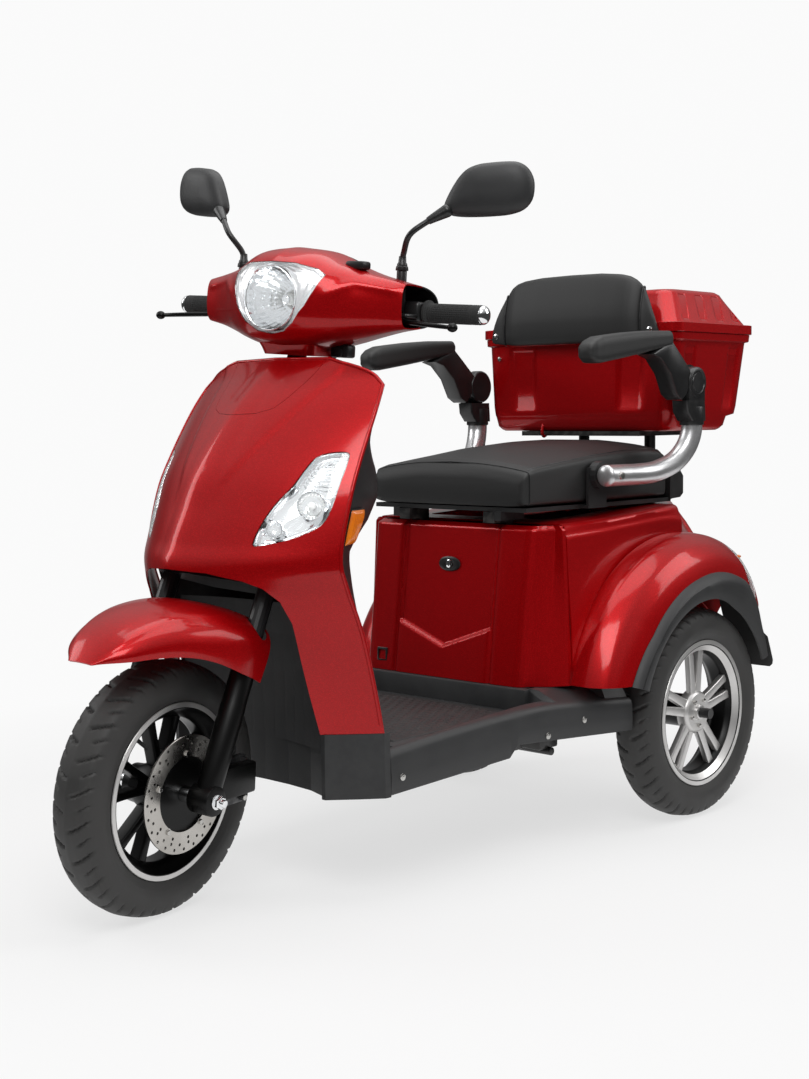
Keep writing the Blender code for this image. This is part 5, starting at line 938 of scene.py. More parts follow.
RED = Finish("red_lacquer", "red_paint", (0.37, 0.0010, 0.0026), 0.36, 0.45, Texture.FLAKE, 1500.0, 0.000004,
             second=(0.34, 0.0008, 0.0022), cloud=5.0, coat=0.55, spread=0.04, specular=0.05)
BLACK = Finish("black_moulding", "black_plastic", (0.0125, 0.0125, 0.0130), 0.46, scale=1500.0, depth=0.00005,
               second=(0.0160, 0.0160, 0.0165), worn=(0.035, 0.035, 0.035), wear=0.25, dust=0.015)
SATIN = Finish("satin_moulding", "black_plastic", (0.0120, 0.0120, 0.0125), 0.34, scale=900.0, depth=0.00002,
               second=(0.0150, 0.0150, 0.0155), worn=(0.04, 0.04, 0.04))
CHARCOAL = Finish("charcoal_moulding", "grey_plastic", (0.0210, 0.0215, 0.0225), 0.52, scale=1100.0,
                  depth=0.00007, second=(0.0270, 0.0275, 0.0285), worn=(0.05, 0.05, 0.05), wear=0.20,
                  dust=0.02)
MAT = Finish("floor_mat", "grey_plastic", (0.0150, 0.0150, 0.0155), 0.62, scale=800.0, depth=0.00010,
             second=(0.0200, 0.0200, 0.0205), dust=0.05)
TYRE = Finish("tyre_rubber", "tyre", (0.0290, 0.0285, 0.0280), 0.60, scale=900.0, depth=0.00008,
              second=(0.0380, 0.0370, 0.0360), cloud=22.0, spread=0.16, dust=0.12,
              dust_colour=(0.085, 0.078, 0.070))
GRIP = Finish("grip_rubber", "grip_rubber", (0.0150, 0.0150, 0.0155), 0.58, scale=1600.0, depth=0.00006,
              second=(0.0200, 0.0200, 0.0205))
HIDE = Finish("leatherette", "leatherette", (0.0110, 0.0110, 0.0118), 0.40, texture=Texture.HIDE, scale=720.0,
              depth=0.00010, second=(0.0140, 0.0140, 0.0150), spread=0.10, sheen=0.03)
PIPING = Finish("piping", "leatherette", (0.0085, 0.0085, 0.0092), 0.36, texture=Texture.HIDE, scale=900.0,
                depth=0.00006)
SILVER = Finish("silver_lacquer", "silver_tube", (0.60, 0.60, 0.61), 0.30, 0.80, Texture.FLAKE, 2200.0,
                0.000006, second=(0.54, 0.54, 0.55), coat=0.5, spread=0.06)
MACHINED = Finish("machined_alloy", "machined_alloy", (0.70, 0.69, 0.68), 0.38, 0.85, Texture.RINGS, 900.0,
                  0.000012, second=(0.62, 0.61, 0.60), spread=0.08)
CAST = Finish("painted_casting", "machined_alloy", (0.050, 0.050, 0.052), 0.42, 0.5, scale=700.0,
              depth=0.00008, second=(0.038, 0.038, 0.040), worn=(0.30, 0.30, 0.30))
BLACK_ALLOY = Finish("black_alloy", "black_alloy", (0.0130, 0.0130, 0.0135), 0.32, 0.3, scale=800.0,
                     depth=0.00004, second=(0.0180, 0.0180, 0.0185), coat=0.25, worn=(0.10, 0.10, 0.10))
STEEL = Finish("bright_steel", "steel", (0.58, 0.57, 0.55), 0.26, 1.0, Texture.BRUSHED, 500.0, 0.00001,
               second=(0.48, 0.47, 0.45), spread=0.10, stretch=(0.05, 1.0, 1.0))
DISC = Finish("disc_steel", "steel", (0.55, 0.53, 0.50), 0.30, 1.0, Texture.RINGS, 1600.0, 0.00003,
              second=(0.46, 0.44, 0.41), spread=0.10)
ENAMEL = Finish("black_enamel", "black_steel", (0.0110, 0.0110, 0.0115), 0.36, 0.1, scale=600.0,
                depth=0.00003, second=(0.0160, 0.0160, 0.0165), coat=0.15, worn=(0.09, 0.085, 0.08),
                dust=0.03)
CHROME = Finish("chrome", "reflector", (0.86, 0.87, 0.88), 0.07, 1.0, scale=300.0, depth=0.000004,
                spread=0.03)
REFLECTOR = Finish("reflector_bowl", "reflector", (0.88, 0.89, 0.90), 0.10, 1.0, scale=140.0, depth=0.00002,
                   spread=0.05)
GLASS = Finish("clear_moulding", "clear_lens", (0.97, 0.98, 0.985), 0.03, clear=1.0, scale=120.0,
               depth=0.00001, spread=0.02)
AMBER = Finish("amber_moulding", "amber_lens", (0.85, 0.22, 0.008), 0.14, scale=300.0, depth=0.00004,
               second=(0.75, 0.17, 0.006), coat=0.6)
RED_LENS = Finish("red_moulding", "red_paint", (0.42, 0.006, 0.006), 0.12, scale=300.0, depth=0.00004,
                  coat=0.6)
BULB = Finish("bulb_glass", "clear_lens", (0.92, 0.92, 0.90), 0.10, scale=200.0, depth=0.00001)
MIRROR = Finish("mirror_glass", "reflector", (0.80, 0.82, 0.84), 0.02, 1.0, scale=60.0, depth=0.000001,
                spread=0.01)
SCREEN = Finish("dash_screen", "black_plastic", (0.010, 0.012, 0.014), 0.08, scale=200.0, depth=0.000002,
                coat=1.0)


class Workshop:
    """Turns shaped blanks into dressed pieces that ride on the frame's bodies."""

    def __init__(self, frame: dict) -> None:
        """Keep the frame's nodes."""
        self.nodes = frame["nodes"]
        self.made: dict[str, bpy.types.Object] = {}

    def loose(self, name: str, blank: Blank) -> bpy.types.Object:
        """Return an object that holds a blank's mesh.

        Args:
            name: name of the object.
            blank: the shape, which is used up.

        Returns:
            The object.
        """
        mesh = bpy.data.meshes.new(name)
        blank.mesh.to_mesh(mesh)
        blank.mesh.free()
        thing = bpy.data.objects.new(name, mesh)
        bpy.context.scene.collection.objects.link(thing)
        return thing

    def settle(self, thing: bpy.types.Object) -> None:
        """Bake a piece's modifiers into its mesh.

        Args:
            thing: the piece.
        """
        if not thing.modifiers:
            return
        bpy.context.view_layer.update()
        graph = bpy.context.evaluated_depsgraph_get()
        mesh = bpy.data.meshes.new_from_object(thing.evaluated_get(graph))
        thing.modifiers.clear()
        thing.data = mesh

    def piece(self, name: str, blank: Blank, finish: Finish, body: str, replaces: Sequence[str] = (),
              steered: bool = False, smooth: float = 40.0, wall: float = 0.0, cuts: Sequence[Blank] = (),
              keeps: Sequence[Blank] = (), edge: float = 0.0, refine: int = 0, centre: Optional[Point] = None,
              turn: float = 0.0) -> bpy.types.Object:
        """Finish one piece.

        Args:
            name: the piece's name.
            blank: its shape, straight ahead.
            finish: what it is finished in.
            body: the frame body that it rides on.
            replaces: the frame's nodes that it stands for.
            steered: True if the piece is on the steering.
            smooth: edges sharper than this many degrees stay sharp.
            wall: thickness given to an open sheet, behind its faces.
            cuts: shapes cut out of it.
            keeps: shapes that it is kept inside.
            edge: width by which its edges are rounded.
            refine: levels of subdivision.
            centre: point that its pattern runs round.
            turn: turn of its pattern about the vertical.

        Returns:
            The finished object.
        """
        thing = self.loose(name, blank)
        if wall:
            shell = thing.modifiers.new("wall", "SOLIDIFY")
            shell.thickness = wall
            shell.offset = -1.0
        tools = []
        for operation, shapes in (("DIFFERENCE", cuts), ("INTERSECT", keeps)):
            for shape in shapes:
                tool = self.loose(name + "_tool", shape.outwards())
                tools.append(tool)
                change = thing.modifiers.new("shape", "BOOLEAN")
                change.object = tool
                change.operation = operation
                change.solver = "EXACT"
        if edge:
            rounding = thing.modifiers.new("edges", "BEVEL")
            rounding.width = edge
            rounding.segments = 2
            rounding.limit_method = "ANGLE"
            rounding.angle_limit = math.radians(32.0)
        if refine:
            finer = thing.modifiers.new("finer", "SUBSURF")
            finer.levels = finer.render_levels = refine
        self.settle(thing)
        for tool in tools:
            bpy.data.meshes.remove(tool.data)
        mesh = thing.data
        mesh.materials.clear()
        mesh.materials.append(finish.material(centre, turn))
        mesh.transform(LAYOUT.placing(steered))
        mesh.shade_smooth()
        mesh.set_sharp_from_angle(angle=math.radians(smooth))
        mesh.update()
        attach(thing, body)
        if replaces:
            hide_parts(*replaces)
        self.made[name] = thing
        LOG.info("%s: %d faces on %s", name, len(mesh.polygons), body)
        return thing

    def dress(self, finish: Finish, *names: str) -> None:
        """Give a finish to nodes of the frame that stay in view.

        Args:
            finish: the finish.
            names: names of the nodes.
        """
        for name in names:
            for place in self.nodes[name].material_slots:
                place.material = finish.material()
            LOG.info("%s dressed in %s", name, finish.name)


@dataclass
class ShieldForm:
    """Surfaces of the leg shield: the red face and the black one behind it."""

    bottom: float = 0.282
    wall: float = 0.003
    crown: float = 1.65
    ridge: float = 0.004
    shoulder: float = 0.0036
    corner: float = 0.014
    inner_inset: float = 0.0082
    inner_reach: float = 0.985
    inner_top: float = 0.87
    centre: Knots = field(default_factory=lambda: Knots(
        (0.17, -0.470), (0.28, -0.530), (0.38, -0.570), (0.47, -0.583), (0.55, -0.585), (0.59, -0.567),
        (0.64, -0.543), (0.714, -0.502), (0.80, -0.430), (0.89, -0.334)))
    edge: Knots = field(default_factory=lambda: Knots(
        (0.17, -0.345), (0.28, -0.352), (0.43, -0.385), (0.52, -0.420), (0.57, -0.432), (0.66, -0.410),
        (0.72, -0.383), (0.80, -0.338), (0.855, -0.302)))
    half: Knots = field(default_factory=lambda: Knots(
        (0.17, 0.252), (0.28, 0.250), (0.43, 0.245), (0.57, 0.240), (0.66, 0.240), (0.72, 0.236),
        (0.80, 0.228), (0.855, 0.215)))
    top: Knots = field(default_factory=lambda: Knots((0.0, 0.886), (0.115, 0.884), (0.170, 0.868),
                                                     (0.215, 0.850)))
    back: Knots = field(default_factory=lambda: Knots(
        (0.28, -0.296), (0.40, -0.296), (0.55, -0.292), (0.65, -0.276), (0.75, -0.258), (0.89, -0.228)))
    flank: Knots = field(default_factory=lambda: Knots(
        (0.50, 0.0), (0.57, 0.0), (0.62, 0.50), (0.66, 0.70), (0.70, 0.55), (0.75, 0.10), (0.80, 0.0)))

    def face(self, across: float, up: float, inset: float = 0.0) -> Vector:
        """Return a point of the red face.

        Args:
            across: from -1 at the right edge to 1 at the left.
            up: from 0 at the bottom to 1 at the top edge.
            inset: how far it lies behind the face.

        Returns:
            The point.
        """
        if inset:
            east = self.face(across + 0.01, up) - self.face(across - 0.01, up)
            north = self.face(across, up + 0.01) - self.face(across, up - 0.01)
            return self.face(across, up) - east.cross(north).normalized() * inset
        z = self.bottom + (self.rim(across) - self.bottom) * up
        middle, x = self.centre.smooth(z), abs(across) * self.half.smooth(z)
        y = middle + (self.edge.smooth(z) - middle) * abs(across) ** self.crown
        brow = 0.055 + 0.50 * max(0.0, z - 0.68)
        raised = step(0.63, 0.72, z) * (1.0 - step(brow - 0.010, brow + 0.001, x)) * self.shoulder
        y -= raised + self.ridge * max(0.0, 1.0 - abs(across) * 6.0)
        return Vector((math.copysign(x, across), y, z))

    def rim(self, across: float) -> float:
        """Return the height of the top edge, rounded down at its corners."""
        side = abs(across)
        return self.top.straight(side * 0.215) - self.corner * max(0.0, (side - 0.86) / 0.14) ** 2.2

    def at(self, x: float, z: float, inset: float = 0.0) -> Vector:
        """Return the point of the red face seen from straight ahead at x and z, set in by a depth."""
        across = x / self.half.smooth(z)
        return self.face(across, (z - self.bottom) / (self.rim(across) - self.bottom), inset)

    def inner(self, across: float, up: float) -> Vector:
        """Return a point of the black panel that faces the rider.

        Args:
            across: share from -1 at the right edge to 1 at the left.
            up: share of the height.

        Returns:
            The point.
        """
        rim = self.face(math.copysign(self.inner_reach, across or 1.0), up, self.inner_inset)
        back = self.back.smooth(rim.z)
        side = abs(across)
        full = self.flank.straight(rim.z)
        wide = side * (1.0 - full) + full * (1.0 - (1.0 - side) ** 3)
        return Vector((rim.x * wide, back + (rim.y - back) * side ** 3.0, rim.z))

    def inner_at(self, across: float, z: float) -> Vector:
        """Return a point of the black panel at a height."""
        return self.inner(across, (z - self.bottom) / (self.inner_top - self.bottom))


@dataclass
class FrontBodywork:
    """Red shield with its hood panel and lamps, and the black mouldings behind it."""

    form: ShieldForm = field(default_factory=ShieldForm)
    arch: Outline = ((0.0, 0.550), (0.070, 0.545), (0.120, 0.533), (0.145, 0.521), (0.163, 0.500),
                     (0.172, 0.465), (0.176, 0.383), (0.180, 0.270), (0.180, 0.150))
    hood: Outline = ((0.0, 0.792), (0.045, 0.794), (0.072, 0.802), (0.085, 0.820), (0.098, 0.850),
                     (0.109, 0.880), (0.109, 0.920))
    lamp: Outline = ((0.126, 0.590), (0.131, 0.621), (0.142, 0.651), (0.159, 0.680), (0.168, 0.709),
                     (0.176, 0.725), (0.194, 0.732), (0.216, 0.731), (0.220, 0.714), (0.2205, 0.685),
                     (0.2185, 0.650), (0.213, 0.625), (0.200, 0.611), (0.170, 0.596), (0.137, 0.588))
    seam: float = 0.0006
    columns: int = 84
    rows: int = 96
    window_front: float = -0.70
    window_back: float = -0.20
    lip_side: float = 0.990
    lip_sunk: float = 0.0012
    lip_radius: float = 0.0034
    rib_low: float = 0.6840
    rib_gap: float = 0.0056
    signal_low: float = 0.604
    signal_tall: float = 0.058

    def skin(self) -> Blank:
        """Return the whole red face as one fine sheet.

        Returns:
            The sheet.
        """
        def surface(u: float, v: float) -> Vector:
            """Return the point at two shares of the sheet."""
            return self.form.face(u * 2.0 - 1.0, v)
        return Blank().sheet(surface, self.columns, self.rows).facing_away(FAR_BEHIND)

    def window(self, outline: Outline, margin: float = 0.0) -> Blank:
        """Return a prism that marks an outline on the face."""
        shape = grown(outline, margin) if margin else outline
        return Blank().prism(shape, self.window_front, self.window_back)

    def lamp_outline(self, hand: int) -> list[tuple[float, float]]:
        """Return the rounded outline of one position lamp."""
        outline = flowing(self.lamp)
        return outline if hand > 0 else mirrored(outline)

    def build(self, shop: Workshop) -> None:
        """Make the shield, its hood panel, lamps and the black mouldings.

        Args:
            shop: the workshop that finishes the pieces.
        """
        arch, hood = both_sides(self.arch), both_sides(self.hood)
        cuts = [self.window(arch), self.window(hood)]
        cuts += [self.window(self.lamp_outline(hand)) for hand in (1, -1)]
        shop.piece("shield_face", self.skin(), RED, "chassis", ["front_shield"], wall=self.form.wall,
                   cuts=cuts)
        shop.piece("hood_face", self.skin(), RED, "chassis", ["hood_panel"], wall=self.form.wall,
                   keeps=[self.window(hood, -self.seam)])
        self.build_trim(shop)
        for side, hand in (("left", 1), ("right", -1)):
            self.build_lamp(shop, side, hand)
            self.build_signal(shop, side, hand)
        self.build_inner(shop)
        shop.dress(CHARCOAL, "wheel_arch_liner")

    def build_trim(self, shop: Workshop) -> None:
        """Make the rounded lip round the shield's sides and top.

        Args:
            shop: the workshop that finishes the pieces.
        """
        up = [k / 40 for k in range(1, 41)]
        side, sunk = self.lip_side, self.lip_sunk
        route = [self.form.face(-side, v, sunk) for v in up]
        route += [self.form.face(-side + 2 * side * k / 60, 0.9985, sunk) for k in range(1, 60)]
        route += [self.form.face(side, v, sunk) for v in reversed(up)]
        shop.piece("shield_lip", Blank().tube(route, self.lip_radius, 12).outwards(), RED, "chassis")

    def build_lamp(self, shop: Workshop, side: str, hand: int) -> None:
        """Make one position lamp: lens, bright housing in a dark tray, two fluted bowls, ribs and bulb.

        Args:
            shop: the workshop that finishes the pieces.
            side: left or right, for the pieces' names.
            hand: 1 on the rider's left, -1 on the right.
        """
        outline = self.lamp_outline(hand)
        shop.piece("lamp_lens_" + side, self.skin(), GLASS, "chassis", ["position_lamp_" + side],
                   wall=0.0022, keeps=[self.window(outline, -0.0011)])
        rings = []
        for margin, depth in ((-0.0008, 0.0034), (-0.0012, 0.0080), (-0.0040, 0.0150), (-0.0090, 0.0195),
                              (-0.0150, 0.0205)):
            rings.append([self.form.at(x, z, depth) for x, z in grown(outline, margin)])
        housing = Blank().loft(rings, caps=False)
        floor = housing.mesh.faces.new([vertex for vertex in self.rim_of(housing, rings[-1])])
        floor.normal_update()
        shop.piece("lamp_housing_" + side, housing.facing_away(FAR_BEHIND), REFLECTOR, "chassis", wall=0.0012)
        rings = [[self.form.at(x, z, depth) for x, z in grown(outline, margin)]
                 for margin, depth in ((0.0022, 0.0040), (0.0016, 0.0095), (-0.0012, 0.0175),
                                       (-0.0066, 0.0226), (-0.0150, 0.0236))]
        cover = Blank().loft(rings, caps=False)
        cover.mesh.faces.new(self.rim_of(cover, rings[-1])).normal_update()
        shop.piece("lamp_cover_" + side, cover.facing_away(FAR_BEHIND), SATIN, "chassis", wall=0.0012)
        for name, x, z, radius in (("bowl", 0.190, 0.652, 0.0225), ("corner", 0.150, 0.615, 0.0135)):
            spot = self.form.at(hand * x, z, 0.0150)
            out = (self.form.at(hand * x, z) - spot).normalized()
            dish = [(0.0075, radius), (0.0030, radius * 0.93), (-0.0020, radius * 0.70),
                    (-0.0045, radius * 0.40), (-0.0052, 0.002)]
            bowl = Blank().spin(dish, spot, out, steps=22)
            shop.piece("lamp_%s_%s" % (name, side), bowl.facing_away(spot - out), REFLECTOR, "chassis",
                       smooth=8.0, wall=0.0008)
            if name == "bowl":
                bulb = Blank().ball(spot + out * 0.0015, 0.0062, (1.0, 1.2, 1.0))
                shop.piece("lamp_bulb_" + side, bulb, BULB, "chassis")
        ribs = Blank()
        for k in range(7):
            z = self.rib_low + self.rib_gap * k
            start = self.form.at(hand * (0.168 + 0.0022 * k), z, 0.0060)
            end = self.form.at(hand * 0.2160, z, 0.0060)
            ribs.bar(start, end, 0.0011, steps=8)
        shop.piece("lamp_ribs_" + side, ribs.outwards(), REFLECTOR, "chassis")

    def rim_of(self, blank: Blank, ring: Sequence[Vector]) -> list[bmesh.types.BMVert]:
        """Return the vertices that lie at a ring's points, in its order."""
        return [min(blank.mesh.verts, key=lambda vertex: (vertex.co - point).length) for point in ring]

    def build_signal(self, shop: Workshop, side: str, hand: int) -> None:
        """Make one amber signal on the flank: a domed lens with fine ribs, on a black foot.

        Args:
            shop: the workshop that finishes the pieces.
            side: left or right, for the pieces' names.
            hand: 1 on the rider's left, -1 on the right.
        """
        offset = 0.0070 if hand < 0 else 0.0054
        lift = Vector((hand * 0.95, 0.30, 0.0))

        def lens(u: float, v: float) -> Vector:
            """Return a point of the domed lens."""
            share = 0.988 - 0.108 * u
            z = self.signal_low + self.signal_tall * v
            dome = (1.0 - abs(2.0 * u - 1.0) ** 5.0) * (1.0 - abs(2.0 * v - 1.0) ** 5.0)
            rib = 0.00035 * math.sin(u * math.pi * 18.0) * dome
            rise = 0.0064 * max(0.0, dome) ** 0.5 + rib
            return self.form.inner_at(share * hand, z) + lift * (offset + rise)

        def foot(u: float, v: float) -> Vector:
            """Return a point of the foot."""
            share, z = 0.990 - 0.112 * u, 0.6025 + 0.061 * v
            return self.form.inner_at(share * hand, z) + lift * (offset - 0.0004)
        inside = Vector((0.0, -0.40, 0.63))
        shop.piece("signal_lens_" + side, Blank().sheet(lens, 56, 28).facing_away(inside), AMBER, "chassis",
                   ["turn_signal_" + side], wall=0.0016)
        shop.piece("signal_foot_" + side, Blank().sheet(foot, 10, 8).facing_away(inside), BLACK, "chassis",
                   wall=0.0030)

    def build_inner(self, shop: Workshop) -> None:
        """Make the black panel between the shield and the rider's knees, with its deck.

        Args:
            shop: the workshop that finishes the pieces.
        """
        def surface(u: float, v: float) -> Vector:
            """Return the point at two shares of the sheet."""
            across = u * 2.0 - 1.0
            across = math.copysign(abs(across) ** 0.7, across or 1.0)
            if v <= 0.80:
                return self.form.inner(across, v / 0.80 * 0.975)
            share = (v - 0.80) / 0.20
            low = self.form.inner(across, 0.975)
            front = self.form.face(across * self.form.inner_reach, 0.985, self.form.inner_inset)
            place = low.lerp(front, share)
            place.z = low.z + (0.006 - 0.004 * share) * (1.0 - abs(across) ** 4) * step(0.0, 0.2, share)
            return place
        hole = Blank().bar(LAYOUT.steer_point(0, 0, 0.65), LAYOUT.steer_point(0, 0, 0.82), 0.040, steps=48)
        sheet = Blank().sheet(surface, 72, 80).facing_away(Vector((0.0, -5.0, -3.0)))
        shop.piece("knee_panel", sheet, BLACK, "chassis", ["inner_leg_shield"], wall=0.003, cuts=[hole])


@dataclass
class FrontFender:
    """Red fender over the front wheel, with a crease along each side."""

    front: float = 38.5
    rear: float = -27.5
    wall: float = 0.003
    half: Knots = field(default_factory=lambda: Knots(
        (-27.5, 0.127), (-12.0, 0.122), (10.0, 0.098), (29.0, 0.066), (38.5, 0.024)))
    low: Knots = field(default_factory=lambda: Knots(
        (-27.5, 0.197), (-12.0, 0.203), (10.0, 0.232), (28.0, 0.262), (38.5, 0.2885)))
    crown: Knots = field(default_factory=lambda: Knots((-27.5, 0.300), (20.0, 0.2995), (38.5, 0.2918)))

    def point(self, angle: float, share: float) -> Vector:
        """Return a point of the fender.

        Args:
            angle: degrees ahead of straight up.
            share: -1 at the rider's left edge to 1 at the other.

        Returns:
            The point.
        """
        turn = share * math.pi / 2
        low = self.low.smooth(angle)
        square = step(-6.0, 24.0, -angle)
        lift = max(0.0, math.cos(turn)) ** (0.8 - 0.36 * square)
        radius = low + (self.crown.smooth(angle) - low) * lift
        x = -self.half.smooth(angle) * signed_power(math.sin(turn), 0.85 - 0.20 * square)
        crease = step(0.22, 0.43, abs(share)) * (1.0 - step(0.43, 0.52, abs(share)))
        radius += 0.0016 * crease * step(-20.0, 6.0, angle) * (1.0 - step(26.0, 36.0, angle))
        tilt = math.radians(angle)
        return LAYOUT.front_axle + Vector((x, -math.sin(tilt) * radius, math.cos(tilt) * radius))

    def build(self, shop: Workshop) -> None:
        """Make the fender, cleared round the legs.

        Args:
            shop: the workshop that finishes the pieces.
        """
        def surface(u: float, v: float) -> Vector:
            """Return the point at two shares of the sheet."""
            return self.point(self.front + (self.rear - self.front) * v, u * 2.0 - 1.0)
        holes = []
        for hand in (1, -1):
            low = LAYOUT.steer_point(hand * LAYOUT.leg_offset, LAYOUT.axle_lead, 0.20)
            high = LAYOUT.steer_point(hand * LAYOUT.leg_offset, LAYOUT.axle_lead, 0.36)
            holes.append(Blank().bar(low, high, 0.0211, steps=40))
        shop.piece("fender_face", Blank().sheet(surface, 72, 72).facing_away(LAYOUT.front_axle), RED, "fork",
                   ["front_fender"], steered=True, wall=self.wall, cuts=holes)


@dataclass
class WheelStyle:
    """Sizes of a cast wheel with a scooter tyre."""

    pitches: int = 24
    groove_depth: float = 0.0036
    groove_half: float = 0.0017
    spoke_pairs: int = 5
    around: int = 480

    def tyre(self, centre: Vector) -> Blank:
        """Return a tyre with curved grooves in its tread.

        Args:
            centre: middle of the axle.

        Returns:
            The tyre.
        """
        wide, top, rim = LAYOUT.tyre_width / 2, LAYOUT.tyre_radius, LAYOUT.rim_radius
        seat = rim - 0.0052
        outer = [(wide * 0.71, seat), (wide * 0.89, rim + 0.008), (wide, rim + 0.026),
                 (wide * 0.86, top - 0.013), (wide * 0.50, top - 0.0035), (0.0, top)]
        half = [(point.x, point.y) for point in smooth_route([(x, r, 0.0) for x, r in outer], 6)]
        outside = half + [(-x, r) for x, r in reversed(half[:-1])]
        inner = [(wide * 0.70, top - 0.022), (wide * 0.80, rim + 0.020), (wide * 0.52, seat)]
        inside = [(-x, r) for x, r in reversed(inner)] + inner
        ring = outside + inside
        count = len(outside)

        def surface(u: float, v: float) -> Vector:
            """Return the point at two shares of the sheet."""
            k = round(u * len(ring)) % len(ring)
            x, radius = ring[k]
            angle = 2 * math.pi * (round(v * self.around) % self.around) / self.around
            if 0 < k < count - 1:
                before, after = ring[k - 1], ring[k + 1]
                out = Vector((before[1] - after[1], after[0] - before[0])).normalized()
                out = out if out.y > 0 or abs(x) > wide * 0.9 else -out
                if out.x * x < 0:
                    out = -out
                depth = self.relief(x / wide, radius, angle)
                x, radius = x - out.x * depth, radius - abs(out.y) * depth
            return centre + about_axle(x, angle, radius)
        return Blank().sheet(surface, len(ring), self.around).weld().outwards()

    def relief(self, share: float, radius: float, angle: float) -> float:
        """Return how deep the tread is cut at a share of the half width and an angle.

        Args:
            share: place across, as a share of the half width.
            radius: distance from the axle.
            angle: angle round the axle.

        Returns:
            The depth.
        """
        side = abs(share)
        if radius < LAYOUT.rim_radius + 0.034:
            ring = math.exp(-((radius - LAYOUT.rim_radius - 0.013) / 0.0011) ** 2)
            return -0.0006 * ring
        pitch = 2 * math.pi / self.pitches
        stagger = 0.5 * pitch if share > 0 else 0.0
        sweep = 0.115 * side ** 1.6
        place = (angle - stagger + sweep) % pitch
        gap = min(place, pitch - place) * LAYOUT.tyre_radius
        cut = 1.0 - step(self.groove_half, self.groove_half + 0.0016, gap)
        ends = step(0.10, 0.16, side) * (1.0 - step(0.86, 0.95, side))
        second = (angle - stagger + sweep + 0.5 * pitch) % pitch
        second_gap = min(second, pitch - second) * LAYOUT.tyre_radius
        short = 1.0 - step(self.groove_half * 0.7, self.groove_half * 0.7 + 0.0014, second_gap)
        short *= step(0.46, 0.52, side) * (1.0 - step(0.84, 0.93, side))
        return self.groove_depth * max(cut * ends, 0.8 * short)

    def rim(self, centre: Vector) -> Blank:
        """Return the rim's ring: flanges outside with a well between.

        Args:
            centre: middle of the axle.

        Returns:
            The ring.
        """
        wide, edge = LAYOUT.rim_width / 2, LAYOUT.rim_radius
        outside = [(wide, edge - 0.0006), (wide * 0.985, edge), (wide * 0.955, edge - 0.001),
                   (wide * 0.87, edge - 0.0062), (wide * 0.62, edge - 0.0070), (wide * 0.40, edge - 0.0090),
                   (wide * 0.28, edge - 0.0200)]
        inside = [(wide * 0.30, edge - 0.0262), (wide * 0.42, edge - 0.0255), (wide * 0.62, edge - 0.0185),
                  (wide * 0.90, edge - 0.0110), (wide, edge - 0.0095)]
        ring = outside + [(-x, r) for x, r in reversed(outside)]
        ring += [(-x, r) for x, r in reversed(inside)] + inside
        return Blank().spin(ring, centre, steps=96, closed=True).outwards()

    def lip(self, centre: Vector, side: float) -> Blank:
        """Return the machined ring on a rim's flange.

        Args:
            centre: middle of the axle.
            side: 1 or -1 along the axle.

        Returns:
            The ring.
        """
        wide, edge = LAYOUT.rim_width / 2, LAYOUT.rim_radius
        ring = [(wide - 0.0012, edge + 0.0004), (wide + 0.0003, edge - 0.0004),
                (wide + 0.0003, edge - 0.0080), (wide - 0.0012, edge - 0.0092)]
        return Blank().spin([(side * x, r) for x, r in ring], centre, steps=96, closed=True).outwards()

    def spoke(self, blank: Blank, centre: Vector, start_angle: float, end_angle: float, start: float,
              end: float, widths: tuple[float, float], low: float, high: float) -> None:
        """Add one cast spoke from the hub to the rim, with eased corners.

        Args:
            blank: what the spoke is added to.
            centre: middle of the axle.
            start_angle: angle at the hub.
            end_angle: angle at the rim.
            start: radius at the hub.
            end: radius at the rim.
            widths: width at the hub and at the rim.
            low: inner face along the axle.
            high: outer face along the axle.
        """
        rings = []
        first = Vector((0.0, math.cos(start_angle), math.sin(start_angle))) * start
        last = Vector((0.0, math.cos(end_angle), math.sin(end_angle))) * end
        run = (last - first).normalized()
        side = Vector((0.0, -run.z, run.y))
        for k in range(7):
            share = k / 6
            place = centre + first.lerp(last, share)
            flare = 1.0 + 0.35 * max(0.0, share - 0.75) / 0.25 + 0.25 * max(0.0, 0.2 - share) / 0.2
            wide = (widths[0] + (widths[1] - widths[0]) * share) / 2 * flare
            middle, deep = (low + high) / 2, (high - low) / 2
            ring = []
            for j in range(16):
                angle = 2 * math.pi * (j + 0.5) / 16
                across = signed_power(math.cos(angle), 0.35) * wide
                out = middle + signed_power(math.sin(angle), 0.35) * deep
                ring.append(place + side * across + Vector((out, 0.0, 0.0)))
            rings.append(ring)
        blank.loft(rings)


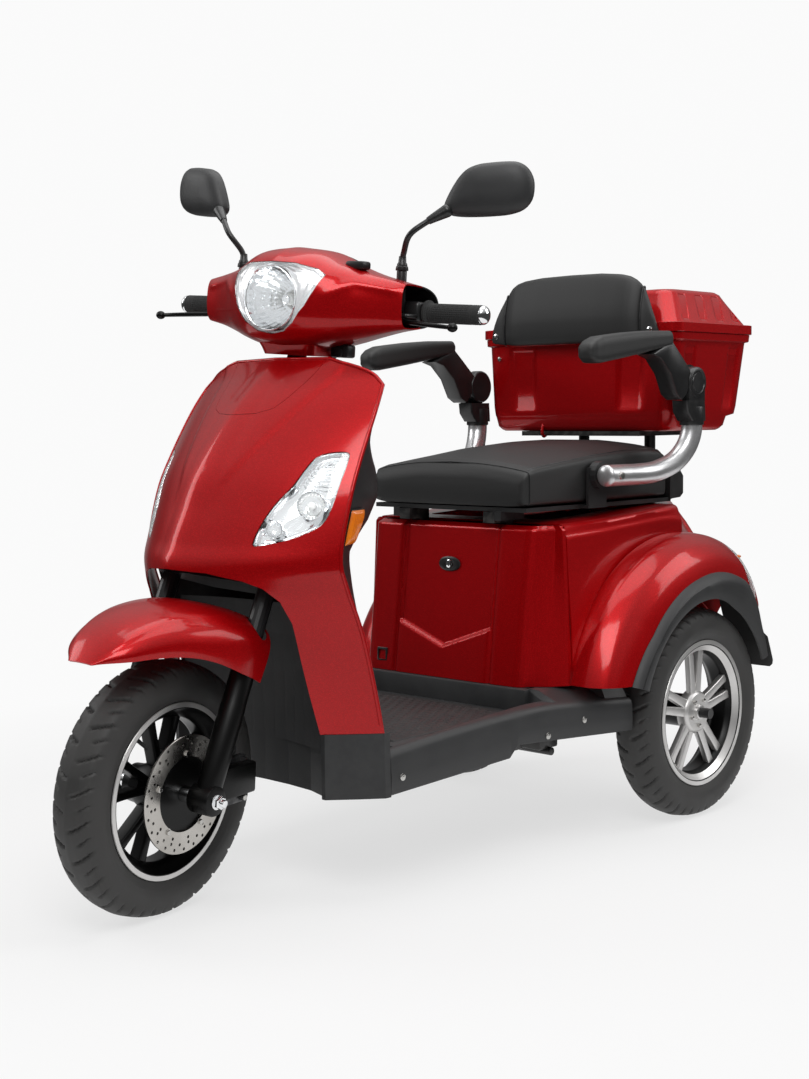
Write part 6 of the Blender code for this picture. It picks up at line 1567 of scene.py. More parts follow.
@dataclass
class FrontWheel:
    """Front wheel with its brake disc, axle, caliper and hose."""

    style: WheelStyle = field(default_factory=WheelStyle)
    hub_face: float = 0.0545
    disc_radius: float = 0.095
    disc_bore: float = 0.060
    disc_wall: float = 0.004
    bolt_circle: float = 0.0655
    valve_angle: float = 2.2

    @property
    def centre(self) -> Vector:
        """Middle of the axle."""
        return LAYOUT.front_axle

    @property
    def pattern(self) -> Vector:
        """Middle of the axle in the frame, for patterns that run round it."""
        return LAYOUT.placing(True) @ self.centre

    def build(self, shop: Workshop) -> None:
        """Make the tyre, rim, disc and brake.

        Args:
            shop: the workshop that finishes the pieces.
        """
        shop.piece("front_tread", self.style.tyre(self.centre), TYRE, "front_wheel", ["front_tyre"],
                   steered=True)
        self.build_rim(shop)
        self.build_disc(shop)
        self.build_axle(shop)
        self.build_caliper(shop)

    def build_rim(self, shop: Workshop) -> None:
        """Make the black casting and its machined rings.

        Args:
            shop: the workshop that finishes the pieces.
        """
        casting = self.style.rim(self.centre)
        for k in range(self.style.spoke_pairs):
            angle = math.pi / 2 + 2 * math.pi * k / self.style.spoke_pairs
            for sign in (1, -1):
                self.style.spoke(casting, self.centre, angle + sign * math.radians(7),
                                 angle + sign * math.radians(15), 0.024, 0.1205, (0.0135, 0.0130), -0.0125,
                                 0.0125)
            self.style.spoke(casting, self.centre, angle, angle, 0.026, 0.060, (0.020, 0.010), -0.0095,
                             0.0095)
        hub = [(-0.050, 0.0088), (-0.050, 0.0275), (-0.0475, 0.031), (-0.030, 0.0325), (-0.014, 0.040),
               (0.014, 0.040), (0.030, 0.0345), (0.0400, 0.0345), (0.0440, 0.0660), (0.0500, 0.0705),
               (0.0545, 0.0705), (0.0545, 0.0088)]
        casting.spin(hub, self.centre, steps=72, closed=True)
        shop.piece("front_casting", casting.outwards(), BLACK_ALLOY, "front_wheel", ["front_rim"],
                   steered=True, smooth=35.0)
        for side, sign in (("left", 1.0), ("right", -1.0)):
            shop.piece("front_lip_" + side, self.style.lip(self.centre, sign), MACHINED, "front_wheel",
                       steered=True, smooth=35.0, centre=self.pattern, turn=LAYOUT.turned)
        valve = self.centre + about_axle(0.012, self.valve_angle, 0.1160)
        tip = valve + about_axle(0.016, self.valve_angle, -0.020)
        shop.piece("front_valve", Blank().bar(valve, tip, 0.0035, 0.0030, 16, 0.0006).outwards(), GRIP,
                   "front_wheel", steered=True)

    def build_disc(self, shop: Workshop) -> None:
        """Make the drilled disc, its carrier face and bolts.

        Args:
            shop: the workshop that finishes the pieces.
        """
        low = self.hub_face + 0.0004
        high = low + self.disc_wall
        ring = [(low, self.disc_bore), (low, self.disc_radius - 0.0008), (low + 0.0006, self.disc_radius),
                (high - 0.0006, self.disc_radius), (high, self.disc_radius - 0.0008), (high, self.disc_bore)]
        holes = Blank()
        for count, radius, shift in ((24, 0.0885, 0.0), (24, 0.0800, 0.5), (12, 0.0715, 0.25)):
            for k in range(count):
                angle = 2 * math.pi * (k + shift) / count
                spot = self.centre + about_axle(low - 0.002, angle, radius)
                holes.bar(spot, spot + Vector((self.disc_wall + 0.004, 0.0, 0.0)), 0.0026, steps=16)
        disc = Blank().spin(ring, self.centre, steps=96, closed=True).outwards()
        shop.piece("disc_ring", disc, DISC, "front_wheel", ["brake_disc"], steered=True, smooth=35.0,
                   cuts=[holes], centre=self.pattern, turn=LAYOUT.turned)
        bolts = Blank()
        for k in range(5):
            angle = 2 * math.pi * (k + 0.25) / 5
            spot = self.centre + about_axle(self.hub_face, angle, self.bolt_circle)
            bolts.bar(spot, spot + Vector((0.0040, 0.0, 0.0)), 0.0068, steps=24, soft=0.0005)
            bolts.bar(spot + Vector((0.0040, 0, 0)), spot + Vector((0.0072, 0.0, 0.0)), 0.0048, steps=6,
                      soft=0.0004)
        shop.piece("disc_bolts", bolts.outwards(), STEEL, "front_wheel", steered=True, smooth=30.0)

    def build_axle(self, shop: Workshop) -> None:
        """Make the axle with its spacers, washers and nuts.

        Args:
            shop: the workshop that finishes the pieces.
        """
        outer, inner = LAYOUT.leg_offset + 0.0211, LAYOUT.leg_offset - 0.0211
        axle = Blank().bar(self.centre - Vector((outer + 0.0175, 0, 0)),
                           self.centre + Vector((outer + 0.0175, 0, 0)), 0.0062, steps=24, soft=0.0008)
        for sign in (1.0, -1.0):
            def at(x: float) -> Vector:
                """Return the point at a place across."""
                return self.centre + Vector((sign * x, 0.0, 0.0))
            start = self.hub_face + 0.0004 if sign > 0 else 0.0504
            axle.bar(at(start), at(inner), 0.0130, steps=32, soft=0.0008)
            axle.bar(at(outer), at(outer + 0.0022), 0.0125, steps=32, soft=0.0005)
            axle.bar(at(outer + 0.0022), at(outer + 0.0112), 0.0108, steps=6, soft=0.0010)
        shop.piece("axle_and_nuts", axle.outwards(), CHROME, "fork", ["front_axle"], steered=True,
                   smooth=30.0)

    def build_caliper(self, shop: Workshop) -> None:
        """Make the caliper with its slides and bolts, and the hose.

        Args:
            shop: the workshop that finishes the pieces.
        """
        y, z = LAYOUT.front_y, LAYOUT.tyre_radius
        caliper = Blank()
        caliper.block((0.0450, y + 0.0760, z - 0.036), (0.0530, y + 0.1270, z + 0.044), 0.004)
        caliper.block((0.0605, y + 0.0760, z - 0.036), (0.0760, y + 0.1290, z + 0.044), 0.005)
        caliper.block((0.0455, y + 0.1010, z - 0.030), (0.0755, y + 0.1290, z + 0.038), 0.005)
        caliper.bar((0.0760, y + 0.1010, z + 0.006), (0.0840, y + 0.1010, z + 0.006), 0.0185, steps=40,
                    soft=0.002)
        for rise in (-0.026, 0.034):
            caliper.bar((0.0500, y + 0.1190, z + rise), (0.0835, y + 0.1190, z + rise), 0.0062, steps=20,
                        soft=0.001)
        shop.piece("caliper_body", caliper.outwards(), CAST, "fork", ["brake_caliper"], steered=True,
                   smooth=35.0)
        bolts = Blank()
        for rise in (-0.026, 0.034):
            bolts.bar((0.0790, y + 0.1190, z + rise), (0.0845, y + 0.1190, z + rise), 0.0052, steps=6,
                      soft=0.0006)
        bolts.bar((0.0835, y + 0.1010, z + 0.006), (0.0845, y + 0.1010, z + 0.006), 0.0070, steps=6,
                  soft=0.0003)
        bolts.bar((0.0650, y + 0.0960, z + 0.0430), (0.0650, y + 0.0960, z + 0.0478), 0.0042, steps=6,
                  soft=0.0005)
        shop.piece("caliper_bolts", bolts.outwards(), STEEL, "fork", steered=True, smooth=30.0)
        points = [(0.068, y + 0.103, z + 0.0484), (0.070, y + 0.104, z + 0.080),
                  (0.078, y + 0.118, z + 0.140), (0.080, y + 0.128, z + 0.190), (0.072, y + 0.128, z + 0.225)]
        hose = Blank().tube(smooth_route(points, 8), 0.0027, 16)
        hose.bar((0.068, y + 0.103, z + 0.0480), (0.0686, y + 0.1033, z + 0.0600), 0.0044, 0.0036, 20, 0.0006)
        shop.piece("front_hose", hose.outwards(), GRIP, "fork", ["brake_hose"], steered=True)


@dataclass
class Fork:
    """Telescopic fork: sliders with boots, and the yoke above."""

    slider_top: float = 0.225
    fender_wall: float = 0.1268

    def build(self, shop: Workshop) -> None:
        """Make the sliders and their dust boots, and dress the yoke.

        Args:
            shop: the workshop that finishes the pieces.
        """
        for side, hand in (("left", 1), ("right", -1)):
            self.build_slider(shop, side, hand)
        shop.dress(ENAMEL, "steering_stem")

    def build_slider(self, shop: Workshop, side: str, hand: int) -> None:
        """Make one slider with its foot, lugs and dust boot.

        Args:
            shop: the workshop that finishes the pieces.
            side: left or right, for the pieces' names.
            hand: 1 on the rider's left, -1 on the right.
        """
        def along(up: float, x: float = LAYOUT.leg_offset) -> Vector:
            """Return a point along the leg."""
            return LAYOUT.steer_point(hand * x, LAYOUT.axle_lead, up)
        centre = LAYOUT.front_axle + Vector((hand * LAYOUT.leg_offset, 0.0, 0.0))
        reach = Vector((0.0206, 0.0, 0.0))
        line = LAYOUT.up
        profile = [(-0.024, 0.010), (-0.024, 0.0165), (-0.018, 0.0198), (0.060, 0.0202), (0.064, 0.0205),
                   (0.150, 0.0205), (0.153, 0.0199), (self.slider_top - 0.014, 0.0199),
                   (self.slider_top - 0.011, 0.0205), (self.slider_top - 0.001, 0.0205),
                   (self.slider_top, 0.0198), (self.slider_top, 0.0162), (-0.010, 0.0162), (-0.010, 0.010)]
        leg = Blank().spin(profile, along(0.0), line, 48, closed=True)
        leg.bar(centre - reach, centre + reach, 0.0238, steps=48, soft=0.002)
        wall = self.fender_wall - 0.0052
        leg.bar(along(self.slider_top - 0.014), along(self.slider_top - 0.014, wall), 0.0078, steps=24,
                soft=0.0008)
        if hand > 0:
            leg.block((0.0849, LAYOUT.front_y + 0.012, LAYOUT.tyre_radius - 0.0115),
                      (0.1055, LAYOUT.front_y + 0.1190, LAYOUT.tyre_radius + 0.0395), 0.004)
        shop.piece("slider_" + side, leg.outwards(), BLACK_ALLOY, "fork", ["fork_slider_" + side],
                   steered=True, smooth=38.0)
        boot = [(self.slider_top + 0.0001, 0.0158), (self.slider_top + 0.0001, 0.0196),
                (self.slider_top + 0.004, 0.0192), (self.slider_top + 0.009, 0.0172),
                (self.slider_top + 0.010, 0.0158)]
        shop.piece("dust_seal_" + side, Blank().spin(boot, along(0.0), line, 40, closed=True).outwards(),
                   GRIP, "fork", steered=True)


@dataclass
class HeadCowl:
    """Red cowl round the handlebar with the headlight, and the black cover behind it."""

    half: float = 0.205
    back: float = -0.178
    crest: float = -0.275
    split: float = -0.232
    wall: float = 0.0025
    seam: float = 0.0006
    fold_height: float = 0.0034
    fold_line: Outline = ((0.086, 0.984), (0.131, 1.017), (0.190, 1.006))
    fold_width: float = 0.0075
    square_y: float = 0.75
    square_z: float = 0.8
    bowl_z: float = 0.985
    bowl_radius: float = 0.053
    lens_front: float = -0.45
    lens_back: float = -0.325
    post: tuple[float, float] = (0.168, -0.240)
    post_hole: float = 0.0092
    front: Knots = field(default_factory=lambda: Knots(
        (0.0, -0.394), (0.05, -0.388), (0.09, -0.364), (0.13, -0.334), (0.17, -0.308), (0.205, -0.293)))
    top: Knots = field(default_factory=lambda: Knots(
        (0.0, 1.074), (0.05, 1.068), (0.09, 1.050), (0.13, 1.036), (0.17, 1.026), (0.205, 1.018)))
    bottom: Knots = field(default_factory=lambda: Knots(
        (0.0, 0.902), (0.05, 0.905), (0.09, 0.914), (0.13, 0.926), (0.17, 0.937), (0.205, 0.944)))
    lens: Outline = ((0.0, 1.046), (0.045, 1.044), (0.078, 1.036), (0.092, 1.026), (0.082, 1.000),
                     (0.070, 0.974), (0.050, 0.946), (0.028, 0.931), (0.0, 0.926))

    def point(self, x: float, angle: float, inset: float = 0.0) -> Vector:
        """Return a point of the cowl.

        Args:
            x: place across.
            angle: 0 straight behind, a quarter turn at the top, half a turn in front.
            inset: how far it lies inside the skin.

        Returns:
            The point.
        """
        side = abs(x)
        front = self.front.smooth(side) + inset
        top = self.top.smooth(side) - inset
        bottom = self.bottom.smooth(side) + inset
        c, s = math.cos(angle), math.sin(angle)
        reach = (self.back - inset - self.crest) if c > 0 else (self.crest - front)
        y = self.crest + reach * signed_power(c, self.square_y)
        z = (top + bottom) / 2 + (top - bottom) / 2 * signed_power(s, self.square_z)
        return Vector((x, y - (self.fold(side, z) if c < 0 else 0.0), z))

    def fold(self, side: float, z: float) -> float:
        """Return how far the cowl stands out along the fold that leaves the lens's upper corner.

        Args:
            side: distance from the middle plane.
            z: height.

        Returns:
            The height of the fold there.
        """
        gap = 1.0
        for (ax, az), (bx, bz) in zip(self.fold_line, self.fold_line[1:]):
            along = ((side - ax) * (bx - ax) + (z - az) * (bz - az)) / ((bx - ax) ** 2 + (bz - az) ** 2)
            along = max(0.0, min(1.0, along))
            gap = min(gap, math.hypot(side - ax - (bx - ax) * along, z - az - (bz - az) * along))
        return self.fold_height * math.exp(-(gap / self.fold_width) ** 2) * step(0.088, 0.106, side)

    def front_at(self, x: float, z: float, inset: float = 0.0) -> Vector:
        """Return the point of the cowl's front seen from straight ahead at x and z.

        Args:
            x: place across.
            z: height.
            inset: how far it lies inside the skin.

        Returns:
            The point.
        """
        side = abs(x)
        top, bottom = self.top.smooth(side) - inset, self.bottom.smooth(side) + inset
        share = max(-1.0, min(1.0, (z - (top + bottom) / 2) / ((top - bottom) / 2)))
        s = signed_power(share, 1.0 / self.square_z)
        c = math.sqrt(max(0.0, 1.0 - s * s))
        front = self.front.smooth(side) + inset
        return Vector((x, self.crest - (self.crest - front) * c ** self.square_y - self.fold(side, z), z))

    def skin(self) -> Blank:
        """Return the whole cowl as a fine open tube.

        Returns:
            The sheet.
        """
        def surface(u: float, v: float) -> Vector:
            """Return the point at two shares of the sheet."""
            return self.point((v * 2.0 - 1.0) * self.half, 2 * math.pi * u)
        blank = Blank().sheet(surface, 96, 72).weld()
        bmesh.ops.recalc_face_normals(blank.mesh, faces=blank.mesh.faces)
        return blank.facing_away(Vector((0.0, self.crest, 0.985)))

    def build(self, shop: Workshop) -> None:
        """Make the cowl, its collar, the rear cover and the headlight.

        Args:
            shop: the workshop that finishes the pieces.
        """
        window = both_sides(self.lens)
        hole = Blank().prism(rounded_rectangle(0.058, -0.334, -0.2385, 0.016), 0.88, 0.93, "z")
        glass = Blank().prism(window, self.lens_front, self.lens_back)
        rear = Blank().block((-0.3, self.split, 0.8), (0.3, 0.0, 1.2))
        shop.piece("cowl_face", self.skin(), RED, "steering", ["head_cowl"], steered=True, wall=self.wall,
                   cuts=[glass, rear, *self.post_holes(), hole])
        collar = []
        for z, half, low, high in ((0.8925, 0.052, -0.330, -0.238), (0.905, 0.056, -0.335, -0.2355),
                                   (0.921, 0.064, -0.342, -0.2325)):
            collar.append([(x, y, z) for x, y in rounded_rectangle(half, low, high, 0.018)])
        skirt = Blank().loft(collar, caps=False).facing_away(Vector((0.0, -0.286, 0.905)))
        shop.piece("cowl_collar", skirt, RED, "steering", steered=True, wall=0.003)
        keep = Blank().block((-0.3, self.split + self.seam, 0.8), (0.3, 0.0, 1.2))
        shop.piece("dash_shell", self.skin(), BLACK, "steering", ["dash_cover"], steered=True, wall=self.wall,
                   keeps=[keep], cuts=self.post_holes())
        self.build_dash(shop)
        self.build_headlight(shop, window)

    def post_holes(self) -> list[Blank]:
        """Return the holes that the mirrors' posts pass through."""
        x, y = self.post
        return [Blank().bar((hand * x, y, 1.0), (hand * x, y, 1.1), self.post_hole, steps=32)
                for hand in (1, -1)]

    def build_dash(self, shop: Workshop) -> None:
        """Make the instrument and its frame on the rear cover.

        Args:
            shop: the workshop that finishes the pieces.
        """
        def face(u: float, v: float, rise: float) -> Vector:
            """Return a point of the instrument."""
            return self.point((u * 2.0 - 1.0) * 0.074, math.radians(24.0 + 38.0 * v), -rise)

        def frame(u: float, v: float) -> Vector:
            """Return a point of the instrument's frame."""
            return self.point((u * 2.0 - 1.0) * 0.082, math.radians(20.0 + 46.0 * v), -0.0012)
        inside = Vector((0.0, -0.26, 0.98))
        shop.piece("dash_frame", Blank().sheet(frame, 40, 24).facing_away(inside), SATIN, "steering",
                   steered=True, wall=0.0020, edge=0.0005)
        shop.piece("dash_glass", Blank().sheet(lambda u, v: face(u, v, 0.0020), 40, 24).facing_away(inside),
                   SCREEN, "steering", steered=True, wall=0.0012, edge=0.0004)
        cap = self.point(0.112, math.radians(96.0))
        unit = Blank().block(cap + Vector((-0.018, -0.012, -0.003)), cap + Vector((0.018, 0.014, 0.0110)),
                             0.004)
        shop.piece("cowl_sensor", unit.outwards(), SATIN, "steering", steered=True)
        horn = Blank().block((0.062, -0.288, 0.8920), (0.098, -0.262, 0.9140), 0.004)
        horn.bar((0.080, -0.291, 0.9020), (0.080, -0.286, 0.9020), 0.0095, steps=32, soft=0.001)
        horn.tube(smooth_route([(0.066, -0.272, 0.896), (0.058, -0.268, 0.891), (0.050, -0.266, 0.8930)],
                               6), 0.0022, 10)
        shop.piece("horn_unit", horn.outwards(), SATIN, "steering", steered=True)

    def lens_reach(self, window: Outline, c: float, s: float) -> float:
        """Return how far the lens's outline lies from the bowl's middle in a direction.

        Args:
            window: the lens's outline.
            c: the direction's part across.
            s: the direction's part up.

        Returns:
            The distance.
        """
        best = 0.0
        for (ax, az), (bx, bz) in zip(window, [*window[1:], window[0]]):
            ax, az, bx, bz = ax, az - self.bowl_z, bx, bz - self.bowl_z
            turn = c * (bz - az) - s * (bx - ax)
            if abs(turn) < 1e-9:
                continue
            far = (ax * (bz - az) - az * (bx - ax)) / turn
            share = (ax * s - az * c) / turn
            if far > 0.0 and -1e-6 <= share <= 1.0 + 1e-6:
                best = max(best, far)
        return best

    def build_headlight(self, shop: Workshop, window: Outline) -> None:
        """Make the lens, the silver mask, the fluted bowl and the lamp.

        Args:
            shop: the workshop that finishes the pieces.
            window: the lens's outline.
        """
        keep = Blank().prism(grown(window, -self.seam), self.lens_front, self.lens_back)
        shop.piece("headlight_glass", self.skin(), GLASS, "steering", ["headlight_lens"], steered=True,
                   wall=0.0020, keeps=[keep])
        centre = Vector((0.0, 0.0, self.bowl_z))

        def backing(u: float, v: float) -> Vector:
            """Return a point of the mask, from the bowl's rim to the lens's edge."""
            angle = 2 * math.pi * v
            c, s = math.cos(angle), math.sin(angle)
            edge = self.lens_reach(window, c, s) - 0.0020
            radius = min(self.bowl_radius, edge - 0.0010)
            radius += (edge - radius) * u
            flute = 0.0006 * math.sin(u * 2 * math.pi * 3.0) * step(0.0, 0.02, edge - self.bowl_radius)
            return self.front_at(radius * c, self.bowl_z + radius * s, 0.0110 - 0.0070 * u ** 3 + flute)
        mask = Blank().sheet(backing, 24, 160).weld().facing_away(Vector((0.0, 1.0, 0.985)))
        shop.piece("headlight_mask", mask, SILVER, "steering", steered=True, wall=0.0010)
        dish = [(0.3745, 0.0512), (0.3700, 0.0500), (0.3560, 0.0470), (0.3400, 0.0410), (0.3250, 0.0325),
                (0.3120, 0.0225), (0.3040, 0.0130), (0.3020, 0.0080)]
        bowl = Blank().spin(dish, centre, (0, -1, 0), steps=30)
        shop.piece("headlight_bowl", bowl.facing_away(Vector((0.0, 1.0, 0.985))), REFLECTOR, "steering",
                   ["headlight_reflector"], steered=True, wall=0.0010, smooth=8.0)
        ring = [(0.3775, 0.0532), (0.3790, 0.0524), (0.3775, 0.0508), (0.3745, 0.0512)]
        bezel = Blank().spin(ring, centre, (0, -1, 0), steps=72, closed=True).outwards()
        shop.piece("headlight_bezel", bezel, CHROME, "steering", steered=True)
        lamp = Blank().bar((0.0, -0.2990, self.bowl_z), (0.0, -0.3180, self.bowl_z), 0.0125, 0.0100, 32,
                           0.0010)
        shop.piece("headlight_socket", lamp.outwards(), STEEL, "steering", steered=True)
        bulb = Blank().ball((0.0, -0.3230, self.bowl_z), 0.0095, (1.0, 1.35, 1.0))
        shop.piece("headlight_bulb", bulb, BULB, "steering", steered=True)
        cap = Blank().ball((0.0, -0.3335, self.bowl_z), 0.0078, (1.0, 0.55, 1.0))
        shop.piece("bulb_cap", cap, CHROME, "steering", steered=True)


@dataclass
class Bars:
    """Handlebar with grips, switches, levers and mirrors."""

    bar_y: float = -0.215
    bar_z: float = 0.973
    reach: float = 0.324
    grip_start: float = 0.206
    grip_radius: float = 0.0165
    lever_root: tuple[float, float, float] = (0.191, -0.262, 0.957)
    lever_tip: tuple[float, float, float] = (0.307, -0.298, 0.950)
    mirror_post: tuple[float, float] = (0.168, -0.240)
    post_top: float = 1.0405
    knee: tuple[float, float, float] = (0.190, -0.256, 1.098)
    join: tuple[float, float, float] = (0.240, -0.2245, 1.140)
    head: tuple[float, float, float] = (0.303, -0.201, 1.177)
    head_half: tuple[float, float] = (0.0745, 0.0432)
    head_depth: float = 0.030
    toe: float = math.radians(18.0)
    tilt: float = math.radians(5.0)
    outline: Outline = ((1.0, 0.0), (0.97, 0.40), (0.85, 0.75), (0.66, 0.95), (0.40, 1.0), (0.10, 1.0),
                        (-0.20, 0.97), (-0.45, 0.84), (-0.63, 0.60), (-0.78, 0.28), (-0.92, -0.10),
                        (-1.02, -0.45), (-1.02, -0.68), (-0.90, -0.86), (-0.65, -0.95), (-0.30, -0.99),
                        (0.10, -1.0), (0.45, -0.97), (0.75, -0.82), (0.94, -0.48))

    def build(self, shop: Workshop) -> None:
        """Make everything on the handlebar.

        Args:
            shop: the workshop that finishes the pieces.
        """
        shop.dress(ENAMEL, "handlebar")
        for side, hand, body in (("left", 1, "steering"), ("right", -1, "throttle")):
            self.build_grip(shop, side, hand, body)
            self.build_switch(shop, side, hand)
            self.build_lever(shop, side, hand)
            self.build_mirror(shop, side, hand)

    def build_grip(self, shop: Workshop, side: str, hand: int, body: str) -> None:
        """Make one grip with its pattern, and its bright end cap.

        Args:
            shop: the workshop that finishes the pieces.
            side: left or right, for the pieces' names.
            hand: 1 on the rider's left, -1 on the right.
            body: the frame body that the pieces ride on.
        """
        start, end = self.grip_start, self.reach - 0.012

        def skin(u: float, v: float) -> Vector:
            """Return a point of the grip."""
            x = start + (end - start) * v
            angle = 2 * math.pi * u
            radius = self.grip_radius
            if x < start + 0.0065:
                reach = x - start
                radius = (0.0215 - 0.0012 * (1.0 - step(0.0, 0.0016, reach))
                          - 0.0044 * step(0.0050, 0.0065, reach))
            else:
                knurl = math.sin(angle * 14.0 + x * 900.0) * math.sin(angle * 14.0 - x * 900.0)
                band = step(start + 0.016, start + 0.019, x) * (1.0 - step(end - 0.020, end - 0.017, x))
                ribs = 0.5 + 0.5 * math.cos((x - start) * 2 * math.pi / 0.0042)
                radius -= 0.0011 * step(0.0, 0.5, knurl) * band + 0.0009 * ribs * (1.0 - band)
            return Vector((hand * x, self.bar_y + math.cos(angle) * radius,
                           self.bar_z + math.sin(angle) * radius))
        blank = Blank().sheet(skin, 112, 110).weld()
        name = "grip_left" if hand > 0 else "throttle_grip"
        inside = Vector((hand * (start + end) / 2, self.bar_y, self.bar_z))
        shop.piece("grip_skin_" + side, blank.facing_away(inside), GRIP, body, [name], steered=True,
                   wall=0.0030)
        cap = [(hand * (self.reach - 0.0118), 0.0), (hand * (self.reach - 0.0118), 0.0150)]
        cap += [(hand * (self.reach - 0.0095 + 0.0103 * math.sin(math.pi / 2 * k / 8)),
                 0.0158 * math.cos(math.pi / 2 * k / 8))
                 for k in range(8)] + [(hand * (self.reach + 0.0008), 0.0)]
        ball = Blank().spin(cap, (0.0, self.bar_y, self.bar_z), steps=40).outwards()
        shop.piece("bar_end_" + side, ball, CHROME, "steering", steered=True)

    def build_switch(self, shop: Workshop, side: str, hand: int) -> None:
        """Make one switch housing with its buttons and the lever's clamp.

        Args:
            shop: the workshop that finishes the pieces.
            side: left or right, for the pieces' names.
            hand: 1 on the rider's left, -1 on the right.
        """
        x, y = self.mirror_post

        def span(low: float, high: float) -> tuple[float, float]:
            """Return two places across in rising order."""
            return (min(hand * low, hand * high), max(hand * low, hand * high))
        low, high = span(0.158, 0.2040)
        case = Blank().block((low, self.bar_y - 0.0240, self.bar_z - 0.0165),
                             (high, self.bar_y + 0.0165, self.bar_z + 0.0185), 0.006)
        low, high = span(0.180, 0.202)
        case.block((low, self.lever_root[1] - 0.011, self.lever_root[2] + 0.0052),
                   (high, self.bar_y - 0.018, self.lever_root[2] + 0.0130), 0.003)
        case.bar((hand * x, y, self.bar_z), (hand * x, y, self.post_top), 0.0085, steps=32, soft=0.0008)
        shop.piece("switch_case_" + side, case.outwards(), SATIN, "steering", ["control_perch_" + side],
                   steered=True, smooth=50.0)
        keys = Blank()
        for place, rise in ((0.170, 0.006), (0.183, 0.006), (0.194, -0.004)):
            keys.block((hand * place - 0.0042, self.bar_y + 0.0160, self.bar_z + rise - 0.0036),
                       (hand * place + 0.0042, self.bar_y + 0.0192, self.bar_z + rise + 0.0036), 0.0012)
        shop.piece("switch_keys_" + side, keys.outwards(), CHARCOAL, "steering", steered=True)

    def build_lever(self, shop: Workshop, side: str, hand: int) -> None:
        """Make one brake lever with its ball end.

        Args:
            shop: the workshop that finishes the pieces.
            side: left or right, for the pieces' names.
            hand: 1 on the rider's left, -1 on the right.
        """
        root, tip = Vector(self.lever_root), Vector(self.lever_tip)
        run = (tip - root).normalized()
        across = Vector((0.0, 0.0, 1.0)).cross(run).normalized()
        rings = []
        for share, wide, tall in ((-0.06, 0.0035, 0.0030), (-0.055, 0.0075, 0.0040), (0.0, 0.0092, 0.0042),
                                  (0.06, 0.0082, 0.0042), (0.15, 0.0066, 0.0042), (0.30, 0.0058, 0.0041),
                                  (0.5, 0.0056, 0.0040), (0.72, 0.0052, 0.0038), (0.93, 0.0046, 0.0036),
                                  (0.945, 0.0030, 0.0026)):
            bow = -0.010 * math.sin(math.pi * max(0.0, min(1.0, share)))
            middle = root + (tip - root) * share + across * bow
            ring = []
            for k in range(20):
                angle = 2 * math.pi * k / 20
                place = middle + across * signed_power(math.cos(angle), 0.7) * wide
                place.z += signed_power(math.sin(angle), 0.7) * tall
                ring.append(Vector((hand * place.x, place.y, place.z)))
            rings.append(ring)
        body = "lever_" + side
        shop.piece("lever_blade_" + side, Blank().loft(rings).outwards(), BLACK_ALLOY, body,
                   ["brake_lever_" + side], steered=True, smooth=50.0)
        ball = Blank().ball((hand * tip.x, tip.y, tip.z), 0.0078, (1.15, 1.0, 0.95))
        shop.piece("lever_ball_" + side, ball, BLACK_ALLOY, body, steered=True)
        bolt = Blank().bar((hand * root.x, root.y, root.z + 0.0030),
                           (hand * root.x, root.y, root.z + 0.0046), 0.0050, steps=6, soft=0.0003)
        shop.piece("lever_bolt_" + side, bolt.outwards(), STEEL, body, steered=True)

    def head_point(self, hand: int, share: float, depth: float, out: float, rise: float) -> Vector:
        """Return a point of a mirror head.

        Args:
            hand: 1 for the left head, -1 for the right.
            share: size of the section.
            depth: 0 at the glass to 1 at the back.
            out: place across the outline.
            rise: place up the outline.

        Returns:
            The point.
        """
        outward = Vector((math.cos(self.toe), math.sin(self.toe), 0.0))
        rearward = Vector((-math.sin(self.toe), math.cos(self.toe), 0.0))
        across, up = self.head_half[0] * share * out, self.head_half[1] * share * rise
        place = Vector(self.head) + outward * (across * math.cos(self.tilt) - up * math.sin(self.tilt))
        place += rearward * (self.head_depth * (0.5 - depth))
        place.z += up * math.cos(self.tilt) + across * math.sin(self.tilt)
        return Vector((hand * place.x, place.y, place.z))

    def build_mirror(self, shop: Workshop, side: str, hand: int) -> None:
        """Make one mirror: boot, stalk, sleeve, head and glass.

        Args:
            shop: the workshop that finishes the pieces.
            side: left or right, for the pieces' names.
            hand: 1 on the rider's left, -1 on the right.
        """
        x, y = self.mirror_post
        stalk = Blank()
        boot = [(self.post_top + 0.0004, 0.0), (self.post_top + 0.0004, 0.0105),
                (self.post_top + 0.0020, 0.0108), (self.post_top + 0.0070, 0.0100),
                (self.post_top + 0.0080, 0.0088), (self.post_top + 0.0095, 0.0088),
                (self.post_top + 0.0120, 0.0082), (self.post_top + 0.0135, 0.0068),
                (self.post_top + 0.0240, 0.0060), (self.post_top + 0.0250, 0.0)]
        stalk.spin(boot, (hand * x, y, 0.0), (0, 0, 1), 40)
        route = [(x, y, self.post_top + 0.015), (x + 0.004, y - 0.003, self.post_top + 0.030), self.knee,
                 (0.213, -0.243, 1.120), self.join]
        stalk.tube([(hand * a, b, c) for a, b, c in smooth_route(route, 10)], 0.0049, 24)
        join = Vector((hand * self.join[0], self.join[1], self.join[2]))
        last = [Vector((hand * p.x, p.y, p.z)) for p in smooth_route(route, 10)][-10:]
        for k, (start, end) in enumerate(zip(last, last[1:])):
            stalk.bar(start, end, 0.0062 + 0.00052 * k, 0.0062 + 0.00052 * (k + 1), 32)
            stalk.ball(end, 0.0062 + 0.00052 * (k + 1))
        stalk.ball(join, 0.0085)
        shop.piece("mirror_arm_" + side, stalk.outwards(), SATIN, "mirror_stalk_" + side,
                   ["mirror_stalk_" + side], steered=True)
        fine = flowing(self.outline, 3)
        rings = []
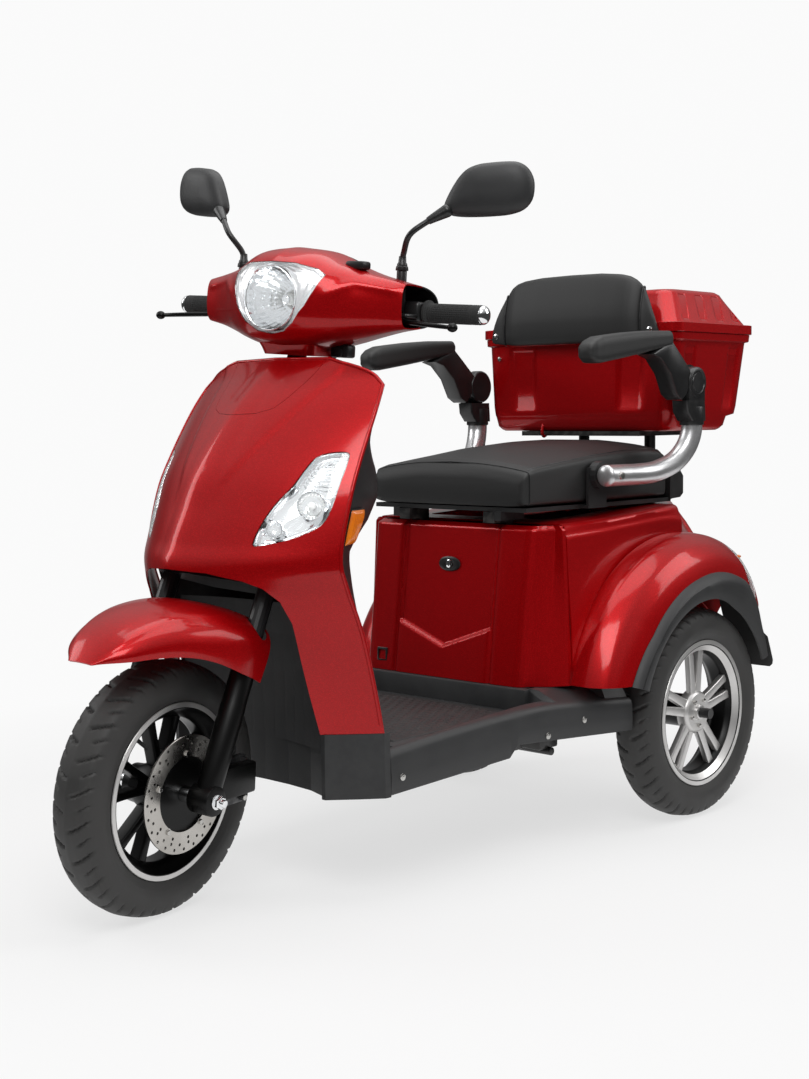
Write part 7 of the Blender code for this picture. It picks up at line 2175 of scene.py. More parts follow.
        for share, depth in ((0.94, 0.035), (0.945, 0.0), (0.985, 0.02), (1.0, 0.10), (1.0, 0.30),
                             (0.975, 0.50), (0.91, 0.68), (0.80, 0.82), (0.62, 0.92), (0.40, 0.98),
                             (0.18, 1.0)):
            rings.append([self.head_point(hand, share, depth, out, rise) for out, rise in fine])
        head = Blank().loft(rings).outwards()
        socket = Blank().ball(join, 0.0098)
        shop.piece("mirror_shell_" + side, head, CHARCOAL, "mirror_head_" + side, ["mirror_head_" + side],
                   steered=True, smooth=50.0, cuts=[socket])
        rings = [[self.head_point(hand, share, depth, out, rise) for out, rise in fine]
                 for share, depth in ((0.925, 0.034), (0.925, 0.010), (0.60, 0.006), (0.20, 0.005))]
        shop.piece("mirror_plate_" + side, Blank().loft(rings).outwards(), MIRROR, "mirror_head_" + side,
                   steered=True, smooth=30.0)


@dataclass
class FloorForm:
    """Black floor moulding with its side skirts, riser and rubber mat."""

    front: float = -0.312
    high: float = 0.252
    low: float = 0.2255
    base_front: float = 0.064
    shelf: float = 0.293
    plate_half: float = 0.2455
    skirt_front: float = -0.3395
    skirt_length: float = 0.6015
    mat_half: float = 0.208
    stud_x: float = 0.0200
    stud_y: float = 0.0170
    out: Knots = field(default_factory=lambda: Knots((-0.3395, 0.2515), (-0.200, 0.262), (-0.050, 0.273),
                                                     (0.080, 0.284), (0.262, 0.302)))
    top: Knots = field(default_factory=lambda: Knots((-0.3395, 0.250), (-0.200, 0.264), (-0.050, 0.274),
                                                     (0.060, 0.276), (0.262, 0.262)))
    under: Knots = field(default_factory=lambda: Knots((-0.3395, 0.178), (-0.060, 0.196), (-0.040, 0.216),
                                                       (0.262, 0.200)))

    def build(self, shop: Workshop) -> None:
        """Make the plate, riser, skirts, mat and screws.

        Args:
            shop: the workshop that finishes the pieces.
        """
        half = self.plate_half
        plate = Blank().block((-half, self.front, self.low), (half, self.base_front - 0.004, self.high),
                              0.003)
        plate.block((-0.2100, self.base_front - 0.006, self.low + 0.0002), (0.2100, 0.118, self.shelf), 0.004)
        shop.piece("floor_plate", plate.outwards(), CHARCOAL, "chassis", ["floor_board"])
        for side, hand in (("left", 1), ("right", -1)):
            self.build_skirt(shop, side, hand)
        self.build_mat(shop)

    def build_skirt(self, shop: Workshop, side: str, hand: int) -> None:
        """Make one side skirt with eased edges, and its screws.

        Args:
            shop: the workshop that finishes the pieces.
            side: left or right, for the pieces' names.
            hand: 1 on the rider's left, -1 on the right.
        """
        stations = [self.skirt_front + self.skirt_length * k / 60 for k in range(61)]
        stations = sorted(set(stations + [-0.060, -0.052, -0.046, -0.040, 0.058, 0.0640, 0.078]))
        rings = []
        for y in stations:
            out, top, low = self.out.smooth(y), self.top.smooth(y), self.under.straight(y)
            beside = y <= self.base_front
            inner = min(0.2440, out - 0.020) if beside else 0.2005
            inner = 0.2405 if y > 0.2 else inner
            shelf = top if beside else self.shelf
            back = inner + (0.004 if beside else 0.030)
            ring = [(out - 0.0015, low), (out + 0.0004, low + 0.003), (out + 0.0010, (low + top) / 2 - 0.006),
                    (out + 0.0002, (low + top) / 2 + 0.010), (out - 0.0004, top - 0.012),
                    (out - 0.0030, top - 0.005), (out - 0.0075, top - 0.0012), (out - 0.0130, top),
                    (back, shelf), (inner, shelf), (inner, low + 0.010), (out - 0.006, low)]
            rings.append([Vector((hand * x, y, z)) for x, z in ring])
        shop.piece("skirt_" + side, Blank().loft(rings).outwards(), CHARCOAL, "chassis", smooth=32.0)
        screws = Blank()
        for y, z in ((-0.315, 0.205), (0.130, 0.238), (0.035, 0.222)):
            x = self.out.smooth(y) + 0.0004
            screws.bar((hand * (x - 0.004), y, z), (hand * (x + 0.0018), y, z), 0.0062, steps=28, soft=0.0009)
            screws.bar((hand * (x - 0.004), y, z), (hand * (x + 0.0024), y, z), 0.0030, steps=6, soft=0.0004)
        shop.piece("skirt_screws_" + side, screws.outwards(), STEEL, "chassis", smooth=30.0)

    def build_mat(self, shop: Workshop) -> None:
        """Make the mat: a raised field of studs with a border.

        Args:
            shop: the workshop that finishes the pieces.
        """
        wide, start, end = self.mat_half, self.front + 0.024, self.base_front - 0.022

        def surface(u: float, v: float) -> Vector:
            """Return the point at two shares of the sheet."""
            x, y = (u * 2.0 - 1.0) * wide, start + (end - start) * v
            edge = min(wide - abs(x), y - start, end - y)
            lift = 0.0022 * step(0.0, 0.0030, edge)
            if edge > 0.014:
                row = round((y - start) / self.stud_y)
                near_x = (x / self.stud_x + 0.5 * (row % 2)) % 1.0
                gap = math.hypot((near_x - 0.5) * self.stud_x, y - start - row * self.stud_y)
                lift += 0.0014 * (1.0 - step(0.0046, 0.0062, gap))
            return Vector((x, y, self.high + 0.0002 + lift))
        shop.piece("rubber_mat", Blank().sheet(surface, 220, 180).facing_away(Vector((0.0, -0.1, -1.0))), MAT,
                   "chassis")


@dataclass
class SeatBase:
    """Red front of the seat base with its recessed panel, chevron and key."""

    low: float = 0.294
    high: float = 0.585
    front: float = 0.064
    lean: float = 0.036
    seam: float = 0.148
    panel: float = 0.118
    panel_slope: float = 0.0085
    recess: float = 0.006
    chevron_side: float = 0.388
    chevron_middle: float = 0.349
    key_z: float = 0.507

    def plan(self, share: float, z: float) -> Vector:
        """Return a point of the base.

        Args:
            share: -1 at the right seam to 1 at the left.
            z: height.

        Returns:
            The point.
        """
        rise = (z - self.low) / (self.high - self.low)
        front = self.front + self.lean * rise
        seam_x, corner = 0.250 - 0.016 * rise, 0.198 + 0.004 * rise
        start, end = self.panel - self.panel_slope, self.panel - 0.0030
        half = [(0.0, 0.0), (0.055, 0.0), (start, 0.0), (end, 0.0005),
                (self.panel, 0.0042), (self.panel + 0.0030, 0.0006), (self.panel + 0.009, -0.0010),
                (corner - 0.020, 0.0006), (corner - 0.010, 0.0034), (corner - 0.003, 0.0095), (corner, 0.018),
                (corner + 0.006, 0.0265), (corner + 0.028 * (1 - rise * 0.5), 0.042),
                (seam_x - 0.0005, self.seam - 0.010 - front), (seam_x, self.seam - 0.0007 - front)]
        x, y = walked(half, abs(share))
        inside = 1.0 - step(start, end, x)
        across = min(1.0, x / (self.panel - 0.008))
        edge = self.chevron_middle + (self.chevron_side - self.chevron_middle) * across
        sunk = step(edge, edge + 0.0075, z)
        y += inside * (sunk * self.recess - 0.002 * (1.0 - sunk))
        return Vector((math.copysign(x, share), front + y, z))

    def build(self, shop: Workshop) -> None:
        """Make the base's front, the key and its bezel.

        Args:
            shop: the workshop that finishes the pieces.
        """
        def surface(u: float, v: float) -> Vector:
            """Return the point at two shares of the sheet."""
            z = self.low + (self.high - self.low) * v
            place = self.plan(u * 2.0 - 1.0, z)
            curl = step(0.965, 1.0, v)
            place.y += 0.010 * curl * curl if place.y < self.seam - 0.02 else 0.0
            place.x *= 1.0 - 0.025 * curl * curl
            place.y = min(place.y, self.seam - 0.0007 - 0.0050 * curl)
            return place
        key = Vector((0.0, self.front + self.lean * 0.73 + self.recess, self.key_z))
        hole = Blank().bar(key - Vector((0, 0.05, 0)), key + Vector((0, 0.05, 0)), 0.0092, steps=40)
        shop.piece("base_face", Blank().sheet(surface, 220, 130).facing_away(BODY_HEART), RED, "chassis",
                   ["seat_base_front"], wall=0.003, cuts=[hole], smooth=34.0)
        barrel = Blank().spin([(-0.0046, 0.0), (-0.0046, 0.0074), (-0.0040, 0.0082), (0.0250, 0.0082),
                               (0.0250, 0.0)],
                              key, (0, 1, 0), 40)
        slot = Blank().block(key + Vector((-0.0008, -0.012, -0.0042)),
                             key + Vector((0.0008, -0.0010, 0.0042)))
        shop.piece("key_cylinder", barrel.outwards(), CHROME, "key", ["key_barrel"], cuts=[slot])
        bezel = Blank()
        rings = []
        for grow, out in ((1.0, -0.0002), (0.97, -0.0022), (0.84, -0.0034), (0.60, -0.0036), (0.44, -0.0028),
                          (0.42, 0.0)):
            ring = []
            for k in range(48):
                angle = 2 * math.pi * k / 48
                wide = 0.0265 if grow > 0.5 else 0.0230
                x = signed_power(math.cos(angle), 0.9) * wide * grow
                z = math.sin(angle) * 0.0142 * grow
                reach = math.hypot(x, z)
                if reach < 0.0094:
                    x, z = x / reach * 0.0094, z / reach * 0.0094
                ring.append(key + Vector((x, out - 0.0010, z)))
            rings.append(ring)
        bezel.loft(rings, caps=False)
        shop.piece("key_bezel", bezel.facing_away(key + Vector((0, 1.0, 0))), SATIN, "chassis", wall=0.0006)
        plug = Vector((-0.152, self.front + self.lean * 0.10 - 0.0002, 0.3230))
        port = Blank().block(plug + Vector((-0.0135, -0.0020, -0.0135)),
                             plug + Vector((0.0135, 0.0060, 0.0135)), 0.002)
        hollow = Blank().block(plug + Vector((-0.0095, -0.010, -0.0095)),
                               plug + Vector((0.0095, 0.0030, 0.0095)), 0.001)
        shop.piece("charge_port", port.outwards(), SATIN, "chassis", cuts=[hollow])


@dataclass
class RearBody:
    """Red shell over the rear frame, with its fenders, flares, lamps and tail panel."""

    seam: float = 0.148
    end: float = 0.660
    low: float = 0.294
    wall: float = 0.003
    well: float = 0.331
    fender_inner: float = 0.2345
    fender_radius: float = 0.350
    fender_start: float = 43.0
    fender_end: float = 165.0
    lamp_end: float = 92.0
    flare_start: float = 24.0
    flare_sweep: float = 138.0
    post_y: float = 0.6370
    shrink: Knots = field(default_factory=lambda: Knots((43.0, 0.935), (46.5, 0.950), (52.6, 0.979),
                                                        (60.0, 1.0), (170.0, 1.0)))
    deck: Knots = field(default_factory=lambda: Knots((0.15, 0.588), (0.30, 0.594), (0.50, 0.606),
                                                      (0.66, 0.606)))
    edge: Knots = field(default_factory=lambda: Knots((0.10, 0.231), (0.49, 0.231), (0.526, 0.205),
                                                      (0.59, 0.165), (0.66, 0.125)))
    drop: Knots = field(default_factory=lambda: Knots((0.10, 0.020), (0.49, 0.020), (0.53, 0.058),
                                                      (0.60, 0.110), (0.66, 0.160)))
    lip: Knots = field(default_factory=lambda: Knots(
        (24.0, 0.2350), (26.0, 0.2365), (40.0, 0.247), (50.0, 0.2654), (62.0, 0.281), (82.0, 0.276),
        (99.0, 0.272), (118.0, 0.270), (139.0, 0.268), (162.0, 0.285), (170.0, 0.290)))
    reach: Knots = field(default_factory=lambda: Knots((26.0, 0.345), (60.0, 0.350), (100.0, 0.3585),
                                                       (162.0, 0.360), (170.0, 0.360)))
    inner: Knots = field(default_factory=lambda: Knots((26.0, 0.206), (48.0, 0.206), (71.0, 0.212),
                                                       (89.0, 0.225), (108.0, 0.233), (134.0, 0.241),
                                                       (162.0, 0.249)))
    lamp: Outline = ((0.2640, 0.602), (0.2900, 0.600), (0.3120, 0.608), (0.3280, 0.628), (0.3300, 0.652),
                     (0.3180, 0.668), (0.3020, 0.662), (0.2820, 0.636))

    @property
    def axle(self) -> Vector:
        """Middle of the rear axle."""
        return Vector((0.0, LAYOUT.rear_y, LAYOUT.tyre_radius))

    def build(self, shop: Workshop) -> None:
        """Make the shell's pieces and everything fixed to them.

        Args:
            shop: the workshop that finishes the pieces.
        """
        self.build_shell(shop)
        for side, hand in (("left", 1), ("right", -1)):
            self.build_fender(shop, side, hand)
            self.build_flare(shop, side, hand)
            self.build_lamp(shop, side, hand)

    def build_shell(self, shop: Workshop) -> None:
        """Make the side walls with the deck, and the tail panel.

        Args:
            shop: the workshop that finishes the pieces.
        """
        def surface(u: float, v: float) -> Vector:
            """Return the point at two shares of the sheet."""
            y = self.seam + (self.end - self.seam) * v
            top = self.deck.smooth(y)
            side, edge = top - self.drop.smooth(y), self.edge.smooth(y)
            half = [(0.250, self.low), (0.248, 0.40), (0.240, min(0.50, side - 0.015)),
                    (0.2368, side - 0.006), (0.2345, side), (edge + 0.001, top - 0.0060),
                    (edge - 0.004, top - 0.0018), (edge - 0.011, top), (edge * 0.6, top + 0.0005),
                    (0.0, top + 0.001)]
            row = half + [(-x, z) for x, z in reversed(half[:-1])]
            x, z = walked(row, u)
            return Vector((x, y, z))
        wells = [Blank().bar((hand * 0.20, LAYOUT.rear_y, LAYOUT.tyre_radius),
                             (hand * 0.30, LAYOUT.rear_y, LAYOUT.tyre_radius), self.well, steps=96)
                 for hand in (1, -1)]
        holes = [Blank().bar((hand * 0.085, self.post_y, 0.5), (hand * 0.085, self.post_y, 0.7), 0.0130,
                             steps=32)
                 for hand in (1, -1)]
        deck = Blank().prism(rounded_rectangle(0.150, 0.200, 0.440, 0.020), 0.5, 0.7, "z")
        shop.piece("rear_skin", Blank().sheet(surface, 260, 84).facing_away(BODY_HEART), RED, "chassis",
                   ["rear_body_shell"], wall=self.wall, cuts=[*wells, *holes, deck], smooth=34.0)
        rings = []
        for z, y, wide in ((0.2800, 0.6630, 0.2270), (0.2830, 0.6655, 0.2290), (0.3600, 0.6700, 0.2315),
                           (0.4400, 0.6750, 0.2335), (0.4800, 0.6758, 0.2100), (0.5200, 0.6760, 0.1820),
                           (0.5600, 0.6720, 0.1545), (0.5960, 0.6660, 0.1265), (0.6045, 0.6630, 0.1150)):
            rings.append([Vector((x, back, z))
                          for x, back in rounded_rectangle(wide, self.end - 0.002, y, 0.0022, 3)])
        panel = Blank().loft(rings)
        shop.piece("tail_panel", panel.outwards(), RED, "chassis", smooth=40.0)
        plate = Blank().block((-0.070, 0.6740, 0.395), (0.070, 0.6775, 0.480), 0.001)
        shop.piece("tail_plate", plate.outwards(), SATIN, "chassis")
        glow = Blank().block((-0.036, 0.6735, 0.5180), (0.036, 0.6800, 0.5420), 0.003)
        shop.piece("tail_reflector", glow.outwards(), RED_LENS, "chassis")

    def section(self, hand: int, degrees: float, depth: float = 0.0) -> list[Vector]:
        """Return one section of a rear fender from its root to its lip.

        Args:
            hand: 1 for the left fender, -1 for the right.
            degrees: angle up from straight behind the axle.
            depth: how far it lies under the skin.

        Returns:
            The section's points, root first.
        """
        size, lip = self.shrink.straight(degrees), self.lip.straight(degrees)
        edge = self.reach.straight(degrees) - 0.0180
        crown = self.fender_radius * size
        knots = [(self.fender_inner, 0.236), (self.fender_inner, 0.332 * size), (0.2362, 0.3395 * size),
                 (0.2400, 0.3450 * size), (0.2470, 0.3490 * size), (0.2560, crown), (0.2700, crown - 0.0010),
                 (0.2850, 0.3460 * size), (edge - 0.030, lip + 0.754 * (crown - lip)),
                 (edge - 0.019, lip + 0.60 * (crown - lip)), (edge - 0.010, lip + 0.42 * (crown - lip)),
                 (edge - 0.004, lip + 0.20 * (crown - lip)), (edge, lip)]
        route = [knots[0]] + [(p.x, p.y) for p in smooth_route([(x, r, 0.0) for x, r in knots[1:]], 3)]
        angle = math.radians(degrees)
        ring = []
        for x, r in route:
            x, r = x - depth * 0.6, r - depth
            ring.append(self.axle + about_axle(hand * x, angle, r))
        return ring

    def fender_skin(self, hand: int, start: float, end: float, steps: int, depth: float = 0.0) -> Blank:
        """Return a fender between two angles as an open sheet."""
        rows = [self.section(hand, start + (end - start) * k / steps, depth) for k in range(steps + 1)]
        blank = Blank().loft(rows, caps=False, closed=False)
        return blank.facing_away(self.axle + Vector((hand * 0.20, 0.0, 0.0)))

    def lamp_window(self, hand: int, margin: float) -> Blank:
        """Return the prism that marks a tail lamp on a fender.

        Args:
            hand: 1 on the rider's left, -1 on the right.
            margin: how far it grows past the lamp.

        Returns:
            The prism.
        """
        outline = grown(flowing(self.lamp, 3), margin)
        outline = outline if hand > 0 else mirrored(outline)
        return Blank().prism(outline, 0.400, 0.620, "z")

    def build_fender(self, shop: Workshop, side: str, hand: int) -> None:
        """Make one rear fender.

        Args:
            shop: the workshop that finishes the pieces.
            side: left or right, for the pieces' names.
            hand: 1 on the rider's left, -1 on the right.
        """
        low = Blank().block((min(hand * 0.23, hand * 0.50), 0.0, 0.1),
                            (max(hand * 0.23, hand * 0.50), LAYOUT.rear_y, self.low))
        corner = Blank().block((min(hand * 0.20, hand * 0.2535), 0.0, 0.1),
                               (max(hand * 0.20, hand * 0.2535), self.seam + 0.0001, 0.65))
        skin = self.fender_skin(hand, self.fender_start, self.fender_end, 120)
        shop.piece("rear_fender_" + side, skin, RED, "chassis", wall=self.wall,
                   cuts=[low, corner, self.lamp_window(hand, 0.0)], smooth=50.0)

    def build_flare(self, shop: Workshop, side: str, hand: int) -> None:
        """Make one black flare with its mud flap.

        Args:
            shop: the workshop that finishes the pieces.
            side: left or right, for the pieces' names.
            hand: 1 on the rider's left, -1 on the right.
        """
        rings = []
        for k in range(97):
            degrees = self.flare_start + self.flare_sweep * k / 96
            lip, reach = self.lip.straight(degrees), self.reach.straight(degrees)
            inner = self.inner.straight(degrees)
            start, middle = reach - 0.0174, (lip + inner) / 2
            profile = ((start, lip + 0.0002), (start + 0.0040, lip - 0.0012), (reach - 0.0065, lip - 0.0070),
                       (reach - 0.0026, lip - 0.0130), (reach - 0.0006, (lip + middle) / 2 - 0.004),
                       (reach, middle), (reach - 0.0008, (middle + inner) / 2),
                       (reach - 0.0030, inner + 0.0010), (reach - 0.0055, inner - 0.0002),
                       (reach - 0.008, inner + 0.0008), (reach - 0.0045, middle),
                       (reach - 0.0100, lip - 0.0110), (start, lip - 0.0060))
            angle = math.radians(degrees)
            rings.append([self.axle + about_axle(hand * x, angle, r) for x, r in profile])
        flare = Blank().loft(rings)
        shop.piece("flare_" + side, flare.outwards(), CHARCOAL, "chassis", ["fender_flare_" + side],
                   smooth=40.0)
        rings = []
        for z, y, outer in ((0.270, 0.7010, 0.3350), (0.276, 0.6985, 0.3420), (0.285, 0.6950, 0.3450),
                            (0.310, 0.6845, 0.3450), (0.335, 0.6735, 0.3450), (0.358, 0.6639, 0.3235),
                            (0.395, 0.6483, 0.3190), (0.415, 0.6400, 0.3175)):
            ring = [(0.2510, y), (outer - 0.002, y), (outer, y + 0.0012), (outer, y + 0.0028),
                    (outer - 0.002, y + 0.004), (0.2510, y + 0.004)]
            rings.append([Vector((hand * a, b, z)) for a, b in ring])
        shop.piece("mud_flap_" + side, Blank().loft(rings).outwards(), GRIP, "chassis", smooth=40.0)

    def build_lamp(self, shop: Workshop, side: str, hand: int) -> None:
        """Make one tail lamp: clear lens, bright floor and amber bulb.

        Args:
            shop: the workshop that finishes the pieces.
            side: left or right, for the pieces' names.
            hand: 1 on the rider's left, -1 on the right.
        """
        lens = self.fender_skin(hand, self.fender_start, self.lamp_end, 56)
        shop.piece("tail_lens_" + side, lens, GLASS, "chassis", ["tail_lamp_" + side], wall=0.0020,
                   keeps=[self.lamp_window(hand, -0.0006)])
        floor = self.fender_skin(hand, self.fender_start, self.lamp_end, 56, 0.0085)
        shop.piece("tail_floor_" + side, floor, REFLECTOR, "chassis", wall=0.0010,
                   keeps=[self.lamp_window(hand, -0.0010)])
        spot = self.axle + Vector((hand * 0.298, 0.162, 0.2930))
        shop.piece("tail_bulb_" + side, Blank().ball(spot, 0.0058, (1.0, 1.4, 0.6)), AMBER, "chassis")


@dataclass
class RearWheels:
    """Rear wheels with bright paired spokes over dark pockets."""

    style: WheelStyle = field(default_factory=WheelStyle)
    bolt_circle: float = 0.0262

    def build(self, shop: Workshop) -> None:
        """Make both wheels.

        Args:
            shop: the workshop that finishes the pieces.
        """
        for side, hand in (("left", 1), ("right", -1)):
            self.build_wheel(shop, side, hand)
        shop.dress(ENAMEL, "rear_axle_unit", "chassis_frame")
        shop.dress(STEEL, "spring_left", "spring_right")
        shop.dress(SATIN, "battery_pack")

    def build_wheel(self, shop: Workshop, side: str, hand: int) -> None:
        """Make one wheel.

        Args:
            shop: the workshop that finishes the pieces.
            side: left or right, for the pieces' names.
            hand: 1 on the rider's left, -1 on the right.
        """
        centre = Vector((hand * LAYOUT.rear_x, LAYOUT.rear_y, LAYOUT.tyre_radius))
        pattern = LAYOUT.placing(False) @ centre
        body = "rear_wheel_" + side
        shop.piece("rear_tread_" + side, self.style.tyre(centre), TYRE, body, ["rear_%s_tyre" % side])
        dark = self.style.rim(centre)
        dark.spin([(-0.0500 * hand, 0.0105), (-0.0500 * hand, 0.0290), (-0.0450 * hand, 0.0320),
                   (0.0060 * hand, 0.0320), (0.0060 * hand, 0.0105)], centre, steps=64, closed=True)
        shop.piece("rear_barrel_" + side, dark.outwards(), BLACK_ALLOY, body, ["rear_%s_rim" % side],
                   smooth=35.0)
        bright = Blank()
        low, high = sorted((hand * 0.0060, hand * 0.0190))
        for k in range(self.style.spoke_pairs):
            angle = math.pi / 2 + 2 * math.pi * k / self.style.spoke_pairs
            for sign in (1, -1):
                self.style.spoke(bright, centre, angle + sign * math.radians(16),
                                 angle + sign * math.radians(8.5), 0.022, 0.1235, (0.0195, 0.0140), low, high)
        hub = [(0.0020, 0.0105), (0.0020, 0.0420), (0.0170, 0.0420), (0.0215, 0.0400), (0.0245, 0.0360),
               (0.0245, 0.0150), (0.0300, 0.0142), (0.0310, 0.0125), (0.0310, 0.0105)]
        bright.spin([(hand * x, r) for x, r in hub], centre, steps=64, closed=True)
        shop.piece("rear_spokes_" + side, bright.outwards(), MACHINED, body, smooth=35.0, centre=pattern)
        shop.piece("rear_lip_" + side, self.style.lip(centre, hand), MACHINED, body, smooth=35.0,
                   centre=pattern)
        face = [(0.0352, 0.1330), (0.0330, 0.1300), (0.0270, 0.1240), (0.0250, 0.1215), (0.0235, 0.1225),
                (0.0250, 0.1255), (0.0310, 0.1318), (0.0330, 0.1345)]
        ring = Blank().spin([(hand * x, r) for x, r in face], centre, steps=96, closed=True)
        shop.piece("rear_dish_" + side, ring.outwards(), MACHINED, body, smooth=35.0, centre=pattern)
        bolts = Blank()
        for k in range(5):
            angle = math.pi / 2 + 2 * math.pi * (k + 0.5) / 5
            spot = centre + about_axle(hand * 0.0225, angle, self.bolt_circle)
            bolts.bar(spot, spot + Vector((hand * 0.0068, 0.0, 0.0)), 0.0042, steps=6, soft=0.0006)
        end = centre + Vector((hand * 0.0260, 0.0, 0.0))
        bolts.bar(end, end + Vector((hand * 0.0090, 0.0, 0.0)), 0.0098, steps=32, soft=0.0010)
        bolts.bar(end, end + Vector((hand * 0.0180, 0.0, 0.0)), 0.0078, steps=6, soft=0.0008)
        shop.piece("rear_bolts_" + side, bolts.outwards(), STEEL, body, smooth=30.0)


@dataclass
class Luggage:
    """Red luggage box with its ribbed lid, latch and backrest."""

    half: float = 0.242
    front: float = 0.491
    rear: float = 0.778
    bottom: float = 0.752
    rim: float = 0.947
    wall: float = 0.003
    rise: float = 0.0875
    skirt: float = 0.019
    overhang: float = 0.003

    @property
    def lid_low(self) -> float:
        """Height of the lid's lower edge."""
        return self.rim + 0.0006

    def ring(self, z: float, inset: float, behind: float = 0.0, flute: float = 0.0) -> list[Vector]:
        """Return the box's rounded outline at a height.

        Args:
            z: the height.
            inset: how far it is set in from the rim.
            behind: how much further it is set in at the back.
            flute: depth of the upright flutes.

        Returns:
            The ring's points.
        """
        share = min(1.0, max(0.0, (self.rim - z) / (self.rim - self.bottom)))
        half = self.half - inset - 0.012 * share
        low, high = self.front + inset, self.rear - inset - 0.030 * share - behind
        outline = rounded_rectangle(half, low, high, 0.030, 8)
        fine = []
        for (ax, ay), (bx, by) in zip(outline, [*outline[1:], outline[0]]):
            parts = 64 if math.hypot(bx - ax, by - ay) > 0.05 else 1
            for k in range(parts):
                x, y = ax + (bx - ax) * k / parts, ay + (by - ay) * k / parts
                if parts > 1 and flute:
                    flat_x = abs(by - ay) > abs(bx - ax)
                    along = y if flat_x else x
                    span = (high - low) if flat_x else 2 * half
                    place = abs(along - (low + high) / 2) / span if flat_x else abs(along) / span
                    wave = step(0.215, 0.230, place) * (1.0 - step(0.345, 0.360, place))
                    middle_x, middle_y = 0.0, math.copysign(1.0, y - (low + high) / 2)
                    if flat_x:
                        middle_x, middle_y = math.copysign(1.0, x), 0.0
                    x, y = x - middle_x * flute * wave, y - middle_y * flute * wave
                fine.append(Vector((x, y, z)))
        return fine

    def build(self, shop: Workshop) -> None:
        """Make the box, the lid, the latch and the backrest.

        Args:
            shop: the workshop that finishes the pieces.
        """
        self.build_box(shop)
        self.build_lid(shop)
        self.build_backrest(shop)
        latch = Blank().block((-0.018, self.rear + 0.0087, self.rim - 0.030),
                              (0.018, self.rear + 0.0122, self.rim + 0.0146), 0.0015)
        latch.block((-0.012, self.rear + 0.0088, self.rim - 0.026),
                    (0.012, self.rear + 0.0125, self.rim - 0.012), 0.001)
        shop.piece("latch_tongue", latch.outwards(), SATIN, "latch", ["box_latch"])

    def build_box(self, shop: Workshop) -> None:
        """Make the box with its stepped foot, flutes and rim band.

        Args:
            shop: the workshop that finishes the pieces.
        """
        rings = []
        for z, inset, behind, flute in (
                (self.bottom, 0.016, 0.026, 0.0), (self.bottom + 0.003, 0.0115, 0.026, 0.0),
                (self.bottom + 0.010, 0.0060, 0.026, 0.0), (self.bottom + 0.028, 0.0035, 0.026, 0.0),
                (self.bottom + 0.0305, 0.0030, 0.013, 0.0), (self.bottom + 0.033, 0.0022, 0.0, 0.0),
                (self.bottom + 0.044, 0.0014, 0.0, 0.0), (self.bottom + 0.050, 0.0010, 0.0, 0.0030),
                (self.bottom + 0.100, 0.0010, 0.0, 0.0032), (self.rim - 0.030, 0.0010, 0.0, 0.0032),
                (self.rim - 0.026, 0.0010, 0.0, 0.0), (self.rim - 0.0168, 0.0010, 0.0, 0.0),
                (self.rim - 0.0158, 0.0002, 0.0, 0.0), (self.rim - 0.0148, -0.0038, 0.0, 0.0),
                (self.rim - 0.0136, -0.0050, 0.0, 0.0), (self.rim - 0.0010, -0.0050, 0.0, 0.0),
                (self.rim, -0.0042, 0.0, 0.0), (self.rim, self.wall, 0.0, 0.0),
                (self.bottom + 0.040, 0.0045 + self.wall, 0.0, 0.0),
                (self.bottom + 0.031, 0.002 + self.wall, 0.026, 0.0),
                (self.bottom + self.wall, 0.016 + self.wall, 0.026, 0.0)):
            rings.append(self.ring(z, inset, behind, flute))
        shop.piece("box_shell", Blank().loft(rings).outwards(), RED, "chassis", ["box_base"], smooth=38.0)
        hook = Blank()
        route = [(-0.090, 0.5010, 0.7700), (-0.090, 0.4975, 0.7600), (-0.090, 0.4960, 0.7480),
                 (-0.090, 0.5010, 0.7410), (-0.090, 0.5080, 0.7430)]
        hook.tube(smooth_route(route, 6), 0.0034, 14)
        shop.piece("box_hook", hook.outwards(), RED, "chassis")
        screws = Blank()
        for x in (-0.200, 0.200):
            screws.bar((x, self.front - 0.0030, self.rim - 0.0420),
                       (x, self.front + 0.0060, self.rim - 0.0420), 0.0045, steps=24, soft=0.0008)
        shop.piece("box_screws", screws.outwards(), STEEL, "chassis")

    def build_lid(self, shop: Workshop) -> None:
        """Make the lid with its rim band and slanting flutes.

        Args:
            shop: the workshop that finishes the pieces.
        """
        low, over = self.lid_low, -self.overhang - 0.005
        stations = [(low + self.rise, 0.050), (low + self.rise - 0.0006, 0.0475),
                    (low + self.rise - 0.0030, 0.0440)]
        for k in range(15):
            share = k / 14
            stations.append((low + self.rise - 0.006 - (self.rise - 0.006 - self.skirt - 0.002) * share,
                             0.0400 - 0.036 * share ** 1.06))
        stations += [(low + self.skirt + 0.0006, 0.0030), (low + self.skirt, over + 0.0010),
                     (low + self.skirt - 0.0010, over), (low + 0.0010, over), (low, over + 0.0008),
                     (low, self.wall), (low + self.skirt + 0.001, 0.004 + self.wall),
                     (low + self.rise - 0.012, 0.034 + self.wall), (low + self.rise - self.wall, 0.050)]
        rings = [self.ring(z, inset) for z, inset in stations]
        high_z, low_z = low + self.rise - 0.010, low + self.skirt + 0.006
        for ring in rings[2:18]:
            for point in ring:
                share = (point.z - low_z) / (high_z - low_z)
                if not 0.0 < share < 1.0:
                    continue
                fade = step(0.0, 0.12, share) * (1.0 - step(0.88, 1.0, share))
                flank = abs(point.x) > self.half - 0.055 and self.front + 0.040 < point.y < self.rear - 0.040
                back = point.y > self.rear - 0.055 and abs(point.x) < self.half - 0.050
                if flank:
                    place = (point.y - self.front - 0.020 - 0.030 * share) / 0.062
                    wave = step(0.25, 0.42, abs(place % 1.0 * 2.0 - 1.0))
                    point.x -= math.copysign(0.0050 * fade * (1.0 - wave), point.x)
                    point.z -= 0.0018 * fade * (1.0 - wave)
                elif back:
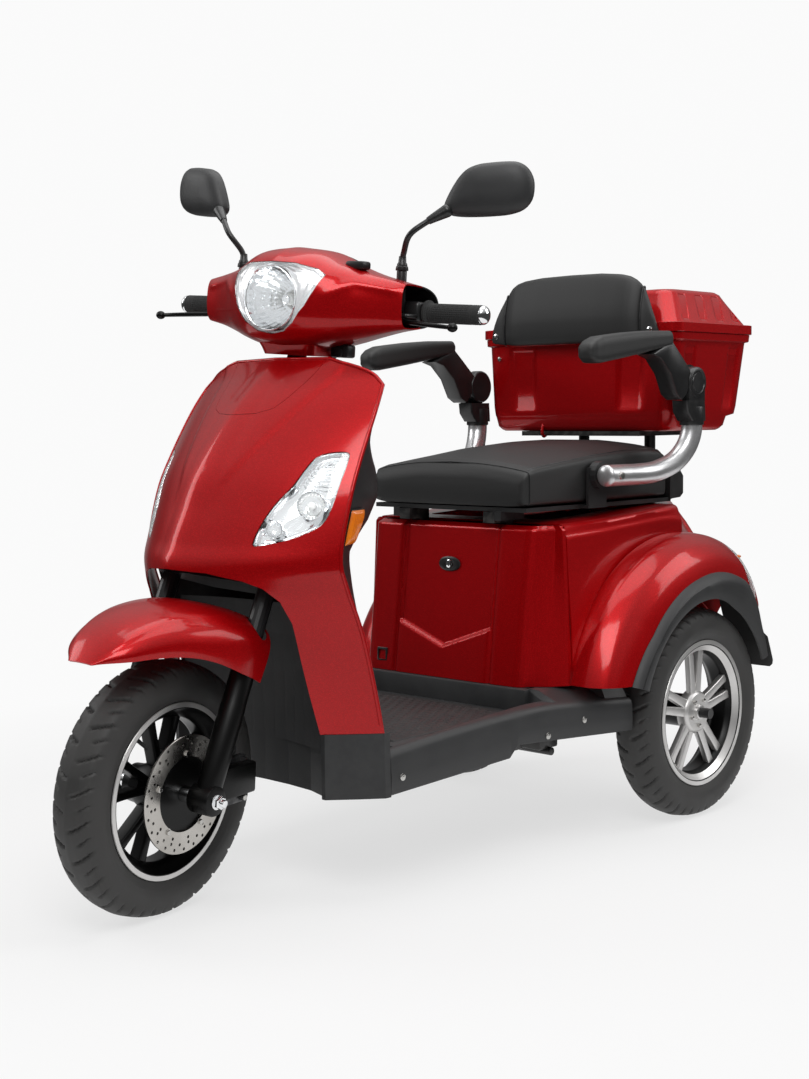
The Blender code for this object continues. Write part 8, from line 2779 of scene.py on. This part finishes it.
                    wave = step(0.25, 0.42, abs((point.x / 0.080 + 0.5) % 1.0 * 2.0 - 1.0))
                    point.y -= 0.0045 * fade * (1.0 - wave)
        shop.piece("lid_shell", Blank().loft(rings).outwards(), RED, "lid", ["box_lid"], smooth=38.0)

    def back_ring(self, x: float, face: float, low: float, high: float) -> list[Vector]:
        """Return one section of the backrest.

        Args:
            x: place across.
            face: how far its front stands forwards.
            low: its lower edge.
            high: its upper edge.

        Returns:
            The section's points.
        """
        back = self.front - self.overhang - 0.0068
        depth = back - face
        ring = []
        for k in range(40):
            angle = 2 * math.pi * (k + 0.5) / 40
            c, s = math.cos(angle), math.sin(angle)
            y = back - depth / 2 + depth / 2 * signed_power(c, 0.30 if c > 0 else 0.60)
            z = (low + high) / 2 + (high - low) / 2 * signed_power(s, 0.62)
            ring.append(Vector((x, y + max(0.0, z - 0.985) * 0.20, z)))
        return ring

    def build_backrest(self, shop: Workshop) -> None:
        """Make the stuffed back panel, its wings, piping and bolts.

        Args:
            shop: the workshop that finishes the pieces.
        """
        full = [(0.0, 0.4500, 0.9300, 1.0700), (0.075, 0.4505, 0.9300, 1.0690),
                (0.120, 0.4525, 0.9305, 1.0650), (0.140, 0.4550, 0.9310, 1.0600),
                (0.155, 0.4605, 0.9325, 1.0520), (0.165, 0.4675, 0.9340, 1.0435),
                (0.1705, 0.4740, 0.9360, 1.0360)]
        fine = []
        for k in range(33):
            x = 0.1705 * k / 32
            fine.append((x, *table_row(full, x)))
        rings = [self.back_ring(-x, a, b, c) for x, a, b, c in reversed(fine[1:])]
        rings += [self.back_ring(x, a, b, c) for x, a, b, c in fine]
        panel = shop.piece("back_panel", Blank().loft(rings).outwards(), HIDE, "lid", ["backrest_cushion"],
                           smooth=60.0)
        for side, hand in (("left", 1), ("right", -1)):
            wing = []
            for x, face, low, high in ((0.1690, 0.4745, 0.9340, 1.0380), (0.1740, 0.4715, 0.9345, 1.0350),
                                       (0.1800, 0.4715, 0.9350, 1.0230), (0.1880, 0.4720, 0.9355, 1.0080),
                                       (0.1950, 0.4732, 0.9360, 0.9930), (0.2020, 0.4745, 0.9372, 0.9770),
                                       (0.2070, 0.4760, 0.9390, 0.9620), (0.2110, 0.4785, 0.9440, 0.9500)):
                wing.append(self.back_ring(hand * x, face, low, high))
            shop.piece("back_wing_" + side, Blank().loft(wing).outwards(), HIDE, "lid", smooth=60.0)
            ring = self.back_ring(hand * 0.1722, 0.4722, 0.9345, 1.0375)
            cord = Blank().tube([*ring, ring[0], ring[1]], 0.0019, 10)
            shop.piece("back_piping_" + side, cord.outwards(), PIPING, "lid")
            bolt = Vector((hand * 0.1950, 0.4735, 0.9520))
            head = Blank().bar(bolt + Vector((0.0, 0.0040, 0.0)), bolt - Vector((0.0, 0.0030, 0.0)), 0.0062,
                               steps=32, soft=0.0012)
            shop.piece("back_bolt_" + side, head.outwards(), CHROME, "lid")


@dataclass
class Seat:
    """Seat cushion on its pan, with the armrests and their bent tubes."""

    crown: float = 0.016
    arm_x: float = 0.2735
    arm_half: float = 0.0210
    pivot_y: float = 0.494
    pivot_z: float = 0.847
    tube_radius: float = 0.0205
    bolt: tuple[float, float, float] = (0.2370, 0.288, 0.672)
    stations: Sequence[tuple[float, float, float, float]] = (
        (0.0850, 0.672, 0.6300, 0.176), (0.0880, 0.690, 0.6205, 0.186), (0.0980, 0.700, 0.6184, 0.190),
        (0.1200, 0.706, 0.6184, 0.190), (0.200, 0.716, 0.6184, 0.192), (0.300, 0.728, 0.6184, 0.194),
        (0.400, 0.7350, 0.6184, 0.194), (0.480, 0.7365, 0.6184, 0.193), (0.520, 0.733, 0.6184, 0.191),
        (0.540, 0.724, 0.6184, 0.188), (0.5500, 0.708, 0.624, 0.180), (0.5525, 0.690, 0.640, 0.165))

    def build(self, shop: Workshop) -> None:
        """Make the cushion and the armrests.

        Args:
            shop: the workshop that finishes the pieces.
        """
        self.build_cushion(shop)
        shop.dress(BLACK, "seat_pan")
        for side, hand in (("left", 1), ("right", -1)):
            self.build_tube(shop, side, hand)
            self.build_armrest(shop, side, hand)

    def build_cushion(self, shop: Workshop) -> None:
        """Make the cushion with its seam and piping.

        Args:
            shop: the workshop that finishes the pieces.
        """
        even = [0.0850 + 0.4675 * k / 60 for k in range(61)]
        places = sorted(set([row[0] for row in self.stations] + even))
        rings = [[self.pad_point(y, 2 * math.pi * (k + 0.5) / 120) for k in range(120)] for y in places]
        blank = Blank().loft(rings).outwards()
        cushion = shop.piece("seat_pad", blank, HIDE, "seat", ["seat_cushion"], smooth=60.0)
        edge, start, end = math.radians(33.0), 0.0985, 0.535
        loop = [self.pad_point(start + (end - start) * k / 60, edge) for k in range(61)]
        loop += [self.pad_point(end, edge + (math.pi - 2 * edge) * k / 60) for k in range(1, 60)]
        loop += [self.pad_point(end + (start - end) * k / 60, math.pi - edge) for k in range(61)]
        loop += [self.pad_point(start, math.pi - edge + (2 * edge - math.pi) * k / 60) for k in range(1, 61)]
        seams = Blank().tube(loop, 0.0013, 8)
        for hand in (1, -1):
            fall = [self.pad_point(start, (edge - 1.6 * edge * k / 14) if hand > 0 else
                                   (math.pi - edge + 1.6 * edge * k / 14)) for k in range(15)]
            seams.tube(fall, 0.0012, 8)
        shop.piece("seat_seams", seams.outwards(), PIPING, "seat")

    def pad_point(self, y: float, angle: float) -> Vector:
        """Return a point of the cushion.

        Args:
            y: place along the scooter.
            angle: angle round the section, from its left side.

        Returns:
            The point.
        """
        top, low, half = table_row(self.stations, y)
        middle = low + (top - low) * 0.5
        c, s = math.cos(angle), math.sin(angle)
        x = half * signed_power(c, 0.30)
        rise = (top - middle) * abs(s) ** 0.34 - self.crown * abs(x / half) ** 2 * max(0.0, s)
        return Vector((x, y, middle + (rise if s > 0 else (low - middle) * abs(s) ** 0.12)))

    def build_tube(self, shop: Workshop, side: str, hand: int) -> None:
        """Make one bent tube with its dome end, washer and socket.

        Args:
            shop: the workshop that finishes the pieces.
            side: left or right, for the pieces' names.
            hand: 1 on the rider's left, -1 on the right.
        """
        x, y, z = self.bolt
        route = [(x, y - 0.018, z), (x, y + 0.030, z), (0.2385, 0.372, 0.672), (0.2460, 0.418, 0.676),
                 (0.2580, 0.462, 0.692), (0.2680, 0.488, 0.718), (0.2730, 0.501, 0.748),
                 (0.2735, 0.503, 0.778)]
        fine = [Vector((hand * p.x, p.y, p.z)) for p in smooth_route(route, 10)]
        tube = Blank().tube(fine, self.tube_radius, 40)
        tube.ball((hand * x, y - 0.018, z), self.tube_radius * 0.999, (1.0, 0.42, 1.0), 40)
        shop.piece("arm_tube_" + side, tube.outwards(), SILVER, "seat", ["armrest_tube_" + side])
        socket = Blank().bar((hand * self.arm_x, 0.5025, 0.7640), (hand * self.arm_x, 0.5025, 0.8000),
                             0.0235, steps=48, soft=0.002)
        leg = []
        for z_at, low, high in ((0.7720, 0.4780, 0.5260), (0.7900, 0.4620, 0.5250), (0.8120, 0.4590, 0.5230)):
            leg.append([(hand * self.arm_x + dx, b, z_at)
                        for dx, b in rounded_rectangle(0.0185, low, high, 0.004, 3)])
        socket.loft(leg)
        inner, outer = sorted((hand * (self.arm_x + 0.0012), hand * (self.arm_x + 0.0186)))
        socket.block((inner, 0.4660, 0.8100), (outer, 0.5220, self.pivot_z), 0.002)
        shop.piece("arm_socket_" + side, socket.outwards(), SATIN, "seat")
        hub = []
        for out, radius in ((0.0010, 0.0), (0.0010, 0.0300), (0.0170, 0.0300), (0.0195, 0.0288),
                            (0.0208, 0.0262), (0.0208, 0.0222), (0.0192, 0.0212), (0.0192, 0.0190),
                            (0.0208, 0.0180), (0.0210, 0.0)):
            hub.append((hand * (self.arm_x + out), radius))
        disc = Blank().spin(hub, (0.0, self.pivot_y, self.pivot_z), steps=64).outwards()
        shop.piece("arm_hub_" + side, disc, SATIN, "seat", smooth=35.0)
        bolt = Blank().bar((hand * (x + self.tube_radius - 0.004), y + 0.002, z),
                           (hand * (x + self.tube_radius + 0.0034), y + 0.002, z), 0.0072, steps=32,
                           soft=0.0012)
        shop.piece("arm_bolt_" + side, bolt.outwards(), STEEL, "seat")

    def build_armrest(self, shop: Workshop, side: str, hand: int) -> None:
        """Make one folding arm with its stuffed pad.

        Args:
            shop: the workshop that finishes the pieces.
            side: left or right, for the pieces' names.
            hand: 1 on the rider's left, -1 on the right.
        """
        x = hand * self.arm_x
        beam = ((0.340, 0.898), (0.406, 0.925), (0.430, 0.905), (0.4660, 0.8740), (0.4707, 0.8703),
                (0.4622, 0.8556), (0.4630, 0.8357), (0.4560, 0.8230), (0.4420, 0.8130), (0.4240, 0.8230),
                (0.4020, 0.8620), (0.3700, 0.8900))
        inner, outer = sorted((x - hand * self.arm_half, x + hand * (self.arm_half - 0.0015)))
        arm = Blank().prism(beam, inner, outer, "x", 0.004)
        hub = [(-hand * (self.arm_half - 0.0005), 0.0), (-hand * (self.arm_half - 0.0005), 0.0310),
               (-hand * (self.arm_half - 0.0025), 0.0335), (-hand * (self.arm_half - 0.0050), 0.0345),
               (0.0, 0.0345), (0.0, 0.0)]
        arm.spin(hub, (x, self.pivot_y, self.pivot_z), steps=64)
        arm.outwards()
        shop.piece("arm_beam_" + side, arm, SATIN, "armrest_" + side, ["armrest_" + side], smooth=35.0)
        knots = ((0.4100, 0.9130, 0.9400, 0.86), (0.4040, 0.9120, 0.9440, 1.0), (0.3350, 0.9020, 0.9420, 1.0),
                 (0.2670, 0.8910, 0.9370, 1.0), (0.2200, 0.8840, 0.9320, 1.0), (0.1860, 0.8790, 0.9280, 1.0),
                 (0.1660, 0.8790, 0.9210, 0.94), (0.1550, 0.8860, 0.9130, 0.78),
                 (0.1510, 0.8930, 0.9070, 0.50))
        knots = knots[::-1]
        even = [0.151 + 0.259 * k / 40 for k in range(41)]
        places = sorted(set([knot[0] for knot in knots] + even))
        rings = []
        for y in places:
            low, high, scale = table_row(knots, y)
            ring = []
            for k in range(40):
                angle = 2 * math.pi * (k + 0.5) / 40
                c, s = math.cos(angle), math.sin(angle)
                seam = 0.0012 * math.exp(-((s + 0.12) / 0.05) ** 2)
                ring.append(Vector((x + (self.arm_half * scale - seam) * signed_power(c, 0.5), y,
                                    (low + high) / 2 + (high - low) / 2 * signed_power(s, 0.6))))
            rings.append(ring)
        pad = shop.piece("arm_pad_" + side, Blank().loft(rings).outwards(), HIDE, "armrest_" + side,
                         smooth=60.0)


@dataclass
class UnderGear:
    """Small black parts that hang under the floor."""

    def build(self, shop: Workshop) -> None:
        """Make the stand's bracket, its pin and the cable clamp.

        Args:
            shop: the workshop that finishes the pieces.
        """
        gear = Blank().block((0.120, 0.030, 0.1840), (0.205, 0.058, 0.2140), 0.003)
        gear.block((0.150, 0.095, 0.1760), (0.215, 0.150, 0.2080), 0.004)
        gear.bar((0.110, 0.122, 0.1720), (0.222, 0.122, 0.1720), 0.0075, steps=24, soft=0.001)
        gear.bar((0.168, -0.020, 0.1900), (0.168, 0.185, 0.1820), 0.0060, steps=20, soft=0.001)
        gear.tube(smooth_route([(0.190, 0.150, 0.190), (0.200, 0.190, 0.186), (0.214, 0.235, 0.196),
                                (0.216, 0.262, 0.205)], 8), 0.0034, 12)
        shop.piece("stand_bracket", gear.outwards(), ENAMEL, "chassis", smooth=35.0)


@dataclass(frozen=True)
class Studio:
    """Camera, lamps and backdrop of a bright product picture."""

    azimuth: float = 0.746381
    elevation: float = 0.0789601
    roll: float = -0.00875585
    position: tuple[float, float, float] = (2.01103, -2.20545, 0.79521)
    lens: float = 53.95
    floor_radius: float = 1.9
    shadow_reach: float = 1.75
    plain_share: float = 0.70
    horizon: float = 0.05
    ambient: float = 0.32
    backdrop_gloss: float = 0.35
    overhead_gloss: float = 0.80
    white: float = 0.96
    floor_grey: float = 0.86
    sensor: float = 36.0
    aim: tuple[float, float, float] = (0.0, 0.0, 0.55)

    def build(self) -> None:
        """Set up the camera, the lamps, the pale floor and the white surroundings."""
        self.place_camera()
        self.place_lamps()
        self.place_floor()
        self.light_world()

    def place_camera(self) -> None:
        """Stand the camera where the picture was taken from."""
        back = Vector((math.sin(self.azimuth) * math.cos(self.elevation),
                       -math.cos(self.azimuth) * math.cos(self.elevation), math.sin(self.elevation)))
        right = Vector((math.cos(self.azimuth), math.sin(self.azimuth), 0.0))
        up = back.cross(right)
        level, rise = math.cos(self.roll), math.sin(self.roll)
        across, upright = right * level + up * rise, up * level - right * rise
        camera = bpy.data.cameras.new("camera")
        camera.lens = self.lens
        camera.sensor_fit = "VERTICAL"
        camera.sensor_height = self.sensor
        stand = bpy.data.objects.new("camera", camera)
        place = Matrix((across, upright, back)).transposed().to_4x4()
        place.translation = Vector(self.position) + Vector(LAYOUT.shift)
        stand.matrix_world = place
        bpy.context.scene.collection.objects.link(stand)
        bpy.context.scene.camera = stand

    def place_lamps(self) -> None:
        """Hang large soft lamps round the scooter."""
        lamps = (("key", (2.0, -2.2, 3.2), 1.8, 62.0), ("fill", (-2.8, -1.8, 2.4), 1.8, 30.0),
                 ("top", (0.1, 0.3, 3.3), 2.6, 46.0), ("rear", (2.4, 2.6, 2.4), 1.8, 34.0))
        for name, place, size, power in lamps:
            lamp = bpy.data.lights.new(name, "AREA")
            lamp.shape = "SQUARE"
            lamp.size = size
            lamp.energy = power
            stand = bpy.data.objects.new(name, lamp)
            stand.location = place
            aim = Vector(self.aim) - Vector(place)
            stand.rotation_euler = aim.to_track_quat("-Z", "Y").to_euler()
            bpy.context.scene.collection.objects.link(stand)

    def place_floor(self) -> None:
        """Lay a round pale floor that keeps a soft shadow and fades into the white behind it."""
        blank = Blank()
        bmesh.ops.create_circle(blank.mesh, cap_ends=True, segments=96, radius=self.floor_radius)
        mesh = bpy.data.meshes.new("floor")
        blank.mesh.to_mesh(mesh)
        blank.mesh.free()
        floor = bpy.data.objects.new("floor", mesh)
        bpy.context.scene.collection.objects.link(floor)
        material = bpy.data.materials.new("pale_floor")
        material.use_nodes = True
        wiring = Wiring(material.node_tree)
        shader = material.node_tree.nodes["Principled BSDF"]
        shader.inputs["Base Color"].default_value = (self.floor_grey, self.floor_grey, self.floor_grey, 1.0)
        shader.inputs["Specular IOR Level"].default_value = 0.0
        speckle = wiring.ranged(wiring.noise(4.0, 3.0), 0.3, 0.7, 0.82, 0.90)
        wiring.tree.links.new(speckle, shader.inputs["Roughness"])
        away = wiring.node("ShaderNodeVectorMath", {0: wiring.node("ShaderNodeTexCoord").outputs["Object"]},
                           operation="LENGTH").outputs["Value"]
        plain = wiring.ranged(away, self.shadow_reach * 0.55, self.shadow_reach, self.plain_share, 1.0)
        shown = wiring.node("ShaderNodeMath", {0: plain, 1: self.seen(wiring)},
                            operation="MULTIPLY").outputs[0]
        white = wiring.node("ShaderNodeEmission",
                            {"Color": (self.white, self.white, self.white, 1.0), "Strength": 1.0})
        mix = wiring.node("ShaderNodeMixShader", {0: shown, 1: shader.outputs[0], 2: white.outputs[0]})
        wiring.tree.links.new(mix.outputs[0], wiring.tree.nodes["Material Output"].inputs["Surface"])
        mesh.materials.append(material)
        floor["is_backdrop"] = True

    def seen(self, wiring: "Wiring") -> bpy.types.NodeSocket:
        """Return 1 for rays that show the background: from the camera, off a gloss or through glass.

        Args:
            wiring: the nodes of the material.

        Returns:
            The socket of the mask.
        """
        rays = wiring.node("ShaderNodeLightPath")
        seen = rays.outputs["Is Camera Ray"]
        for other in ("Is Glossy Ray", "Is Transmission Ray"):
            seen = wiring.node("ShaderNodeMath", {0: seen, 1: rays.outputs[other]},
                               operation="MAXIMUM").outputs[0]
        return seen

    def light_world(self) -> None:
        """Surround everything with soft light, white behind the scooter and bright overhead."""
        world = bpy.data.worlds.new("surroundings")
        bpy.context.scene.world = world
        world.use_nodes = True
        wiring = Wiring(world.node_tree)
        ground = world.node_tree.nodes["Background"]
        way = wiring.node("ShaderNodeTexCoord").outputs["Generated"]
        rise = wiring.node("ShaderNodeSeparateXYZ", {0: way}).outputs["Z"]
        overhead = wiring.ranged(rise, 0.15, 0.80, self.horizon, self.overhead_gloss)
        away = Vector((-math.sin(self.azimuth), math.cos(self.azimuth), 0.0))
        along = wiring.node("ShaderNodeVectorMath", {0: way, 1: tuple(away)},
                            operation="DOT_PRODUCT").outputs["Value"]
        behind = wiring.ranged(along, 0.86, 0.97, 0.0, self.backdrop_gloss)
        gloss = wiring.node("ShaderNodeMath", {0: overhead, 1: behind}, operation="MAXIMUM").outputs[0]
        rays = wiring.node("ShaderNodeLightPath")
        mirrored_white = wiring.node("ShaderNodeMath", {0: gloss, 1: rays.outputs["Is Glossy Ray"]},
                                     operation="MULTIPLY").outputs[0]
        plain = wiring.node("ShaderNodeMath",
                            {0: rays.outputs["Is Camera Ray"], 1: rays.outputs["Is Transmission Ray"]},
                            operation="MAXIMUM").outputs[0]
        shown = wiring.node("ShaderNodeMath", {0: mirrored_white, 1: plain}, operation="MAXIMUM").outputs[0]
        soft = wiring.node("ShaderNodeMath", {0: self.ambient, 1: rays.outputs["Is Diffuse Ray"]},
                           operation="MULTIPLY").outputs[0]
        strength = wiring.node("ShaderNodeMath", {0: shown, 1: soft}, operation="MAXIMUM").outputs[0]
        ground.inputs["Color"].default_value = (self.white, self.white, self.white, 1.0)
        wiring.tree.links.new(strength, ground.inputs["Strength"])


def note_size(name: str) -> dict[str, list[list[float]]]:
    """Return the shown object's lowest and highest corner under a name."""
    return {name: [[round(float(value), 5) for value in corner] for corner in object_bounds()]}


def main(frame: dict) -> None:
    """Build the dressed scooter and its studio.

    Args:
        frame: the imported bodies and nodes.
    """
    logging.basicConfig(level=logging.INFO, format="%(name)s: %(message)s")
    sizes = note_size("frame")
    bpy.context.scene.view_settings.view_transform = "Standard"
    shop = Workshop(frame)
    for assembly in (FrontBodywork(), FrontFender(), FrontWheel(), Fork(), HeadCowl(), Bars(), FloorForm(),
                     SeatBase(), RearBody(), RearWheels(), Luggage(), Seat(), UnderGear()):
        assembly.build(shop)
    Studio().build()
    sizes.update(note_size("dressed"))


if __name__ == "__main__":
    main(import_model())
